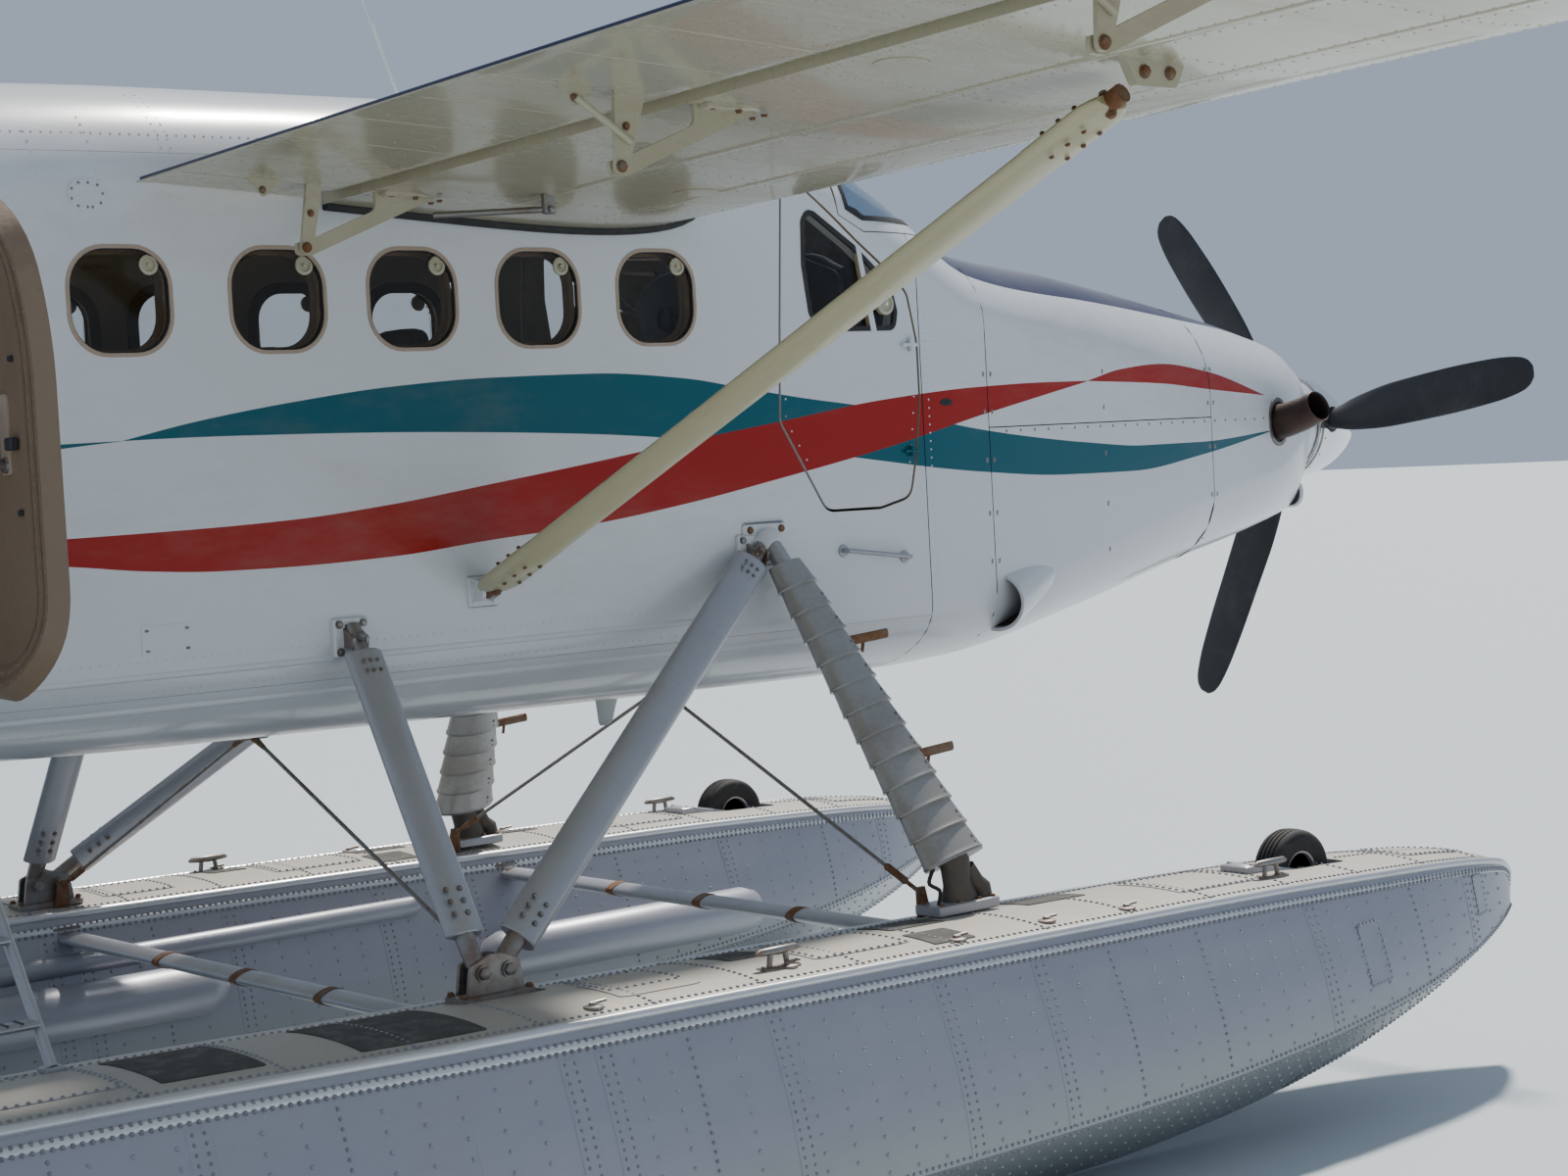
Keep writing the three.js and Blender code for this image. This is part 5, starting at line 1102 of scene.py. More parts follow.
def exhausts():
    for side, name in SIDE_NAMES.items():
        path = smooth_path([(EXHAUST_X, side * 0.31, EXHAUST_Z), (EXHAUST_X, side * 0.42, EXHAUST_Z),
                            (EXHAUST_X + 0.008, side * 0.53, EXHAUST_Z + 0.022),
                            (EXHAUST_X + 0.016, side * 0.625, EXHAUST_Z + 0.056)], 16)
        pipe = Shapes()
        turn = circle(40)[:, None]
        tangents = np.gradient(path, axis=0)
        tangents /= np.linalg.norm(tangents, axis=1, keepdims=True)
        along = np.array([1.0, 0, 0])

        def ring(i, radius, ahead=0.0, tall=1.0):
            up = np.cross(tangents[i], along)
            return (path[i] + tangents[i] * ahead
                    + radius * (np.cos(turn) * along + tall * np.sin(turn) * up))

        tall = np.interp(np.arange(16), [0, 6, 15], [1.18, 1.1, 1.0])
        outer = [ring(i, PIPE_OUTER, tall=tall[i]) for i in range(16)]
        lip = [ring(15, 0.0695, 0.004), ring(15, 0.067, 0.008), ring(15, 0.0625, 0.005)]
        inner = [ring(i, PIPE_INNER, tall=tall[i]) for i in range(15, -1, -1)]
        pipe.loft([*outer, *lip, *inner, outer[0]], caps=False)
        pipe.make(f"exhaust_stack_{name}", [BURNT], slot="burnt_steel", stands_for=[f"exhaust_{name}"],
                  sharp=50)
        # A black plug inside each pipe: soot, and painted shade for the pipe's dark depth.
        soot_and_shade_plug = Shapes()
        soot_and_shade_plug.loft([ring(2, 0.0605, tall=tall[2]), ring(3, 0.0605, tall=tall[3])])
        soot_and_shade_plug.make(f"exhaust_dark_{name}", [SEAL], slot="burnt_steel")
        outline, hole = (
            rounded_box(EXHAUST_X - half, EXHAUST_X + half, EXHAUST_Z - tall, EXHAUST_Z + tall, corner)
            for half, tall, corner in ((0.088, 0.105, 0.085), (0.074, 0.088, 0.072)))
        plate(f"exhaust_collar_{name}", on_side(outline, side, 0.02), STEEL, 0.010, (0.02, 0.02),
              hole=on_side(hole, side, 0.02), slot="bare_steel", inset=-0.006)
        plate(f"exhaust_shadow_{name}", on_side(grown(hole, 0.004), side, 0.02), SEAL, 0.004, (0.03, 0.03),
              slot="panel", inset=-0.0015)


def smooth_path(points, count):
    """A curve through points, at even steps of its parameter."""
    points = np.asarray(points, float)
    t = np.linspace(0, 1, len(points))
    return np.stack([smooth_curve(t, points[:, k])(np.linspace(0, 1, count)) for k in range(3)], -1)


def windscreen():
    outer, inner = screen_region(0.004), screen_region(0.05)
    panes = [half_of(inner, side, 0.028) for side in (STARBOARD, PORT)]
    shell("windscreen_frame", outer, panes, (), [WHITE], TRIM, 0.024, (0.05, 0.04),
          stands_for=["windscreen"])
    for side, name in SIDE_NAMES.items():
        pane = half_of(screen_region(0.052), side, 0.030)
        plate(f"windscreen_pane_{name}", pane, SCREEN_GLASS, 0.008, (0.05, 0.04), slot="glass", inset=0.004)
        seal = half_of(screen_region(0.042), side, 0.020)
        plate(f"windscreen_seal_{name}", seal, SEAL, 0.006, (0.05, 0.04),
              hole=half_of(screen_region(0.06), side, 0.038), slot="panel", inset=-0.003)


# Windows: kind, growth of the outline and of the hole, finish, thickness, slot and depth in the skin
WINDOW_RINGS = [("frame", 0.004, -0.008, FRAME_TAN, 0.013, "trim", -0.002),
                ("seal", -0.007, -0.012, SEAL, 0.012, "panel", 0.003),
                ("pane", -0.014, None, GLASS, 0.005, "glass", 0.010),
                ("reveal", 0.02, -0.02, DARK_TRIM, 0.010, "trim", WALL + 0.0005)]


def windows():
    for side, name in SIDE_NAMES.items():
        vents = Shapes()
        for x in WINDOW_X:
            spot, out = side_spot(x + 0.10, WINDOW["z"] + 0.105, side, -0.012)
            vents.lathe([(0.001, 0.0), (0.001, 0.030), (0.007, 0.030), (0.009, 0.026), (0.009, 0.020),
                         (0.004, 0.017), (0.003, 0.0)], spot, out, 24)
            vents.lathe([(0.003, 0.0), (0.003, 0.007), (0.012, 0.006), (0.014, 0.0)], spot, out, 16)
        vents.make(f"window_vents_{name}", [CREAM], slot="trim", sharp=50)
        for i, x in enumerate(WINDOW_X):
            label = f"{name}_{i + 1}"
            for kind, grow, hole, finish_, thick, slot, inset in WINDOW_RINGS:
                ring = hole is not None
                plate(f"window_{kind}_{label}", on_side(window_outline(x, grow), side), finish_, thick,
                      (0.03, 0.03) if ring else (0.05, 0.05), slot=slot, inset=inset,
                      hole=on_side(window_outline(x, hole), side) if ring else None,
                      stands_for=[f"cabin_window_sheet_{name}"] if kind == "pane" and i == 0 else ())


# Wings
WING_LE_X, CHORD, WING_Z, ROOT_Y = 0.377, 2.13, 1.03, 0.8224
SLOPE = math.tan(math.radians(2.16))
THICKNESS, CAMBER, HINGE_CUT = 0.145, 0.028, 0.69
WING_ROWS = [(ROOT_Y, 1, 1), (8.68, 1, 1), (8.74, 0.975, 0.90), (8.80, 0.93, 0.72), (8.83, 0.86, 0.55),
             (8.85, 0.72, 0.30)]
FLAP_SPAN, AILERON_SPAN = (0.90, 5.56), (5.58, 8.64)
FLAP_PIVOT = (-1.33, 0.215)
FLAP_ARMS_Y = [1.1, 2.65, 4.3, 5.35]
STRUT_ROOT, STRUT_TOP = np.array([-0.594, 0.842, -0.239]), np.array([-0.45, 3.55, 0.985])


def foil(t, upper):
    t = np.asarray(t, float)
    curve = 0.2969 * np.sqrt(t) - 0.126 * t - 0.3516 * t ** 2 + 0.2843 * t ** 3 - 0.1036 * t ** 4
    half = 5 * THICKNESS * curve
    return CAMBER * 4 * t * (1 - t) + np.where(upper, half, -half)


def wing_z(y):
    return WING_Z + (np.abs(y) - 0.822) * SLOPE


def mirrored(side, points):
    return np.asarray(points, float) * np.array([1, side, 1])


def low_skin(share, y):
    """A point on the wing's lower skin at a share of the chord."""
    share, y = np.broadcast_arrays(np.asarray(share, float), np.asarray(y, float))
    return points_of(WING_LE_X - CHORD * share, y, wing_z(y) + CHORD * foil(share, False))


def high_skin(share, y):
    share, y = np.broadcast_arrays(np.asarray(share, float), np.asarray(y, float))
    return points_of(WING_LE_X - CHORD * share, y, wing_z(y) + CHORD * foil(share, True))


def wing_panel(side, name):
    shares = HINGE_CUT * (1 - np.cos(np.linspace(0, np.pi / 2, 26)))
    shapes = Shapes()
    rings = []
    for y, chord_share, thin in WING_ROWS:
        chord = CHORD * chord_share
        lead = WING_LE_X - CHORD * (1 - chord_share) * 0.35
        upper = [(lead - chord * t, y, wing_z(y) + chord * thin * float(foil(t, True))) for t in shares]
        lower = [(lead - chord * t, y, wing_z(y) + chord * thin * float(foil(t, False)))
                 for t in shares[:0:-1]]
        rings.append(mirrored(side, upper + lower))
    shapes.loft(rings)
    for y in FLAP_ARMS_Y:
        z = wing_z(y)
        x, low = FLAP_PIVOT[0], z - FLAP_PIVOT[1]
        arm = rounded([(-0.86, z - 0.06), (x + 0.026, low - 0.022), (x - 0.024, low - 0.022),
                       (x - 0.024, low + 0.014),
                       (x + 0.03, low + 0.026), (-1.075, z - 0.10), (-1.075, z - 0.03), (-1.0, z + 0.02)],
                      [0.004, 0.024, 0.020, 0.010, 0.03, 0.03, 0.004, 0.004])
        shapes.slab([(px, side * (y - 0.009), pz) for px, pz in arm], (0, 1, 0), 0.012)
    x, y = STRUT_TOP[0], STRUT_TOP[1]
    z = wing_z(y)
    lug = rounded([(x - 0.13, z - 0.04), (x - 0.07, z - 0.15), (x + 0.07, z - 0.15), (x + 0.13, z - 0.04)],
                  [0.004, 0.03, 0.03, 0.004])
    shapes.slab([(px, side * (y + 0.1), pz) for px, pz in lug], (0, 1, 0), 0.028)
    shapes.make(f"wing_skin_{name}", [CREAM], slot="cream_paint", stands_for=[f"wing_{name}"], sharp=32)
    beads = Shapes()
    for share, y0, y1 in ((0.26, 1.0, 8.5), (0.46, 1.0, 8.5)):
        ys = np.linspace(y0, y1, 30)
        path = mirrored(side, low_skin(share, ys) + np.array([0, 0, 0.0035]))
        radius = np.minimum(1, np.minimum(ys - y0, y1 - ys) / 0.12) * 0.030 + 0.0005
        beads.tube(path, radius, 10, flatten=0.22, along=(1, 0, 0))
    beads.make(f"wing_ridges_{name}", [CREAM], slot="cream_paint", sharp=60)
    plates = Shapes()
    for px, py in ((-0.25, 1.6), (-0.85, 2.1), (-0.30, 5.0), (-0.95, 3.3), (-0.25, 6.9)):
        spots = [(px + 0.07 * math.cos(a), py + 0.07 * math.sin(a)) for a in circle(24)]
        ring = [mirrored(side, low_skin((WING_LE_X - a) / CHORD, b)) for a, b in spots]
        plates.slab(ring, (0, 0, 1), 0.005)
    plates.make(f"wing_covers_{name}", [CREAM], slot="cream_paint")
    down = mirrored(side, (0, 0, -1))
    rows = []
    for share in (0.10, 0.26, 0.46, 0.675):
        for shift in ((0.0,) if share < 0.2 or share > 0.6 else (-0.016, 0.016)):
            ys = np.linspace(0.9, 8.62, 60)
            rows.append((mirrored(side, low_skin(share + shift, ys)), down))
    for y in np.arange(1.25, 8.6, 0.62):
        rows.append((mirrored(side, low_skin(np.linspace(0.05, 0.68, 24), y)), down))
        rows.append((mirrored(side, high_skin(np.linspace(0.03, 0.68, 24), y)), (0, 0, 1)))
    rivets(f"wing_rivets_{name}", rows, CREAM, "wing")


def rear_panel(side, span, front, drop):
    """A flap or aileron with a rounded nose, and where its lower face is at a share of its chord."""
    chord = CHORD * (1 - front)
    shares = np.concatenate([0.16 * (1 - np.cos(np.linspace(0, np.pi / 2, 9))), np.linspace(0.22, 1, 11)])
    full_up, full_low = (CHORD * foil(front + (1 - front) * shares, up) for up in (True, False))
    middle = full_low + drop * (full_up - full_low)
    nose = np.where(shares >= 0.16, 1.0, np.sqrt(np.clip(1 - (1 - shares / 0.16) ** 2, 0, 1)))
    upper, lower = middle + (full_up - middle) * nose, middle + (full_low - middle) * nose
    lead = WING_LE_X - CHORD * front
    rings = []
    for y in np.linspace(span[0], span[1], 3):
        z = wing_z(y)
        top = [(lead - chord * t, y, z + h) for t, h in zip(shares, upper)]
        low = [(lead - chord * t, y, z + h) for t, h in zip(shares[-2:0:-1], lower[-2:0:-1])]
        rings.append(mirrored(side, [*top, (lead - chord, y, z + lower[-1] - 0.004), *low]))
    shapes = Shapes()
    shapes.loft(rings)
    heights = smooth_curve(shares, lower)

    def under(t, y):
        return mirrored(side, points_of(lead - chord * np.asarray(t), y, wing_z(y) + heights(t)))

    return shapes, under


def flap(side, name):
    body = f"flap_{name}"
    shapes, under = rear_panel(side, FLAP_SPAN, HINGE_CUT + 0.006, 0.4)
    for y in FLAP_ARMS_Y:
        z = wing_z(y)
        x, low = FLAP_PIVOT[0], z - FLAP_PIVOT[1]
        wide = 0.052 if y < 2 else 0.105
        lever = rounded([(x + 0.020, low - 0.018), (x + 0.045 + wide / 2, z),
                         (x + 0.045 - wide / 2, z + 0.01),
                         (x - 0.020, low - 0.018)], [0.018, 0.012, 0.012, 0.018])
        shapes.slab([(px, side * (y + 0.009), pz) for px, pz in lever], (0, 1, 0), 0.012)
        horn = [(x - 0.19, z - 0.005), (x - 0.05, z), (x - 0.128, z - 0.072)]
        shapes.slab([(px, side * (y + 0.009), pz) for px, pz in rounded(horn, 0.012)], (0, 1, 0), 0.012)
        if y > 2:
            ends = [(x - 0.135, side * (y + 0.022), low + 0.165),
                    (x + 0.03, side * (y + 0.022), low + 0.06)]
            shapes.tube(ends, 0.0095, 10)
    shapes.make(f"flap_skin_{name}", [CREAM], body, "cream_paint", [f"flap_{name}"], 32)
    rear_details(name, "flap", under, FLAP_SPAN)
    pins = Shapes()
    for y in FLAP_ARMS_Y:
        x, low = FLAP_PIVOT[0], float(wing_z(y)) - FLAP_PIVOT[1]
        pins.bolt((x, side * (y + 0.015), low), (0, side, 0), 0.013)
        for dx, dz in ((0.020, 0.10), (-0.135, 0.165)):
            pins.bolt((x + dx, side * (y + 0.015), low + dz), (0, side, 0), 0.009)
    pins.make(f"flap_pins_{name}", [RUST], body, "bare_steel")


def rear_details(name, kind, under, span):
    body = f"{kind}_{name}"
    down = (0, 0, -1)
    rows = [(under(0.955, np.linspace(span[0] + 0.02, span[1] - 0.02, 40)), down)]
    rivets(f"{kind}_edge_rivets_{name}", rows, STEEL, "panel_edge", body)
    lines = [(under(np.linspace(0.12, 0.97, 14), y), down)
             for y in np.arange(span[0] + 0.12, span[1], 0.155)]
    lines += [(under(share, np.linspace(span[0] + 0.02, span[1] - 0.02, 40)), down)
              for share in (0.12, 0.34)]
    rivets(f"{kind}_rivets_{name}", lines, CREAM, "panel", body)
    ribs = Shapes()
    for y in np.arange(span[0] + 0.20, span[1] - 0.1, 0.31):
        path = under(np.linspace(0.16, 0.93, 12), y)
        path[:, 2] += 0.003
        ribs.tube(path, 0.0085, 8, flatten=0.5, along=(0, 1, 0))
    ribs.make(f"{kind}_ribs_{name}", [CREAM], body, "cream_paint", sharp=60)
    edge = Shapes()
    edge.tube(under(0.992, np.linspace(span[0] + 0.02, span[1] - 0.02, 12)) + np.array([0, 0, 0.005]),
              0.0055, 8, flatten=0.7, along=(0, 0, 1))
    edge.make(f"{kind}_edge_line_{name}", [NAVY], body, "cream_paint")


def aileron(side, name):
    body = f"aileron_{name}"
    shapes, under = rear_panel(side, AILERON_SPAN, HINGE_CUT + 0.012, 0.5)
    shapes.make(f"aileron_skin_{name}", [CREAM], body, "cream_paint", [f"aileron_{name}"], 32)
    rear_details(name, "aileron", under, AILERON_SPAN)


def wing_fittings(side, name):
    """Root seal, brackets under the wing and the control rod beside the inner flap arm."""
    seal = Shapes()
    shares = np.linspace(0.02, 0.69, 30)
    path = mirrored(side, low_skin(shares, ROOT_Y + 0.012))
    path[:, 2] -= 0.002
    seal.tube(path, 0.019, 10)
    path = mirrored(side, high_skin(shares[::-1], ROOT_Y + 0.012))
    seal.tube(path, 0.014, 10)
    seal.make(f"wing_root_seal_{name}", [SEAL], slot="panel")
    parts = Shapes()
    for y in FLAP_ARMS_Y:
        z = float(wing_z(y))
        x, low = FLAP_PIVOT[0], z - FLAP_PIVOT[1]
        parts.bolt((x, side * (y - 0.015), low), (0, -side, 0), 0.013)
        for px, drop in ((-0.93, 0.062), (-1.03, 0.055), (-1.05, 0.085)):
            parts.bolt((px, side * (y - 0.015), z - drop), (0, -side, 0), 0.010)
        foot = low_skin((WING_LE_X + 0.95) / CHORD, y)
        parts.block(foot * (1, side, 1) - (0.11, 0.035, 0.006), foot * (1, side, 1) + (0.11, 0.035, 0.012),
                    1)
        for dx, dy in product((-0.085, 0.0, 0.085), (-0.024, 0.024)):
            spot = low_skin((WING_LE_X + 0.95 - dx) / CHORD, y + dy) * (1, side, 1)
            parts.bolt(spot - (0, 0, 0.008), (0, 0, -1), 0.008)
    x, y = STRUT_TOP[0], STRUT_TOP[1]
    z = float(wing_z(y)) - 0.115
    for dx in (-0.045, 0.045):
        parts.bolt((x + dx, side * (y + 0.114), z), (0, side, 0), 0.014)
    parts.make(f"wing_bolts_{name}", [RUST, CREAM], slot="bare_steel")
    rod = Shapes()
    start = low_skin(0.47, 1.35) * (1, side, 1) - (0, 0, 0.045)
    end = low_skin(0.60, 1.14) * (1, side, 1) - (0, 0, 0.06)
    rod.tube([start, end], 0.010, 12)
    rod.block(start - (0.02, 0.012, 0.015), start + (0.02, 0.012, 0.055))
    rod.bolt(start + (0, side * 0.012, 0), (0, side, 0), 0.010)
    rod.make(f"flap_rod_{name}", [STEEL], slot="bare_steel")


# Struts: half the chord, half the thickness, how blunt the section is and how much it tapers
STRUT_SECTION = (0.0825, 0.035, 0.86, 0.30)
LEG_SECTION = (0.064, 0.033, 0.88, 0.26)
BAR_SECTION = (0.046, 0.029, 0.88, 0.25)
PYLON_BLUNT, PYLON_TAPER = 0.92, 0.16


def strut_frame(start, end):
    """A strut's length, and the directions down it, ahead and across."""
    length = np.linalg.norm(end - start)
    axis = (end - start) / length
    along = np.array([1.0, 0, 0]) - axis * axis[0]
    along /= np.linalg.norm(along)
    return length, axis, along, np.cross(axis, along)


def streamlined(centre, along, across, section, count, scale=1.0):
    """A section that is thicker ahead than behind."""
    chord, thick, blunt, taper = section
    turn = circle(count)
    lift = np.sin(turn) * thick * (blunt + taper * np.cos(turn)) * scale
    return centre + np.outer(np.cos(turn) * chord * scale, along) + np.outer(lift, across)


def wing_strut(side, name):
    root, top = STRUT_ROOT * (1, side, 1), STRUT_TOP * (1, side, 1)
    length, axis, along, up = strut_frame(root, top)
    shapes = Shapes()
    cuff = 0.34
    stations = [(0.03, 0.62), (0.05, 0.80), (0.10, 1.0), (cuff, 1.0), (cuff + 0.002, 0.965),
                (length - 0.30, 0.965), (length - 0.298, 1.0), (length - 0.09, 1.0), (length - 0.055, 0.85),
                (length - 0.04, 0.66)]
    shapes.loft([streamlined(root + axis * d, along, up, STRUT_SECTION, 40, s) for d, s in stations])
    shapes.make(f"wing_strut_tube_{name}", [CREAM_STRUT], slot="cream_paint",
                stands_for=[f"wing_strut_{name}"], sharp=30)
    fittings = Shapes()
    for end, way in ((root, axis), (top, -axis)):
        fittings.tube([end, end + way * 0.10], 0.026, 12)
        for k in (-1, 1):
            fittings.bolt(end + way * 0.055 + up * 0.026 * k, up * k, 0.012)
    for d in (0.14, 0.20, 0.26, length - 0.25, length - 0.19, length - 0.13):
        for k, shift in product((-1, 1), (-0.03, 0.03)):
            fittings.bolt(root + axis * d + along * shift + up * k * 0.0335, up * k, 0.006)
    fittings.make(f"wing_strut_fittings_{name}", [RUST], slot="bare_steel")
    pad = Shapes()
    w = body_at(root[0], 0)
    pad.block((root[0] - 0.055, side * (w - 0.002), root[2] - 0.05),
              (root[0] + 0.055, side * (w + 0.008), root[2] + 0.05))
    for dx, dz in product((-0.038, 0.038), (-0.034, 0.034)):
        pad.bolt((root[0] + dx, side * (w + 0.008), root[2] + dz), (0, side, 0), 0.007)
    for dx in (-0.028, 0.028):
        pad.slab(rounded([(root[0] + dx, side * (w + 0.008), root[2] - 0.035),
                          (root[0] + dx, side * (w + 0.055), root[2] - 0.02),
                          (root[0] + dx, side * (w + 0.06), root[2] + 0.03),
                          (root[0] + dx, side * (w + 0.008), root[2] + 0.04)], 0.01), (1, 0, 0), 0.012)
    pad.make(f"wing_strut_root_{name}", [WHITE], slot="cream_paint")


# Tail
TAIL_Z, ROOT_CHORD, TIP_CHORD, HALF_SPAN, TAIL_HINGE_X, TAIL_END_X = 1.29, 1.56, 1.18, 3.23, -8.33, -8.95


def tail_half(x, y):
    chord = ROOT_CHORD + (TIP_CHORD - ROOT_CHORD) * abs(y) / HALF_SPAN
    s = np.clip((TAIL_END_X + chord - x) / chord, 0, 1)
    return chord * (0.05 * np.sqrt(np.minimum(1, s / 0.12)) * (1 - np.maximum(0, s - 0.3) * 1.25) + 0.003)


def tail_surface(ys, moving):
    rings = []
    for y, shrink in ys:
        chord = ROOT_CHORD + (TIP_CHORD - ROOT_CHORD) * abs(y) / HALF_SPAN
        lead = TAIL_END_X + chord
        if moving:
            x = TAIL_HINGE_X + 0.042 + (TAIL_END_X - TAIL_HINGE_X - 0.042) * np.linspace(0, 1, 16) ** 1.6
            nose = np.sqrt(np.clip(1 - (1 - np.minimum(1, (x[0] - x) / 0.05)) ** 2, 0.2, 1))
        else:
            x = lead + (TAIL_HINGE_X + 0.058 - lead) * np.linspace(0, 1, 20) ** 1.8
            nose = np.ones(20)
        half = tail_half(x, y) * nose * shrink
        rings.append(np.concatenate([points_of(x, y, TAIL_Z + half), points_of(x, y, TAIL_Z - half)[::-1]]))
    return rings


def elevator_room(side):
    spread = 0.105 + (RUDDER_HINGE_X - TAIL_END_X + 0.2) * math.tan(math.radians(25))
    room = Shapes()
    back = TAIL_END_X - 0.2
    outline = [(RUDDER_HINGE_X + 0.12, side * -0.01), (RUDDER_HINGE_X + 0.12, side * 0.075),
               (RUDDER_HINGE_X, side * 0.085), (back, side * spread), (back, side * -0.01)]
    room.loft([[(x, y, z) for x, y in outline] for z in (1.0, 1.6)])
    return room


RUDDER_HINGE_X = -8.35
FIN_BASE_Z, FIN_TOP_Z = 0.96, 2.45


def upright_section(z, x_rear, x_lead, shares, wide):
    t = (z - FIN_BASE_Z) / (FIN_TOP_Z - FIN_BASE_Z)
    half = (0.11 + (0.06 - 0.11) * t) / 2
    x = x_lead + (x_rear - x_lead) * np.asarray(shares)
    y = half * np.asarray(wide)
    return np.concatenate([points_of(x, y, z), points_of(x, -y, z)[::-1]])


def tail():
    fin_shares, rudder_shares = np.linspace(0, 1, 16) ** 1.5, np.linspace(0, 1, 16) ** 1.3
    fin_wide = smooth_curve([0, 0.02, 0.1, 0.45, 1], [0.08, 0.4, 0.8, 1, 1])(fin_shares)
    rudder_wide = smooth_curve([0, 0.05, 0.12, 0.4, 1], [0.25, 0.85, 1, 0.8, 0.08])(rudder_shares)
    rear = RUDDER_HINGE_X + 0.066
    shapes = Shapes()
    lead = smooth_curve([0.9, 1.1, 2.36, 2.41, 2.435, 2.45], [-7.27, -7.35, -8.02, -8.07, -8.11, -8.16])
    shapes.loft([upright_section(z, rear, float(lead(z)), fin_shares, fin_wide)
                 for z in (0.9, 1.1, 1.5, 1.9, 2.2, 2.36, 2.41, 2.435, 2.45)])
    shapes.loft([upright_section(z, -7.6, x, fin_shares, fin_wide)
                 for z, x in ((0.9, -6.25), (1.0, -6.62), (1.1, -7.0), (1.19, -7.33))])
    shapes.make("fin_skin", [WHITE], slot="white_paint", stands_for=["fin"], sharp=30)
    shapes = Shapes()
    rows = [(0.41, -8.79, -8.34), (0.44, -8.85, -8.31), (0.56, -8.95, -8.30), (1.4, -8.89, -8.30),
            (2.2, -8.83, -8.30), (2.33, -8.80, -8.30), (2.38, -8.775, -8.31), (2.40, -8.74, -8.34)]
    shapes.loft([upright_section(z, x0, x1, rudder_shares, rudder_wide) for z, x0, x1 in rows])
    shapes.make("rudder_skin", [WHITE], "rudder", "white_paint", ["rudder"], 30)
    heads = []
    for z in np.arange(0.7, 2.3, 0.2):
        for k in (-1, 1):
            x = np.linspace(-8.40, -8.78, 12)
            heads.append((points_of(x, k * 0.033, z), (0, k, 0)))
    rivets("rudder_rivets", heads, WHITE, "rudder", "rudder")
    for side, name in SIDE_NAMES.items():
        shapes = Shapes()
        ends = [(side * 3.19, 1), (side * 3.21, 0.85), (side * 3.23, 0.45)]
        shapes.loft(tail_surface([(side * 0.066, 1), (side * 1.6, 1), *ends], False))
        shapes.make(f"tailplane_skin_{name}", [WHITE], slot="white_paint", stands_for=[f"tailplane_{name}"],
                    sharp=30)
        shapes = Shapes()
        shapes.loft(tail_surface([(side * 0.06, 1), (side * 1.6, 1), (side * 3.19, 1), (side * 3.21, 0.85),
                                  (side * 3.226, 0.45)], True))
        shapes.make(f"elevator_skin_{name}", [WHITE], "elevators", "white_paint", [f"elevator_{name}"], 30,
                    cutters=[elevator_room(side)])
        rows = []
        for y in np.arange(0.25, 3.15, 0.29):
            chord = ROOT_CHORD + (TIP_CHORD - ROOT_CHORD) * y / HALF_SPAN
            x = np.linspace(TAIL_END_X + chord - 0.08, TAIL_HINGE_X + 0.08, 14)
            for k in (-1, 1):
                rows.append((points_of(x, side * y, TAIL_Z + k * tail_half(x, y)), (0, 0, k)))
        rivets(f"tailplane_rivets_{name}", rows, WHITE, "tailplane")


# Floats: station x, deck z, deck half width, chine half width, chine z, keel z
FLOAT_Y, KEEL_Z, STEP_X, CROWN = 1.646, -2.35, -1.52, 0.022
FLOAT_FORE = [(3.59, -1.765, 0.022, 0.026, -1.795, -1.825), (3.48, -1.622, 0.105, 0.128, -1.765, -1.905),
              (3.25, -1.548, 0.186, 0.232, -1.805, -2.012), (2.90, -1.508, 0.233, 0.335, -1.865, -2.125),
              (2.40, -1.480, 0.258, 0.412, -1.935, -2.240), (1.80, -1.458, 0.263, 0.452, -1.990, -2.315),
              (1.10, -1.444, 0.263, 0.466, -2.030, KEEL_Z), (STEP_X, -1.398, 0.263, 0.466, -2.060, KEEL_Z)]
FLOAT_AFT = [(STEP_X, -1.398, 0.263, 0.464, -2.056, KEEL_Z + 0.075),
             (-2.50, -1.372, 0.258, 0.430, -1.985, -2.150),
             (-4.00, -1.357, 0.236, 0.352, -1.870, -1.985), (-5.10, -1.352, 0.192, 0.246, -1.745, -1.830),
             (-5.50, -1.352, 0.168, 0.200, -1.700, -1.765)]
FORE_CURVES, AFT_CURVES = columns(FLOAT_FORE), columns(FLOAT_AFT)
ROLL = 0.14
MAIN_WHEEL, NOSE_WHEEL = (-1.95, -1.85), (2.325, -1.482)
MAIN_RADIUS, MAIN_WIDTH, MAIN_SPACING = 0.255, 0.150, 0.240
NOSE_RADIUS, NOSE_WIDTH = 0.158, 0.120
WATER_RUDDER_X = -5.56
RUDDER_BRACKETS_Z = (-1.42, -1.64)
RAIL_AT = 1.45  # round the half section: deck to 1, edge to 2, side to 3, bottom to 4


def three(a, b, c, t):
    """A curve through three points at 0, a half and 1."""
    return a * (2 * t - 1) * (t - 1) + b * 4 * t * (1 - t) + c * t * (2 * t - 1)


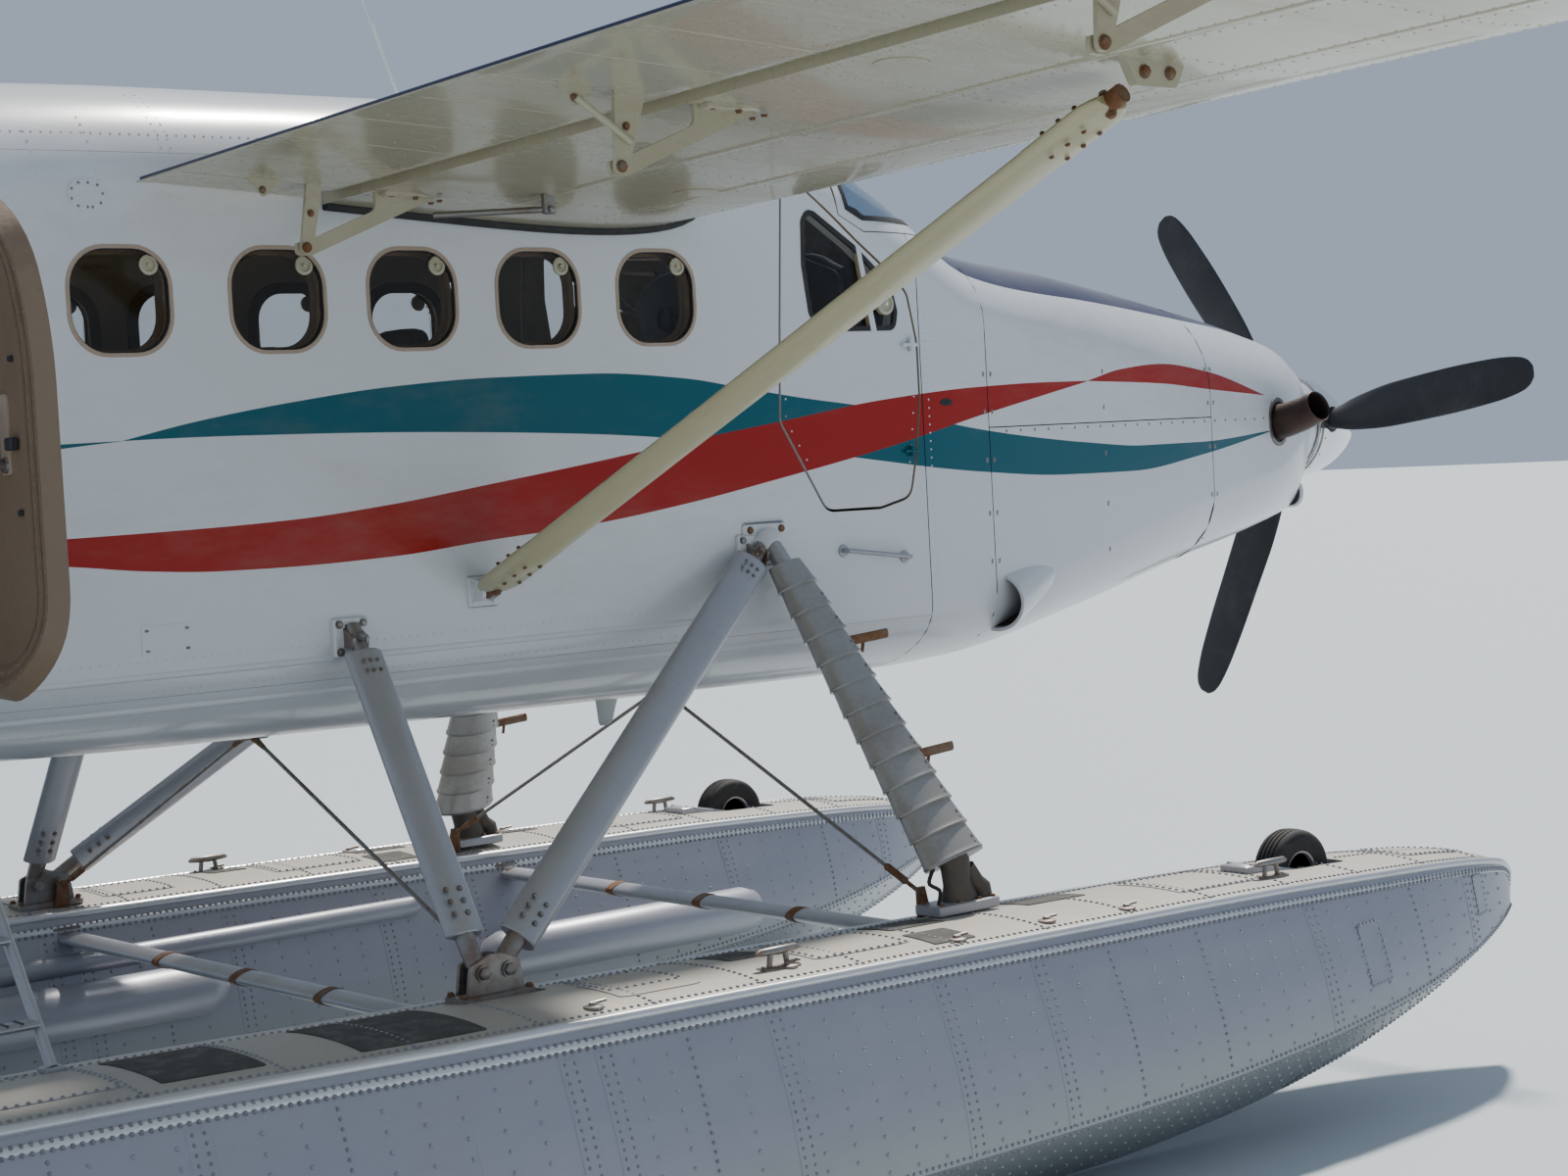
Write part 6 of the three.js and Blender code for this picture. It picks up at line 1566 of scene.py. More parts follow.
def hull(x, u, side, aft=None):
    """A float's skin at a station and a place round its section; negative places are inboard."""
    x, u = np.broadcast_arrays(np.asarray(x, float), np.asarray(u, float))
    behind = (x < STEP_X) if aft is None else np.full(x.shape, aft)
    deck, dh, ch, chine, keel = (np.where(behind, a(x), f(x)) for a, f in zip(AFT_CURVES, FORE_CURVES))
    k = np.abs(u)
    t = k - np.floor(np.minimum(k, 3.9999))
    edge_y, edge_z = dh * (1 + ROLL), deck - dh * ROLL
    mid_y, mid_z = dh + (ch - dh) * 0.75, deck + (chine - deck) * 0.55
    low_y, low_z = ch * 0.5, chine + (keel - chine) * 0.52
    y = np.select([k < 1, k < 2, k < 3],
                  [dh * t, three(dh, dh * (1 + ROLL * 0.66), edge_y, t), three(edge_y, mid_y, ch, t)],
                  three(ch, low_y, 0 * ch, t))
    z = np.select([k < 1, k < 2, k < 3],
                  [deck + CROWN * (1 - t ** 2.2), three(deck, deck - dh * ROLL * 0.36, edge_z, t),
                   three(edge_z, mid_z, chine, t)], three(chine, low_z, keel, t))
    return points_of(x, side * (FLOAT_Y + np.sign(u) * y), z)


def hull_out(x, u, side):
    e = 0.01
    x, u = np.broadcast_arrays(np.asarray(x, float), np.asarray(u, float))
    along = hull(x + e, u, side, x < STEP_X) - hull(x - e, u, side, x < STEP_X)
    across = hull(x, u + e, side) - hull(x, u - e, side)
    n = np.cross(along, across) * side
    return n / np.maximum(np.linalg.norm(n, axis=-1, keepdims=True), 1e-9)


def hull_line(xs, us, side, lift=0.0):
    out = hull_out(xs, us, side)
    return hull(xs, us, side) + lift * out, out


def deck_z(x):
    return float(hull(x, 0.0, PORT)[2])


def float_hull(side, name):
    half = np.concatenate([np.linspace(0, 1, 8)[:-1], np.linspace(1, 2, 5)[:-1], np.linspace(2, 3, 13)[:-1],
                           np.linspace(3, 4, 9)])
    places = np.concatenate([half, -half[-2:0:-1]])
    fore = [(x, False) for x in np.concatenate([[3.59, 3.57, 3.53, 3.48, 3.42, 3.34],
                                                np.arange(3.25, STEP_X, -0.09)])]
    aft = [(x, True) for x in np.append(np.arange(STEP_X - 0.0008, -5.5, -0.09), -5.5)]
    shapes = Shapes()
    shapes.loft([hull(x, places, side, behind) for x, behind in [*fore, (STEP_X, False), *aft]])
    count = len(places)
    on_deck = [max(abs(places[i]), abs(places[(i + 1) % count])) < 1.001 for i in range(count)]
    shapes.finish = [int(on_deck[i % count]) for i in range(len(shapes.finish) - 2)] + [0, 0]
    well, recess = Shapes(), Shapes()
    well.block((MAIN_WHEEL[0] - 0.30, side * FLOAT_Y - 0.222, -2.5),
               (MAIN_WHEEL[0] + 0.30, side * FLOAT_Y + 0.222, -1.555), 0, 0.03)
    recess.block((NOSE_WHEEL[0] - 0.175, side * FLOAT_Y - 0.085, NOSE_WHEEL[1] - NOSE_RADIUS - 0.022),
                 (NOSE_WHEEL[0] + 0.215, side * FLOAT_Y + 0.085, -1.2), 0, 0.02)
    shapes.make(f"float_hull_{name}", [FLOAT_METAL, DECK_PAINT], slot="float_skin",
                stands_for=[f"float_{name}"], sharp=24, cutters=[well, recess])


# Tubes along each float's inboard flank: ends, distance in from the float's middle, height, radius
TUBES = [(0.60, 2.08, 0.500, -1.83, 0.100), (-1.75, -0.52, 0.470, -1.745, 0.100),
         (-1.80, 0.42, 0.362, -1.592, 0.040)]
# Stations of the float's frames: those with two rows of rivets and those with one
DOUBLE_ROWS = [3.02, 2.03, 0.68, 0.25, -0.42, -1.04, -1.165, -2.3, -3.1, -3.9, -4.7]
DENSE_ROWS = [2.62, 1.43, 1.0, -0.75, -1.9, -2.7, -3.5, -4.3, -5.1]


# Stations along a float, from the bow to the stern, and near the bow
FLOAT_XS = np.concatenate([np.linspace(3.585, 3.2, 16), np.linspace(3.1, STEP_X + 0.02, 40),
                           np.linspace(STEP_X - 0.05, -5.49, 40)])
BOW_XS = np.linspace(3.585, 2.2, 40)


def rub_rails(side, name):
    rail = Shapes()
    for way in (1, -1):
        spots, _ = hull_line(FLOAT_XS, way * RAIL_AT, side, 0.002)
        rail.tube(spots, 0.0155, 10, along=(0, 0, 1))
        strip, _ = hull_line(FLOAT_XS, way * 2.035, side, 0.0008)
        rail.tube(strip, 0.013, 8, flatten=0.20, along=(0, 0, 1))
    rail.make(f"float_rub_rails_{name}", [RAIL_METAL], slot="float_skin", sharp=60)


def float_rivets(side, name):
    """Rows near the deck, on the flanks and bottom, and along the frames and the bow."""
    close, wide, seams = [], [], []
    for way in (1, -1):
        for u in (2.02, 2.055):
            close.append(hull_line(FLOAT_XS, way * u, side, 0.003))
        for x in np.arange(3.3, -5.4, -0.118):
            near = min(abs(x - d) for d in DOUBLE_ROWS + DENSE_ROWS)
            if near > 0.06:
                wide.append(hull_line(x, way * np.linspace(2.14, 2.93, 12), side))
            if x < 3.1:
                wide.append(hull_line(x, way * np.linspace(3.1, 3.9, 12), side))
        for x in DOUBLE_ROWS:
            for shift in (-0.017, 0.017):
                seams.append(hull_line(x + shift, way * np.linspace(2.10, 2.97, 16), side, 0.001))
        for x in DENSE_ROWS:
            seams.append(hull_line(x, way * np.linspace(2.10, 2.97, 16), side))
        for u in (2.975, 3.05):
            seams.append(hull_line(FLOAT_XS[2:], way * u, side))
    for u, way in product((3.80, 3.90), (1, -1)):
        seams.append(hull_line(BOW_XS, way * u, side, 0.003))
    for x in np.arange(3.2, -5.4, -0.40):
        close.append(hull_line(x, np.linspace(-0.95, 0.95, 20), side))
    for u in (-0.93, 0.93, 0.0):
        close.append(hull_line(np.linspace(3.4, 2.58, 12) if u == 0 else FLOAT_XS[10:], u, side))
    rivets(f"float_rivets_close_{name}", close, RIVET_DARK, "float_close")
    rivets(f"float_rivets_wide_{name}", wide, FLOAT_METAL, "float_wide")
    rivets(f"float_rivets_seams_{name}", seams, RIVET_DARK, "float_seam")


def float_laps(side, name):
    """Strips of sheet over the double rows and beside the keel at the bow."""
    laps = Shapes()
    for x in DOUBLE_ROWS:
        for way in (1, -1):
            u = way * np.linspace(2.08, 2.99, 22)
            outer = [hull_line(np.full(22, x + dx), u, side, lift)[0] for dx, lift in
                     ((-0.036, 0.0002), (-0.034, 0.0022), (0.034, 0.0022), (0.036, 0.0002), (0.034, -0.003),
                      (-0.034, -0.003))]
            laps.loft(np.transpose(np.array(outer), (1, 0, 2)))
    for way in (1, -1):
        x = np.linspace(3.588, 2.2, 40)
        strip = [hull_line(x, way * u, side, lift)[0] for u, lift in
                 ((3.72, 0.0002), (3.73, 0.003), (3.97, 0.003), (3.98, 0.0002), (3.97, -0.003),
                  (3.73, -0.003))]
        laps.loft(np.transpose(np.array(strip), (1, 0, 2)))
    laps.make(f"float_laps_{name}", [FLOAT_METAL], slot="float_skin", sharp=30)


def float_plates(side, name):
    small = Shapes()
    for label, x, u0, u1, long in (("low", 2.31, 2.28, 2.76, 0.125), ("high", 3.10, 2.10, 2.62, 0.08)):
        cover_outline = rounded([(x - long / 2, u0), (x + long / 2, u0), (x + long / 2, u1),
                                 (x - long / 2, u1)], 0.012)
        lift = [hull_line(cover_outline[:, 0], cover_outline[:, 1], side, v)[0] for v in (-0.002, 0.004)]
        small.loft(lift)
        ring = dense_ring(cover_outline)
        rivets(f"float_plate_rivets_{name}_{label}", [hull_line(ring[:, 0], ring[:, 1], side, 0.004)],
               FLOAT_METAL, "float_plate")
    small.make(f"float_plates_{name}", [FLOAT_METAL], slot="float_skin")


def float_tubes(side, name):
    tubes = Shapes()
    for x0, x1, inward, z, radius in TUBES:
        centre = (FLOAT_Y - inward) * side
        profile = [(0.0, 0.0), (0.004, 0.20 * radius), (0.02, 0.42 * radius), (0.5 * radius, 0.80 * radius),
                   (1.1 * radius, radius), (x1 - x0 - 1.1 * radius, radius),
                   (x1 - x0 - 0.5 * radius, 0.80 * radius),
                   (x1 - x0 - 0.02, 0.42 * radius), (x1 - x0 - 0.004, 0.20 * radius), (x1 - x0, 0.0)]
        tubes.lathe(profile, (x0, centre, z), (1, 0, 0), 32)
    tubes.make(f"float_side_tubes_{name}", [FLOAT_METAL], slot="float_skin", sharp=40)


def dense_ring(outline):
    spots = dense(outline, 0.02)
    return np.concatenate([spots, spots[:1]])


def deck_surface(side):
    return (lambda x, y: hull(x, side * y, side)), (lambda x, y: hull_out(x, side * y, side))


# On the deck: stations ahead and behind, and the shares of the half width inboard and outboard
HATCHES = [(1.95, 1.55, -0.6, 0.6), (0.30, -0.10, -0.55, 0.55), (-0.55, -0.85, -0.6, 0.3),
           (-2.4, -2.9, -0.6, 0.6), (-3.6, -4.0, -0.6, 0.6), (3.2, 2.85, -0.5, 0.5)]
PADS = [(1.30, 1.02, 0.20, 0.85), (0.62, 0.38, 0.15, 0.8), (0.52, 0.34, -0.8, -0.2),
        (-0.14, -0.30, 0.1, 0.8),
        (-0.92, -1.08, 0.45, 0.9), (-1.35, -1.75, -0.8, 0.75), (-2.02, -2.32, -0.7, 0.7),
        (-3.05, -3.4, -0.7, 0.7)]
CLEATS = [(2.04, 0.145), (-0.25, 0.145), (-4.70, 0.09)]  # station, and distance out from the float's middle
EYES = [(0.86, 0.72), (0.44, 0.78), (-0.22, 0.6), (-0.98, 0.75), (1.22, 0.8)]


def deck_patches(side, name):
    """Hatches and walkway pads along the deck; places across it are shares of its half width."""
    surface, out = deck_surface(side)
    lines = []
    for i, (x1, x0, u0, u1) in enumerate(HATCHES):
        outline = rounded_box(x0, x1, u0, u1, 0.05)
        outline = np.clip(outline, [-9, -0.99], [9, 0.99])
        shell(f"deck_hatch_{name}_{i + 1}", dense(outline, 0.04), (), (), [DECK_PAINT], FLOAT_METAL, 0.006,
              (0.06, 0.15), slot="float_skin", surface=surface, normal=out, inset=-0.003)
        ring = dense_ring(grown(outline, -0.016))
        lines.append(hull_line(ring[:, 0], ring[:, 1], side, 0.003))
    rivets(f"deck_hatch_screws_{name}", lines, RIVET_DARK, "hatch")
    for i, (x1, x0, u0, u1) in enumerate(PADS):
        plate(f"deck_pad_{name}_{i + 1}", dense(rounded_box(x0, x1, u0, u1, 0.02), 0.05), PAD_BLACK, 0.004,
              (0.06, 0.15), slot="panel", surface=surface, normal=out, inset=-0.003)


def deck_cleats(side, name):
    """Cleats and eyes along the deck."""
    cleats = Shapes()
    for x, out_by in CLEATS:
        y = side * (FLOAT_Y + out_by)
        z = float(hull(x, out_by / 0.26, side)[2])
        cleats.tube([(x - 0.085, y, z + 0.050), (x - 0.07, y, z + 0.054), (x, y, z + 0.052),
                     (x + 0.07, y, z + 0.054),
                     (x + 0.085, y, z + 0.050)], [0.005, 0.011, 0.014, 0.011, 0.005], 12)
        for dx in (-0.028, 0.028):
            cleats.tube([(x + dx * 1.3, y, z - 0.002), (x + dx, y, z + 0.05)], 0.009, 10)
        cleats.block((x - 0.075, y - 0.024, z - 0.006), (x + 0.075, y + 0.024, z + 0.006))
        for dx in (-0.06, 0.06):
            cleats.bolt((x + dx, y, z + 0.006), (0, 0, 1), 0.006)
    for x, u in EYES:
        spot = hull(x, u, side)
        cleats.lathe([(-0.002, 0), (-0.002, 0.030), (0.006, 0.030), (0.010, 0.014), (0.016, 0.013),
                      (0.018, 0)], spot, (0, 0, 1), 20)
        cleats.tube([spot + (-0.012, 0, 0.014), spot + (0.045, 0, 0.017)], 0.005, 8)
    cleats.make(f"deck_cleats_{name}", [STEEL], slot="bare_steel")


def wheel_arms(side, name):
    """The main wheels' arm and the nose wheel's fork."""
    well = Shapes()
    x, z = MAIN_WHEEL
    y = side * FLOAT_Y
    well.block((x + 0.055, y - 0.032, z - 0.03), (x + 0.31, y + 0.032, z + 0.03))
    well.lathe([(-0.032, 0.033), (-0.032, 0.06), (0.032, 0.06), (0.032, 0.033)], (x, y, z), (0, 1, 0), 28)
    well.make(f"wheel_arm_{name}", [GEAR_METAL], slot="gear_skin")
    fork = Shapes()
    x, z = NOSE_WHEEL
    root = x - 0.29
    for way in (-1, 1):
        reach = NOSE_WIDTH / 2 + 0.019
        fork.tube([(x, y + way * reach, z), (x - 0.06, y + way * reach, z + 0.008),
                   (root, y + way * 0.052, deck_z(root) + 0.016)],
                  [0.017, 0.017, 0.018], 12, flatten=0.45, along=(0, 0, 1))
        fork.bolt((x, y + way * (reach + 0.006), z), (0, way, 0), 0.012)
    fork.block((root - 0.03, y - 0.064, deck_z(root) - 0.02),
               (root + 0.04, y + 0.064, deck_z(root) + 0.026))
    fork.tube([(x, y - 0.07, z), (x, y + 0.07, z)], 0.009, 12)
    fork.make(f"nose_wheel_fork_{name}", [GEAR_METAL], slot="gear_skin")


def tyre_profile(radius, width, hub):
    half = width / 2
    rows = [(-half * 0.60, hub), (-half * 0.82, hub + 0.004), (-half * 0.98, radius * 0.72),
            (-half, radius * 0.80),
            (-half * 0.96, radius * 0.88), (-half * 0.84, radius * 0.945), (-half * 0.66, radius * 0.978)]
    grooves = [-0.45, -0.15, 0.15, 0.45]
    for g in grooves:
        r = radius * (1 - 0.022 * g * g / 0.4)
        rows += [(half * (g - 0.055), r), (half * (g - 0.035), r - 0.006), (half * (g + 0.035), r - 0.006),
                 (half * (g + 0.055), r)]
    rows += [(-a, r) for a, r in rows[6::-1]]
    return rows


def wheel(shapes, rims, centre, radius, width, hub):
    shapes.lathe([*tyre_profile(radius, width, hub), (width * 0.3, hub * 0.9), (-width * 0.3, hub * 0.9)],
                 centre, (0, 1, 0), 64)
    for way in (-1, 1):
        face = width * 0.36
        rims.lathe([(face - 0.03, 0), (face - 0.030, hub * 0.60), (face - 0.012, hub * 0.66),
                    (face - 0.012, hub * 0.86),
                    (face + 0.004, hub * 0.93), (face + 0.006, hub * 1.02), (face - 0.01, hub * 1.03),
                    (face - 0.055, hub * 0.9), (face - 0.055, 0)], centre, (0, way, 0), 48)
        rims.lathe([(face - 0.04, 0), (face - 0.04, hub * 0.30), (face + 0.012, hub * 0.27),
                    (face + 0.016, hub * 0.2), (face + 0.016, 0)], centre, (0, way, 0), 24)
        for a in circle(8):
            spot = np.asarray(centre) + (math.cos(a) * hub * 0.48, way * (face - 0.030),
                                         math.sin(a) * hub * 0.48)
            rims.bolt(spot, (0, way, 0), 0.007, 1)


def wheels(side, name):
    y = side * FLOAT_Y
    tyres, rims = Shapes(), Shapes()
    wheel(tyres, rims, np.array([NOSE_WHEEL[0], y, NOSE_WHEEL[1]]), NOSE_RADIUS, NOSE_WIDTH, 0.078)
    tyres.make(f"nose_tyre_{name}", [RUBBER], f"nose_wheel_{name}", "tyre", [f"nose_wheel_{name}"], 30)
    rims.make(f"nose_rim_{name}", [GEAR_METAL, RUST], f"nose_wheel_{name}", "gear_skin")
    tyres, rims = Shapes(), Shapes()
    for end in (-1, 1):
        wheel(tyres, rims, np.array([MAIN_WHEEL[0], y + end * MAIN_SPACING / 2, MAIN_WHEEL[1]]),
              MAIN_RADIUS, MAIN_WIDTH, 0.12)
    rims.tube([(MAIN_WHEEL[0], y - MAIN_SPACING / 2, MAIN_WHEEL[1]),
               (MAIN_WHEEL[0], y + MAIN_SPACING / 2, MAIN_WHEEL[1])], 0.026, 24)
    tyres.make(f"main_tyres_{name}", [RUBBER], f"main_wheels_{name}", "tyre", [f"main_wheels_{name}"], 30)
    rims.make(f"main_rims_{name}", [GEAR_METAL, RUST], f"main_wheels_{name}", "gear_skin")


def water_rudder(side, name):
    x, y = WATER_RUDDER_X, side * FLOAT_Y
    outline = rounded([(x - 0.02, -1.36), (x + 0.004, -1.40), (x + 0.004, -1.93), (x - 0.06, -2.01),
                       (x - 0.25, -1.96), (x - 0.285, -1.80), (x - 0.15, -1.50), (x - 0.06, -1.372)],
                      [0.01, 0.01, 0.03, 0.04, 0.05, 0.05, 0.05, 0.02])
    blade, notches = Shapes(), []
    blade.slab([(a, y, b) for a, b in outline], (0, 1, 0), 0.018)
    for z in RUDDER_BRACKETS_Z:
        notch = Shapes()
        notch.block((x - 0.044, y - 0.04, z - 0.017), (x + 0.04, y + 0.04, z + 0.017))
        notches.append(notch)
    blade.make(f"water_rudder_blade_{name}", [GEAR_METAL], f"water_rudder_{name}", "float_skin",
               [f"water_rudder_{name}"], cutters=notches)
    ribs = Shapes()
    for z0, z1, reach in ((-1.75, -1.79, 0.22), (-1.60, -1.63, 0.15), (-1.90, -1.92, 0.22)):
        for k in (-1, 1):
            ribs.tube([(x - 0.01, y + k * 0.009, z0), (x - reach, y + k * 0.009, z1)], 0.008, 8,
                      flatten=0.6, along=(0, 0, 1))
    ribs.make(f"water_rudder_ribs_{name}", [GEAR_METAL], f"water_rudder_{name}", "float_skin")
    post = Shapes()
    for z in RUDDER_BRACKETS_Z:
        post.block((x - 0.014, y - 0.016, z - 0.008), (-5.48, y + 0.016, z + 0.008))
        post.bolt((x, y, z + 0.008), (0, 0, 1), 0.009)
    post.make(f"water_rudder_brackets_{name}", [STEEL], slot="bare_steel")


# Gear between the fuselage and the floats
FOOT_Y = FLOAT_Y - 0.16
PYLON_TOP, PYLON_X, PYLON_BANDS = (0.60, 0.905, -0.235), 0.783, 12
V_FEET = [((0.52, 0.866, -0.185), (-1.045, FOOT_Y, -1.292)),
          ((-1.093, 0.866, -0.345), (-1.135, FOOT_Y, -1.292))]


STEP_SHARES = (0.27, 0.66)  # where the two step bars stand along the pylon
PYLON_CHORD, PYLON_THICKNESS = (0.150, 0.112), (0.084, 0.034)  # at the top, and how much more at the foot


def pylon(side, name):
    top = np.array(PYLON_TOP) * (1, side, 1)
    foot = np.array([PYLON_X, side * FOOT_Y, deck_z(PYLON_X) + 0.175])
    axis = foot - top
    _, unit, along, across = strut_frame(top, foot)
    shapes = Shapes()

    def ring(t, swell):
        chord, thick = ((first + more * t + swell) / 2 for first, more in (PYLON_CHORD, PYLON_THICKNESS))
        return streamlined(top + axis * t, along, across, (chord, thick, PYLON_BLUNT, PYLON_TAPER), 36)

    rings = [ring(0, -0.01)]
    for i in range(PYLON_BANDS):
        for share, swell in ((0.0, -0.004), (0.06, -0.002), (0.80, 0.011), (0.90, 0.016), (0.95, 0.020),
                             (0.985, 0.017), (0.99, -0.002)):
            rings.append(ring((i + share) / PYLON_BANDS, swell))
    rings += [ring(1, 0.016), ring(1.004, 0.012), ring(1.004, -0.02)]
    shapes.loft(rings)
    heads = []
    for i in range(1, PYLON_BANDS):
        for k in (-1, 1):
            spot = ring((i + 0.55) / PYLON_BANDS, 0.008)
            j = 5 if k > 0 else 31
            centre = top + axis * (i + 0.55) / PYLON_BANDS
            out = spot[j] - centre
            out /= np.linalg.norm(out)
            heads.append((np.array([spot[j], spot[j] + unit * 0.022]), out))
    shapes.make(f"pylon_bands_{name}", [PYLON_METAL], slot="gear_skin", stands_for=[f"front_pylon_{name}"],
                sharp=30)
    rivets(f"pylon_rivets_{name}", heads, RIVET_DARK, "pylon")
    parts = Shapes()
    parts.tube([(0.585, side * 0.84, -0.155), (0.585, side * 0.862, -0.166), top + axis * 0.05],
               [0.035, 0.034, 0.032], 20)
    low = np.array([PYLON_X, side * FOOT_Y, deck_z(PYLON_X) + 0.02])
    shin = [foot - axis * 0.05, foot + unit * 0.01, (foot + low) / 2 + (0.012, 0, 0), low + (0.02, 0, 0.02),
            low + (0.02, 0, -0.01)]
    parts.tube(shin, [0.060, 0.062, 0.058, 0.075, 0.082], 28, 3, flatten=0.66)
    parts.tube([foot + (0.06, -side * 0.005, -0.03), foot + (0.09, 0, -0.085), low + (0.115, 0, 0.05),
                low + (0.12, 0, 0.0)], [0.030, 0.034, 0.038, 0.042], 20, 3)
    parts.block((PYLON_X - 0.13, low[1] - 0.062, low[2] - 0.018),
                (PYLON_X + 0.15, low[1] + 0.062, low[2] + 0.018))
    for dx, dy in product((-0.105, -0.02, 0.065, 0.13), (-0.046, 0.046)):
        parts.bolt((PYLON_X + dx, low[1] + dy, low[2] + 0.018), (0, 0, 1), 0.009, 1)
    parts.tube(smooth_path([foot + (-0.10, side * 0.01, -0.01), foot + (-0.125, side * 0.01, -0.06),
                            low + (-0.085, side * 0.02, 0.06),
                            low + (-0.10, side * 0.02, 0.0)], 14), 0.007, 8, 2)
    for share in STEP_SHARES:
        spot = top + axis * share
        parts.tube([spot + (0.04, 0, -0.005), spot + (0.27, 0, 0.012)], 0.017, 12, 1, flatten=0.45,
                   along=(0, 0, 1))
        parts.tube([spot + (0.15, 0, -0.045), spot + (0.16, 0, 0.004)], 0.006, 8, 1)
    parts.make(f"pylon_foot_{name}", [GEAR_METAL, RUST, SEAL, CASTING], slot="gear_skin")
    root = Shapes()
    w = body_at(0.585, 0)
    z = -0.16
    root.block((0.49, side * (w - 0.006), z - 0.075), (0.68, side * (w + 0.014), z + 0.075), 0, 0.008)
    for x, dz in product((0.515, 0.655), (-0.05, 0.05)):
        root.bolt((x, side * (w + 0.014), z + dz), (0, side, 0), 0.011, 1)
    root.lathe([(0, 0.0), (0, 0.060), (0.02, 0.058), (0.05, 0.040), (0.05, 0)],
               (0.585, side * (w + 0.01), z), (0, side, -0.5), 28)
    root.make(f"pylon_root_{name}", [WHITE, RUST], slot="gear_skin")


def v_strut(side, name):
    legs, fits = Shapes(), Shapes()
    for start, end in V_FEET:
        start, end = np.array(start) * (1, side, 1), np.array(end) * (1, side, 1)
        length, axis, along, across = strut_frame(start, end)
        ends = ((0.055, 0.90), (0.06, 0.99), (0.066, 1))
        stations = [*ends, (length - 0.11, 1), (length - 0.104, 0.99), (length - 0.10, 0.90)]
        legs.loft([streamlined(start + axis * d, along, across, LEG_SECTION, 36, s) for d, s in stations])
        for k in (-1, 1):
            for d, shift in product((0.10, 0.135), (-0.024, 0.0, 0.024)):
                fits.bolt(start + axis * d + along * shift + across * k * 0.0315, across * k, 0.0052)
            for d, shift in product((0.16, 0.20, 0.24), (-0.028, 0.018)):
                fits.bolt(start + axis * (length - d) + along * shift + across * k * 0.0315, across * k,
                          0.0075)
        fits.tube([start - axis * 0.045, start + axis * 0.08], 0.026, 14, flatten=0.7)
        fits.tube([end - axis * 0.12, end], [0.034, 0.030], 14, flatten=0.8)
        fits.bolt(start + across * 0.026 + axis * 0.01, across, 0.014)
        fits.bolt(start - across * 0.026 + axis * 0.01, -across, 0.014)
        w = abs(start[1])
        pad_z = start[2]
        fits.block((start[0] - 0.062, side * (w - 0.06), pad_z - 0.062),
                   (start[0] + 0.062, side * (w - 0.028), pad_z + 0.062), 2, 0.006)
        for dx, dz in product((-0.043, 0.043), (-0.043, 0.043)):
            fits.bolt((start[0] + dx, side * (w - 0.028), pad_z + dz), (0, side, 0), 0.011)
        for dx in (-0.024, 0.024):
            fits.slab([(start[0] + dx, side * (w - 0.035), pad_z - 0.03),
                       (start[0] + dx, side * (w + 0.018), pad_z - 0.035),
                       (start[0] + dx, side * (w + 0.028), pad_z),
                       (start[0] + dx, side * (w - 0.035), pad_z + 0.035)], (1, 0, 0), 0.011)
    legs.make(f"v_strut_legs_{name}", [GEAR_METAL], slot="gear_skin", stands_for=[f"v_strut_{name}"],
              sharp=30)
    x, y = -1.09, side * FOOT_Y
    low = deck_z(x)
    fits.block((x - 0.13, y - 0.048, low - 0.015), (x + 0.13, y + 0.048, low + 0.014), 0, 0.005)
    for dy in (-0.028, 0.028):
        fits.slab(rounded([(x - 0.10, y + dy, low + 0.005), (x + 0.10, y + dy, low + 0.005),
                           (x + 0.085, y + dy, low + 0.10),
                           (x + 0.02, y + dy, low + 0.125), (x - 0.02, y + dy, low + 0.125),
                           (x - 0.085, y + dy, low + 0.10)], 0.015), (0, 1, 0), 0.014)
    for dx, k in product((-0.045, 0.045), (-1, 1)):
        fits.bolt((x + dx, y + k * 0.036, low + 0.075), (0, k, 0), 0.020)
    for dx, dy in product((-0.115, 0.115), (-0.034, 0.034)):
        fits.bolt((x + dx, y + dy, low + 0.014), (0, 0, 1), 0.010, 1)
    fits.make(f"v_strut_fittings_{name}", [STEEL, RUST, WHITE], slot="bare_steel")


def spreader_bars():
    for name, x, z in (("fore", 0.876, -1.53), ("aft", -1.084, -1.50)):
        end = FLOAT_Y - 0.334
        bar = Shapes()
        section = streamlined(np.array([x, 0, z]), (1, 0, 0), (0, 0, 1), BAR_SECTION, 32)
        bar.loft([section + (0, y, 0) for y in (-end, -end + 0.01, end - 0.01, end)])
        for y in (-0.55, 0.0, 0.55):
            bar.loft([(section - (x, 0, z)) * (k, 1, k) + (x, y + dy, z) for dy, k in
                      ((-0.022, 1.0), (-0.020, 1.10), (0.020, 1.10), (0.022, 1.0))], 1)
        bar.make(f"spreader_tube_{name}", [GEAR_METAL, RUST], slot="gear_skin",
                 stands_for=[f"spreader_bar_{name}"], sharp=40)
        ends = Shapes()
        for side in (STARBOARD, PORT):
            ends.tube([(x, side * (end - 0.03), z), (x, side * (end + 0.045), z)], [0.036, 0.03], 16,
                      flatten=0.8, along=(1, 0, 0))
            ends.block((x - 0.06, side * (end + 0.02), z - 0.045),
                       (x + 0.06, side * (end + 0.05), z + 0.045), 0, 0.006)
        ends.make(f"spreader_ends_{name}", [STEEL], slot="bare_steel")


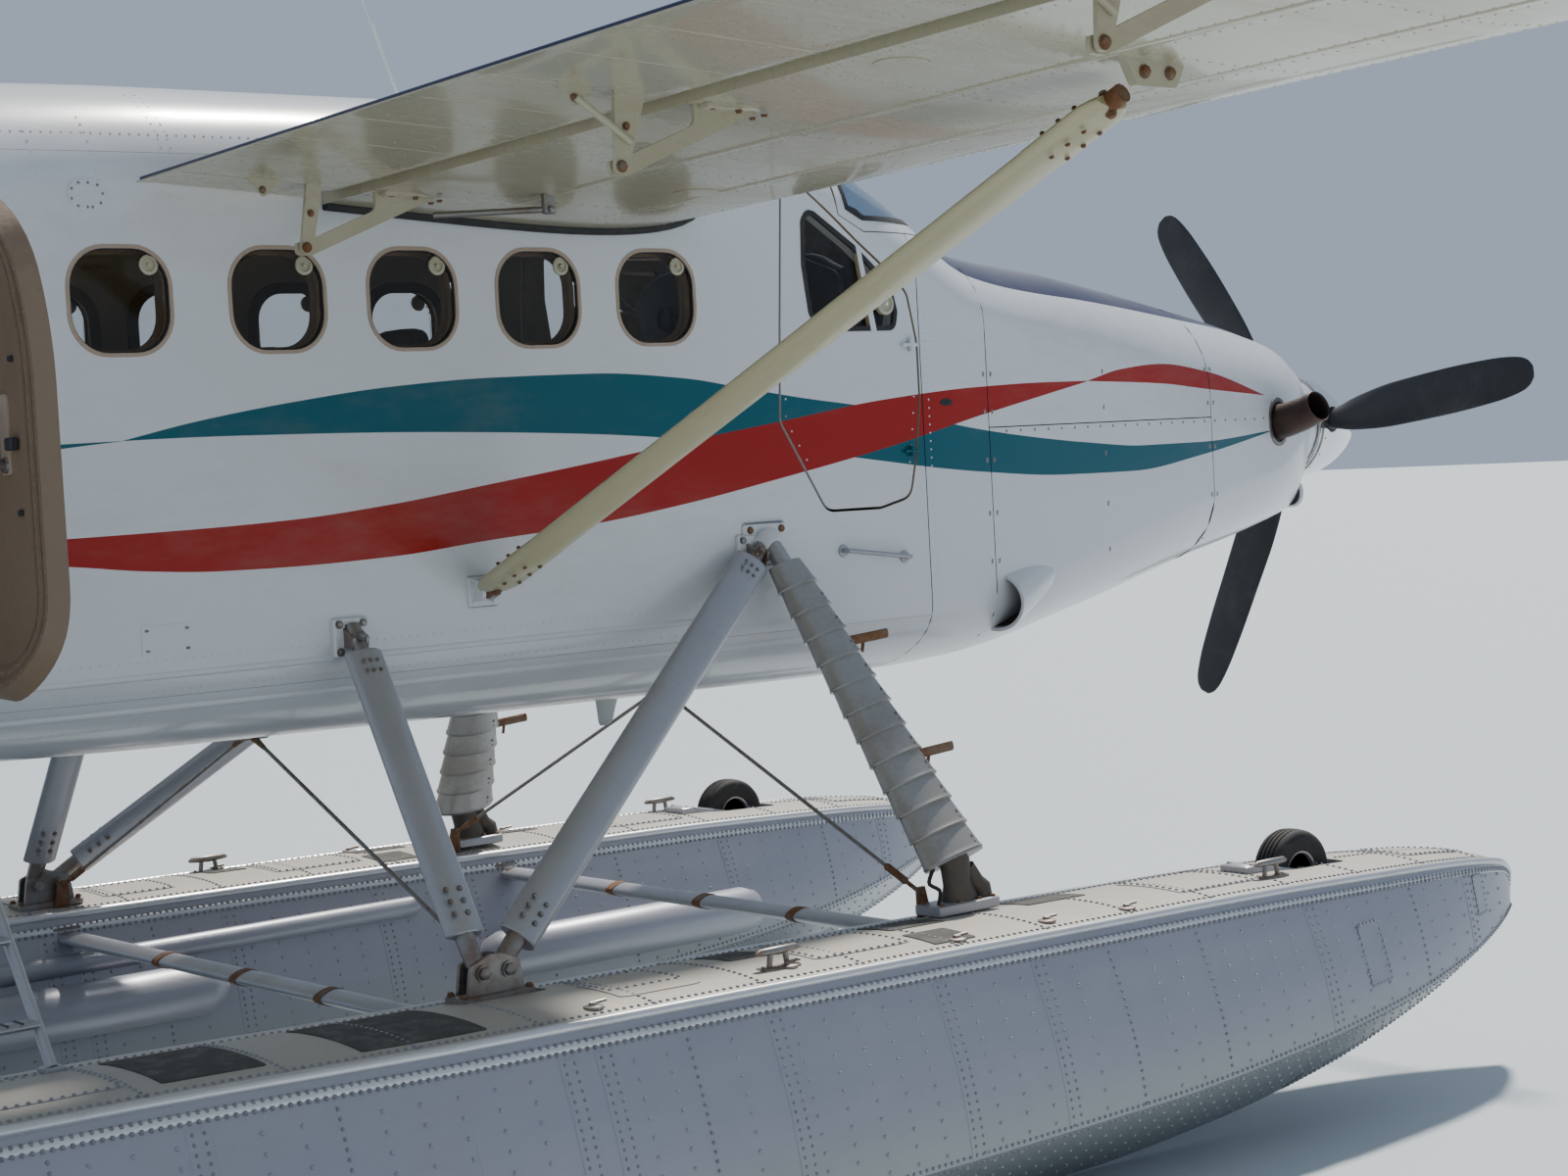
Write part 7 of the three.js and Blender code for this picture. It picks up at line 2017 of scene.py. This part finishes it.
def bracing_wires():
    for name, top, low in (("fore", 0.72, 0.69), ("aft", -1.01, -1.05)):
        bottom = body_at(top, 2)
        wires = Shapes()
        wires.block((top - 0.06, -0.04, bottom - 0.034), (top + 0.06, 0.04, bottom - 0.001), 0, 0.006)
        for side in (STARBOARD, PORT):
            a = np.array([top, side * 0.02, bottom - 0.022])
            b = np.array([low, side * (FOOT_Y - 0.07), deck_z(low) + 0.07])
            way = (b - a) / np.linalg.norm(b - a)
            wires.tube([a, b - way * 0.16], 0.0070, 12)
            wires.tube([b - way * 0.19, b - way * 0.18, b - way * 0.08, b - way * 0.07],
                       [0.006, 0.013, 0.013, 0.006], 12, 1)
            wires.tube([b - way * 0.08, b], 0.008, 10, 1)
            wires.tube([a, a + way * 0.09], [0.014, 0.008], 12, 1)
            foot = np.array([low, side * (FOOT_Y - 0.055), deck_z(low)])
            wires.slab([foot + (-0.03, 0, -0.01), foot + (0.03, 0, -0.01), b + (0.018, 0, 0.02),
                        b + (-0.018, 0, 0.02)], (0, 1, 0), 0.010, 1)
            wires.bolt(b + (0, side * 0.008, 0), (0, side, 0), 0.010, 1)
        wires.make(f"bracing_{name}", [STEEL, RUST], slot="bare_steel",
                   stands_for=[f"bracing_wires_{name}"])


LADDER_X, LADDER_TOP_Z, LADDER_HOOK_Z = (-2.45, -2.88), -0.45, -0.435
LADDER_RUNGS = (0.15, 0.4, 0.65, 0.88)  # shares of the way down


def ladder():
    x0, x1 = LADDER_X
    top = (-(body_at(-2.7, 0) + 0.03), LADDER_TOP_Z)
    foot = (-1.47, deck_z(-2.45) + 0.004)
    shapes = Shapes()

    def at(t):
        return top[0] + (foot[0] - top[0]) * t, top[1] + (foot[1] - top[1]) * t

    for x in (x0, x1):
        y_in = float(skin(x, loop_of(x, LADDER_HOOK_Z))[1]) + 0.004
        shapes.tube(smooth_path([(x, y_in, LADDER_HOOK_Z), (x, top[0] + 0.012, LADDER_HOOK_Z - 0.005),
                                 (x, *at(0.04)), (x, *at(0.5)), (x, *foot)], 24), 0.016, 14)
        shapes.block((x - 0.03, foot[0] - 0.03, foot[1] - 0.012),
                     (x + 0.03, foot[0] + 0.03, foot[1] + 0.004))
    for t in LADDER_RUNGS:
        y, z = at(t)
        shapes.block((x1, y - 0.032, z - 0.010), (x0, y + 0.032, z + 0.010), 0, 0.008)
        for k in np.linspace(x1 + 0.05, x0 - 0.05, 9):
            shapes.block((k - 0.004, y - 0.028, z + 0.008), (k + 0.004, y + 0.028, z + 0.0125), 1, 0.001)
    shapes.make("ladder_frame", [GEAR_METAL, PAD_BLACK], slot="gear_skin", stands_for=["boarding_ladder"])


# Fuselage fittings and rivets
def flat_ring(outline, amount):
    spots = dense(grown(outline, amount), 0.02)
    return np.concatenate([spots, spots[:1]])


def side_spot(x, z, side=STARBOARD, lift=0.0):
    """A point on the fuselage's side and the direction out of it."""
    loop = float(loop_of(x, z, side))
    out = skin_normal(x, loop)
    return skin(x, loop) + lift * out, out


# Rows of rivets in the side view: the two stations, the two heights and how many points between them
SIDE_RUNS = [(BULKHEAD_X, -1.15, 1.19, 1.19, 60), (-2.012, -2.012, 1.06, 1.19, 10),
             (-1.83, -1.83, 1.04, 1.24, 10),
             (-1.606, -1.606, 1.0, 1.33, 10), (-1.575, -1.575, 1.0, 1.33, 10), (-2.6, -2.6, 1.0, 1.3, 10),
             (-3.2, -3.2, 1.0, 1.28, 10), (0.40, 0.71, 0.975, 1.037, 8), (0.40, 0.71, 0.955, 1.017, 8),
             (1.40, 1.71, 0.53, 0.53, 8), (1.41, 1.41, -0.35, 0.86, 26), (-3.6, 0.45, -0.36, -0.36, 60),
             (-3.6, 0.45, -0.45, -0.45, 60), (-3.6, 0.45, -0.56, -0.56, 60)]


def along_side(x0, x1, z0, z1, count, side):
    """A line on the skin between two places in the side view."""
    x, z = np.linspace(x0, x1, count), np.linspace(z0, z1, count)
    return skin_line(x, loop_of(x, z, side))


def fuselage_rivets(side, name):
    lines = [along_side(*run, side) for run in SIDE_RUNS]
    for x in np.arange(-7.9, -3.7, 0.38):
        loops = np.linspace(0.35, 3.05, 50)
        lines.append(skin_line(np.full(50, x), loops if side == STARBOARD else 2 * HALF - loops))
    lines += [along_side(-7.9, -3.72, z, z, 80, side) for z in (0.10, 0.75)]
    rivets(f"fuselage_rivets_{name}", lines, WHITE, "fuselage")
    screws = []
    for x in (COWL_REAR_X - 0.02, COWL_REAR_X + 0.022, 2.46, COWL_NOSE_X - 0.022, COWL_NOSE_X + 0.022):
        for z in (-0.30, -0.12, 0.08, 0.26, 0.40):
            if body_at(x, 2) + 0.1 < z < body_at(x, 1) - 0.2:
                spot, out = side_spot(x, z, side)
                screws.append((np.stack([spot, spot + (0.001, 0, 0.008)]), out))
    split_z = COWL_SPLIT_Z - 0.016
    screws.append(along_side(COWL_REAR_X + 0.1, COWL_NOSE_X + 0.45, split_z, split_z, 24, side))
    rivets(f"cowl_fasteners_{name}", screws, STEEL, "cowl")


def beads(side, name):
    """Long pressed ribs low on the fuselage's side."""
    shapes = Shapes()
    for z, x0, x1, size in ((-0.405, -3.60, 0.40, 0.011), (-0.505, -3.60, 0.95, 0.013),
                            (-0.30, -3.60, -3.20, 0.009)):
        x = np.linspace(x0, x1, 60)
        spots, _ = skin_line(x, loop_of(x, z, side), -0.003)
        radius = size * np.minimum(1, np.minimum(x - x0, x1 - x) / 0.06) + 0.0006
        shapes.tube(spots, radius, 10, flatten=0.6, along=(0, 0, 1))
    shapes.make(f"fuselage_beads_{name}", [WHITE], slot="white_paint", sharp=60)
    cover = on_side(rounded_box(-1.79, -1.63, -0.345, -0.255, 0.006), side, 0.02)
    plate(f"access_plate_{name}", cover, WHITE, 0.004, (0.05, 0.05), inset=-0.0025)
    oval = rounded_box(-1.93, -1.81, 0.955, 1.045, 0.044)
    plate(f"oval_cover_{name}", on_side(oval, side, 0.02), WHITE, 0.004, (0.05, 0.05), inset=-0.0025)
    heads = []
    for x, z in product((-1.775, -1.645), (-0.33, -0.27)):
        spot, out = side_spot(x, z, side, 0.0025)
        heads.append((np.stack([spot, spot + (0.006, 0, 0)]), out))
    ring = on_side(grown(oval, -0.010), side, 0.02)
    heads.append(skin_line(ring[:, 0], ring[:, 1], 0.0025))
    rivets(f"cover_screws_{name}", heads, STEEL, "cover")


def small_fittings():
    parts = Shapes()
    for side in (STARBOARD, PORT):
        ends = [side_spot(x, z, side) for x, z in ((0.95, -0.208), (1.246, -0.248))]
        (a, out_a), (b, out_b) = ends
        parts.tube(smooth_path([a, a + out_a * 0.035, (a + b) / 2 + (out_a + out_b) * 0.021,
                                b + out_b * 0.035, b], 22), 0.0085, 12)
        for spot, out in ends:
            parts.lathe([(-0.002, 0), (-0.002, 0.024), (0.005, 0.022), (0.006, 0)], spot, out, 20)
    parts.make("step_grab_bars", [GEAR_METAL], slot="gear_skin")
    # A black oval on each side for a drain opening: painted shade in place of the hole.
    vents = Shapes()
    for side in (STARBOARD, PORT):
        spot, out = side_spot(1.50, 0.305, side)
        ring = [spot + out * 0.001 + np.array([0.032 * math.cos(a), 0, 0.013 * math.sin(a)]) for a in
                circle(20)]
        vents.slab(ring, (0, 1, 0), 0.004)
    vents.make("side_drains", [SEAL], slot="panel")
    masts = Shapes()
    for x, y, tall, lean in ((-0.35, -0.15, 0.42, -0.16), (-0.10, 0.22, 0.36, -0.12)):
        z = 1.388
        masts.tube([(x, y, z - 0.005), (x + lean * 0.1, y, z + tall * 0.1), (x + lean, y, z + tall)],
                   [0.008, 0.005, 0.0022], 10)
        masts.lathe([(-0.004, 0), (-0.004, 0.026), (0.008, 0.020), (0.018, 0.009), (0.018, 0)], (x, y, z),
                    (0, 0, 1), 20)
    masts.make("whip_antennas", [WHITE], slot="white_paint")
    blade = Shapes()
    bottom = body_at(0.40, 2)
    rings = []
    for share, down in ((1.0, -0.004), (0.98, 0.01), (0.75, 0.06), (0.62, 0.095), (0.45, 0.11),
                        (0.2, 0.114)):
        turn = circle(20)
        rings.append(points_of(0.40 - (1 - share) * 0.03 + np.cos(turn) * 0.055 * share,
                               -0.10 + np.sin(turn) * 0.011 * share, bottom - down))
    blade.loft(rings)
    blade.make("belly_antenna", [WHITE], slot="white_paint")
    lamp = Shapes()
    lamp.lathe([(-0.01, 0), (-0.01, 0.045), (0.012, 0.045), (0.02, 0.036), (0.06, 0.030), (0.072, 0.018),
                (0.076, 0)], (-2.2, 0, 1.372), (0, 0, 1), 28)
    lamp.make("roof_beacon", [RED], slot="trim")


def cooler_outlet():
    """The oil cooler's outlet low on the starboard cowl: a thin-walled scoop open to the rear."""
    curves = columns([(1.79, 0.112, 0.150, -0.455), (1.90, 0.100, 0.120, -0.420),
                      (2.06, 0.070, 0.070, -0.375), (2.21, 0.008, 0.008, -0.330)])
    turn = circle(40)

    def ring(x, inset):
        half, depth, z = (float(curve(x)) for curve in curves)
        w = body_at(x, 0)
        half, depth = max(half - inset, 0.001), max(depth - inset, 0.001)
        return points_of(x, -(w - 0.06 + np.cos(turn) * depth), z + np.sin(turn) * half)

    outer = [ring(x, 0.0) for x in np.linspace(2.208, 1.79, 22)]
    lip = [ring(1.787, 0.003), ring(1.787, 0.010)]
    inner = [ring(x, 0.013) for x in np.linspace(1.79, 2.08, 14)]
    scoop = Shapes()
    scoop.loft([*outer, *lip])
    cavity = Shapes()
    cavity.loft([ring(1.76, 0.013), *inner])
    scoop.make("cooler_outlet", [WHITE], slot="white_paint", sharp=50, cutters=[cavity])
    # Dark lining and a wall across the hollow: painted shade for the inside of the outlet.
    lining = Shapes()
    lining.loft([*[ring(x, 0.0145) for x in np.linspace(1.80, 2.07, 12)],
                 *[ring(x, 0.017) for x in np.linspace(2.07, 1.80, 12)]], caps=False)
    floor_ring = ring(2.0, 0.016)
    lining.loft([floor_ring, floor_ring + (0.004, 0, 0)])
    lining.make("cooler_outlet_shade_lining", [BURNT], slot="burnt_steel")


def cockpit_door_details(side, name):
    body = f"cockpit_door_{name}"
    pane = COCKPIT_PANE
    plate(f"cockpit_pane_{name}", on_side(grown(pane, -0.001), side), GLASS, 0.005, (0.06, 0.06), body=body,
          slot="glass", inset=0.014)
    plate(f"cockpit_pane_seal_{name}", on_side(grown(pane, 0.011), side), SEAL, 0.010, (0.03, 0.03),
          hole=on_side(grown(pane, -0.007), side), body=body, slot="panel", inset=-0.0025)
    post = [(1.083, 0.874), (1.107, 0.856), (1.165, 0.570), (1.138, 0.570)]
    shell(f"cockpit_pane_post_{name}", on_side(np.array(post), side, 0.02), (), (), [WHITE], TRIM, 0.022,
          (0.04, 0.04), body, inset=-0.004)
    parts = Shapes()
    (a, out), (b, _) = side_spot(0.819, 0.530, side), side_spot(0.914, 0.525, side)
    parts.tube([a, a + out * 0.026, b + out * 0.026, b + out * 0.020], [0.012, 0.010, 0.009, 0.006], 12)
    parts.lathe([(-0.002, 0), (-0.002, 0.020), (0.008, 0.018), (0.009, 0)], a, out, 20)
    for z, lead, size, paint in ((0.519, 1.325, 1.0, 0), (0.134, 1.305, 0.8, 2)):
        spot, out = side_spot(lead, z, side)
        parts.tube([spot + (-0.042 * size, 0, 0) + out * 0.010, spot + (0.03, 0, 0) + out * 0.012],
                   0.0075 * size, 12, paint)
        parts.tube([spot + out * 0.012 + (0, 0, -0.024 * size), spot + out * 0.012 + (0, 0, 0.024 * size)],
                   0.010 * size, 12, paint)
    spot, out = side_spot(1.215, 0.668, side)
    parts.lathe([(-0.012, 0.0), (-0.012, 0.040), (0.004, 0.040), (0.008, 0.034), (0.008, 0.028),
                 (0.002, 0.024), (0.0, 0.0)], spot, out, 28, 1)
    parts.lathe([(0.0, 0), (0.0, 0.008), (0.012, 0.007), (0.014, 0)], spot, out, 16)
    parts.make(f"cockpit_door_fittings_{name}", [WHITE, CREAM, TEAL], body, "white_paint")
    line = flat_ring(COCKPIT_DOOR, -0.022)
    around = on_side(line, side, 0.03, False)
    keep = around[line_z(around) < 0.56]
    rivets(f"cockpit_door_rivets_{name}", [skin_line(keep[:, 0], keep[:, 1])], WHITE, "cockpit_door", body)


def line_z(spots):
    return skin(spots[:, 0], spots[:, 1])[:, 2]


# Round the cabin door's window, as in WINDOW_RINGS
DOOR_RINGS = [("pane", -0.001, None, GLASS, 0.005, "glass", 0.010),
              ("pane_ring", 0.006, -0.008, FRAME_TAN, 0.010, "trim", -0.003),
              ("inner_ring", 0.030, -0.004, FRAME_TAN, 0.010, "trim", WALL - 0.003),
              ("blind", -0.012, None, CREAM, 0.003, "trim", WALL - 0.022)]


def cabin_door_details():
    door = {"body": "cabin_door", "move": open_cabin_door}
    for label, grow, hole, finish_, thick, slot, inset in DOOR_RINGS:
        ring = hole is not None
        plate(f"cabin_door_{label}", on_side(grown(CABIN_DOOR_PANE, grow)), finish_, thick,
              (0.03, 0.03) if ring else (0.05, 0.05), slot=slot, inset=inset,
              hole=on_side(grown(CABIN_DOOR_PANE, hole)) if ring else None, **door)
    for label, a, b, lift in (("edge", -0.020, -0.034, 0.004), ("panel", -0.062, -0.074, 0.003)):
        plate(f"cabin_door_{label}_bead", on_side(grown(CABIN_DOOR, a), step=0.02), DARK_TRIM, lift,
              (0.03, 0.03), hole=on_side(grown(CABIN_DOOR, b), step=0.02), slot="trim", inset=WALL - 0.0005,
              **door)
    latch = rounded_box(-2.93, -2.87, 0.20, 0.41, 0.012)
    plate("cabin_door_latch_plate", on_side(latch), FRAME_TAN, 0.006, (0.04, 0.04), slot="trim",
          inset=WALL - 0.001, **door)
    parts = Shapes()

    def inner(x, z, lift=0.0):
        spot, out = side_spot(x, z)
        return spot - out * (WALL + 0.006 + lift)

    parts.tube([inner(-2.90, 0.225), inner(-2.90, 0.225, 0.03), inner(-2.90, 0.30, 0.034),
                inner(-2.90, 0.375, 0.03)], [0.011, 0.010, 0.009, 0.006], 12)
    parts.block(inner(-2.99, 0.262) - (0, 0.004, 0), inner(-2.95, 0.296, 0.018) + (0, 0.004, 0), 1)
    parts.lathe([(0, 0), (0, 0.022), (0.007, 0.020), (0.009, 0)], inner(-2.90, 0.225), (0, 1, 0), 20)
    for z in (0.10, 0.50):
        parts.lathe([(0, 0), (0, 0.009), (0.010, 0.008), (0.011, 0)], inner(-2.98, z, -0.004), (0, 1, 0),
                    14, 1)
    for x, z in ((-2.45, 0.62), (-2.45, 0.0)):
        parts.block(inner(x, z - 0.03) - (0, 0.004, 0), inner(x + 0.07, z + 0.03, 0.006) + (0, 0.004, 0), 1)
    parts.points = open_cabin_door(np.array(parts.points), np.zeros((1, 3)))[0].tolist()
    parts.make("cabin_door_latches", [STEEL, PANEL_BLACK], "cabin_door", "bare_steel")
    heads = []
    for amount in (-0.010, -0.048):
        ring = on_side(flat_ring(CABIN_DOOR, amount), STARBOARD, 0.03, False)
        out = skin_normal(ring[:, 0], ring[:, 1])
        spots = skin(ring[:, 0], ring[:, 1]) - out * (WALL + 0.0002)
        heads.append(open_cabin_door(spots, -out))
    rivets("cabin_door_rivets", heads, STEEL, "cabin_door", "cabin_door")
    jamb = Shapes()
    for z in (0.62, 0.0):
        spot, out = side_spot(-2.31, z)
        jamb.tube([spot + out * 0.018 + (0, 0, -0.04), spot + out * 0.018 + (0, 0, 0.04)], 0.010, 12)
        jamb.tube([spot - out * 0.002, spot + out * 0.018], 0.014, 10)
    jamb.make("cabin_door_hinges", [STEEL], slot="bare_steel")


# Cabin: seats, floor, panel
def cushion(shapes, low, high, puff=0.10, pleats=0, lean=0.0, finish_index=0, count=14):
    """A stuffed block: rounded corners, swollen faces and pressed pleats across its length."""
    low, high = np.asarray(low, float), np.asarray(high, float)
    centre, half = (low + high) / 2, (high - low) / 2
    rings = []
    for v in np.sin(np.linspace(-np.pi / 2, np.pi / 2, count)):
        shrink = (1 - abs(v) ** 6) ** 0.32
        turn = circle(48)
        c, s = np.cos(turn), np.sin(turn)
        power = 0.28
        x = np.sign(c) * np.abs(c) ** power * shrink
        y = np.sign(s) * np.abs(s) ** power * shrink
        grow = 1 + puff * (1 - v * v) * (1 - np.minimum(1, np.abs(x * y)))
        across = np.cos(y * np.pi * pleats) if pleats else 0.0
        z = v * (1 + 0.05 * across) + puff * np.sign(v) * (1 - x * x) * (1 - y * y) * 0.35
        spots = points_of(centre[0] + x * half[0] * grow, centre[1] + y * half[1] * grow,
                          centre[2] + z * half[2])
        spots[:, 0] -= lean * (spots[:, 2] - low[2])
        rings.append(spots)
    shapes.loft(rings, finish_index)


FLOOR_TOP_Z = -0.40
CABIN_ROWS_X, CABIN_SEAT_Y, CABIN_SEAT = (-0.33, -1.05, -1.77), 0.46, (0.43,
                                                                       1.01)  # the last are width and height
CREW_X, CREW_SEAT_Y, CREW_SEAT = 0.56, 0.42, (0.45, 1.06)


def one_seat(cushions, frames, x, y, width, back):
    floor_z = FLOOR_TOP_Z
    half = width / 2 - 0.012
    cushion(cushions, (x - 0.20, y - half, floor_z + 0.26), (x + 0.205, y + half, floor_z + 0.368), 0.05, 4)
    cushion(cushions, (x - 0.212, y - half, floor_z + 0.40), (x - 0.150, y + half, floor_z + back - 0.17),
            0.03, 4, 0.155)
    top = floor_z + back
    cushion(cushions, (x - 0.318, y - half * 0.62, top - 0.155), (x - 0.245, y + half * 0.62, top + 0.012),
            0.04, 0, 0.02)
    for way in (-1, 1):
        edge = y + way * (half - 0.02)
        frames.tube(smooth_path([(x + 0.17, edge, floor_z + 0.255), (x - 0.15, edge, floor_z + 0.255),
                                 (x - 0.215, edge, floor_z + 0.36), (x - 0.30, edge, top - 0.12)], 16),
                    0.012, 10)
    frames.block((x - 0.11, y - 0.11, floor_z + 0.02), (x + 0.11, y + 0.11, floor_z + 0.25), 0, 0.02)
    frames.block((x - 0.16, y - 0.14, floor_z + 0.003), (x + 0.16, y + 0.14, floor_z + 0.03), 0, 0.006)


def seats():
    for side, name in SIDE_NAMES.items():
        cushions, frames = Shapes(), Shapes()
        for x in CABIN_ROWS_X:
            one_seat(cushions, frames, x, side * CABIN_SEAT_Y, *CABIN_SEAT)
        frames.block((-2.0, side * CABIN_SEAT_Y - 0.03, -0.399),
                     (-0.10, side * CABIN_SEAT_Y + 0.03, -0.372))
        cushions.make(f"cabin_cushions_{name}", [LEATHER], slot="seat", sharp=70)
        frames.make(f"cabin_seat_frames_{name}", [GEAR_METAL], slot="seat",
                    stands_for=[f"cabin_seats_{name}"])
    cushions, frames = Shapes(), Shapes()
    for side in SIDE_NAMES:
        one_seat(cushions, frames, CREW_X, side * CREW_SEAT_Y, *CREW_SEAT)
    cushions.make("crew_cushions", [LEATHER], slot="seat", sharp=70)
    frames.make("crew_seat_frames", [GEAR_METAL], slot="seat", stands_for=["crew_seats"])


def panel():
    board = Shapes()
    board.slab(rounded([(1.18, -0.618, 0.352), (1.18, 0.618, 0.352), (1.18, 0.618, 0.80),
                        (1.18, 0.40, 0.875),
                        (1.18, -0.40, 0.875), (1.18, -0.618, 0.80)], 0.06), (1, 0, 0), 0.02)
    board.block((1.19, -0.60, 0.36), (1.215, 0.60, 0.80), 0, 0.01)
    board.tube(smooth_path([(1.20, -0.615, 0.80), (1.20, -0.40, 0.868), (1.20, 0.40, 0.868),
                            (1.20, 0.615, 0.80)], 30), 0.018, 12)
    board.block((1.187, -0.128, -0.395), (1.298, 0.128, 0.40), 0, 0.02)
    for dial in product((1.168,), (-0.42, -0.30, -0.18, 0.18, 0.30, 0.42), (0.56, 0.70)):
        board.lathe([(0, 0.040), (0, 0.052), (0.012, 0.050), (0.014, 0.042), (0.006, 0.040)], dial,
                    (-1, 0, 0), 28)
        board.lathe([(0, 0), (0, 0.041), (0.002, 0.041), (0.002, 0)], dial, (-1, 0, 0), 28, 1)
    for y, z in product((-0.06, 0.0, 0.06), (0.50, 0.60, 0.70)):
        board.block((1.160, y - 0.024, z - 0.04), (1.172, y + 0.024, z + 0.04), 1)
    for y in (-0.05, 0.0, 0.05):
        board.tube([(1.20, y, 0.40), (1.16, y, 0.47)], 0.006, 8)
        board.lathe([(-0.012, 0), (-0.010, 0.012), (0.010, 0.012), (0.012, 0)], (1.16, y, 0.472), (0, 1, 0),
                    16)
    for y in (-0.42, 0.42):
        board.tube([(1.185, y, 0.46), (1.00, y, 0.44)], 0.016, 14)
        turn = np.linspace(math.radians(150), math.radians(390), 26)
        board.tube(points_of(0.995, y + np.cos(turn) * 0.13, 0.46 + np.sin(turn) * 0.11), 0.013, 10)
    board.make("instrument_board", [PANEL_BLACK, STEEL], slot="panel", stands_for=["instrument_panel"])


def cabin_floor():
    """The cabin's floor with its rails, set into the belly."""
    xs = np.linspace(BULKHEAD_X + 0.05, FIREWALL_X - 0.05, 40)
    half = np.array([abs(float(skin(x, loop_of(x, -0.42))[1])) for x in xs]) - WALL - 0.004
    shapes = Shapes()
    outline = np.concatenate([points_of(xs, half), points_of(xs, -half)[::-1]])
    shapes.loft([[(x, y, z) for x, y in outline] for z in (-0.44, -0.402)])
    for y in np.arange(-0.62, 0.63, 0.124):
        shapes.block((BULKHEAD_X + 0.08, y - 0.006, -0.404), (1.0, y + 0.006, -0.3985), 0, 0.001)
    shapes.make("cabin_floor", [FLOOR_CARPET], slot="trim", stands_for=["cabin_belly"])


CARRIED = {"rear_bulkhead": TRIM, "engine_block": STEEL}


def carried_over():
    """Finishes for the solids that show as they are."""
    for name, material in CARRIED.items():
        mesh = nodes[name].data
        mesh.materials.clear()
        mesh.materials.append(material)


camera()
carried_over()
cabin_shell()
cabin_floor()
tail_cone()
doors()
cowl()
cooler_outlet()
spinner()
propeller()
exhausts()
windscreen()
windows()
for side, name in SIDE_NAMES.items():
    wing_panel(side, name)
    flap(side, name)
    aileron(side, name)
    wing_fittings(side, name)
    wing_strut(side, name)
    float_hull(side, name)
    rub_rails(side, name)
    float_rivets(side, name)
    deck_patches(side, name)
    deck_cleats(side, name)
    wheel_arms(side, name)
    float_laps(side, name)
    float_plates(side, name)
    float_tubes(side, name)
    wheels(side, name)
    water_rudder(side, name)
    pylon(side, name)
    v_strut(side, name)
    fuselage_rivets(side, name)
    beads(side, name)
    cockpit_door_details(side, name)
cabin_door_details()
small_fittings()
seats()
panel()
tail()
spreader_bars()
bracing_wires()
ladder()


# Studio: pale floor, blue sky light, a high warm sun from ahead on the port side
FLOOR_HALF, FLOOR_CUTS, FLOOR_DROP = 120, 8, 0.002
FLOOR_COLOUR = (0.54, 0.60, 0.64)
SKY_COLOUR, SKY_STRENGTH = (0.66, 0.80, 1.0, 1), 0.54
SUN_COLOUR, SUN_POWER, SUN_WIDTH = (1.0, 0.96, 0.88), 5.2, 4
SUN_TOWARD = (-0.55, -0.35, -0.95)


def studio():
    mesh = bpy.data.meshes.new("floor")
    work = bmesh.new()
    bmesh.ops.create_grid(work, x_segments=FLOOR_CUTS, y_segments=FLOOR_CUTS, size=FLOOR_HALF)
    work.to_mesh(mesh)
    work.free()
    floor = bpy.data.objects.new("floor", mesh)
    floor.location.z = -FLOOR_DROP
    bpy.context.scene.collection.objects.link(floor)
    floor.data.materials.append(finish("pale_floor", FLOOR_COLOUR, 0.6, amount=0.0, wave=0.0, tone=0.01))
    world = bpy.data.worlds.new("studio")
    bpy.context.scene.world = world
    world.use_nodes = True
    back = next(x for x in world.node_tree.nodes if x.type == "BACKGROUND")
    back.inputs["Color"].default_value = SKY_COLOUR
    back.inputs["Strength"].default_value = SKY_STRENGTH
    sun = bpy.data.lights.new("sun", "SUN")
    sun.energy = SUN_POWER
    sun.angle = math.radians(SUN_WIDTH)
    sun.color = SUN_COLOUR
    lamp = bpy.data.objects.new("sun", sun)
    lamp.rotation_mode = "QUATERNION"
    lamp.rotation_quaternion = Vector(SUN_TOWARD).to_track_quat("-Z", "Y")
    bpy.context.scene.collection.objects.link(lamp)


studio()
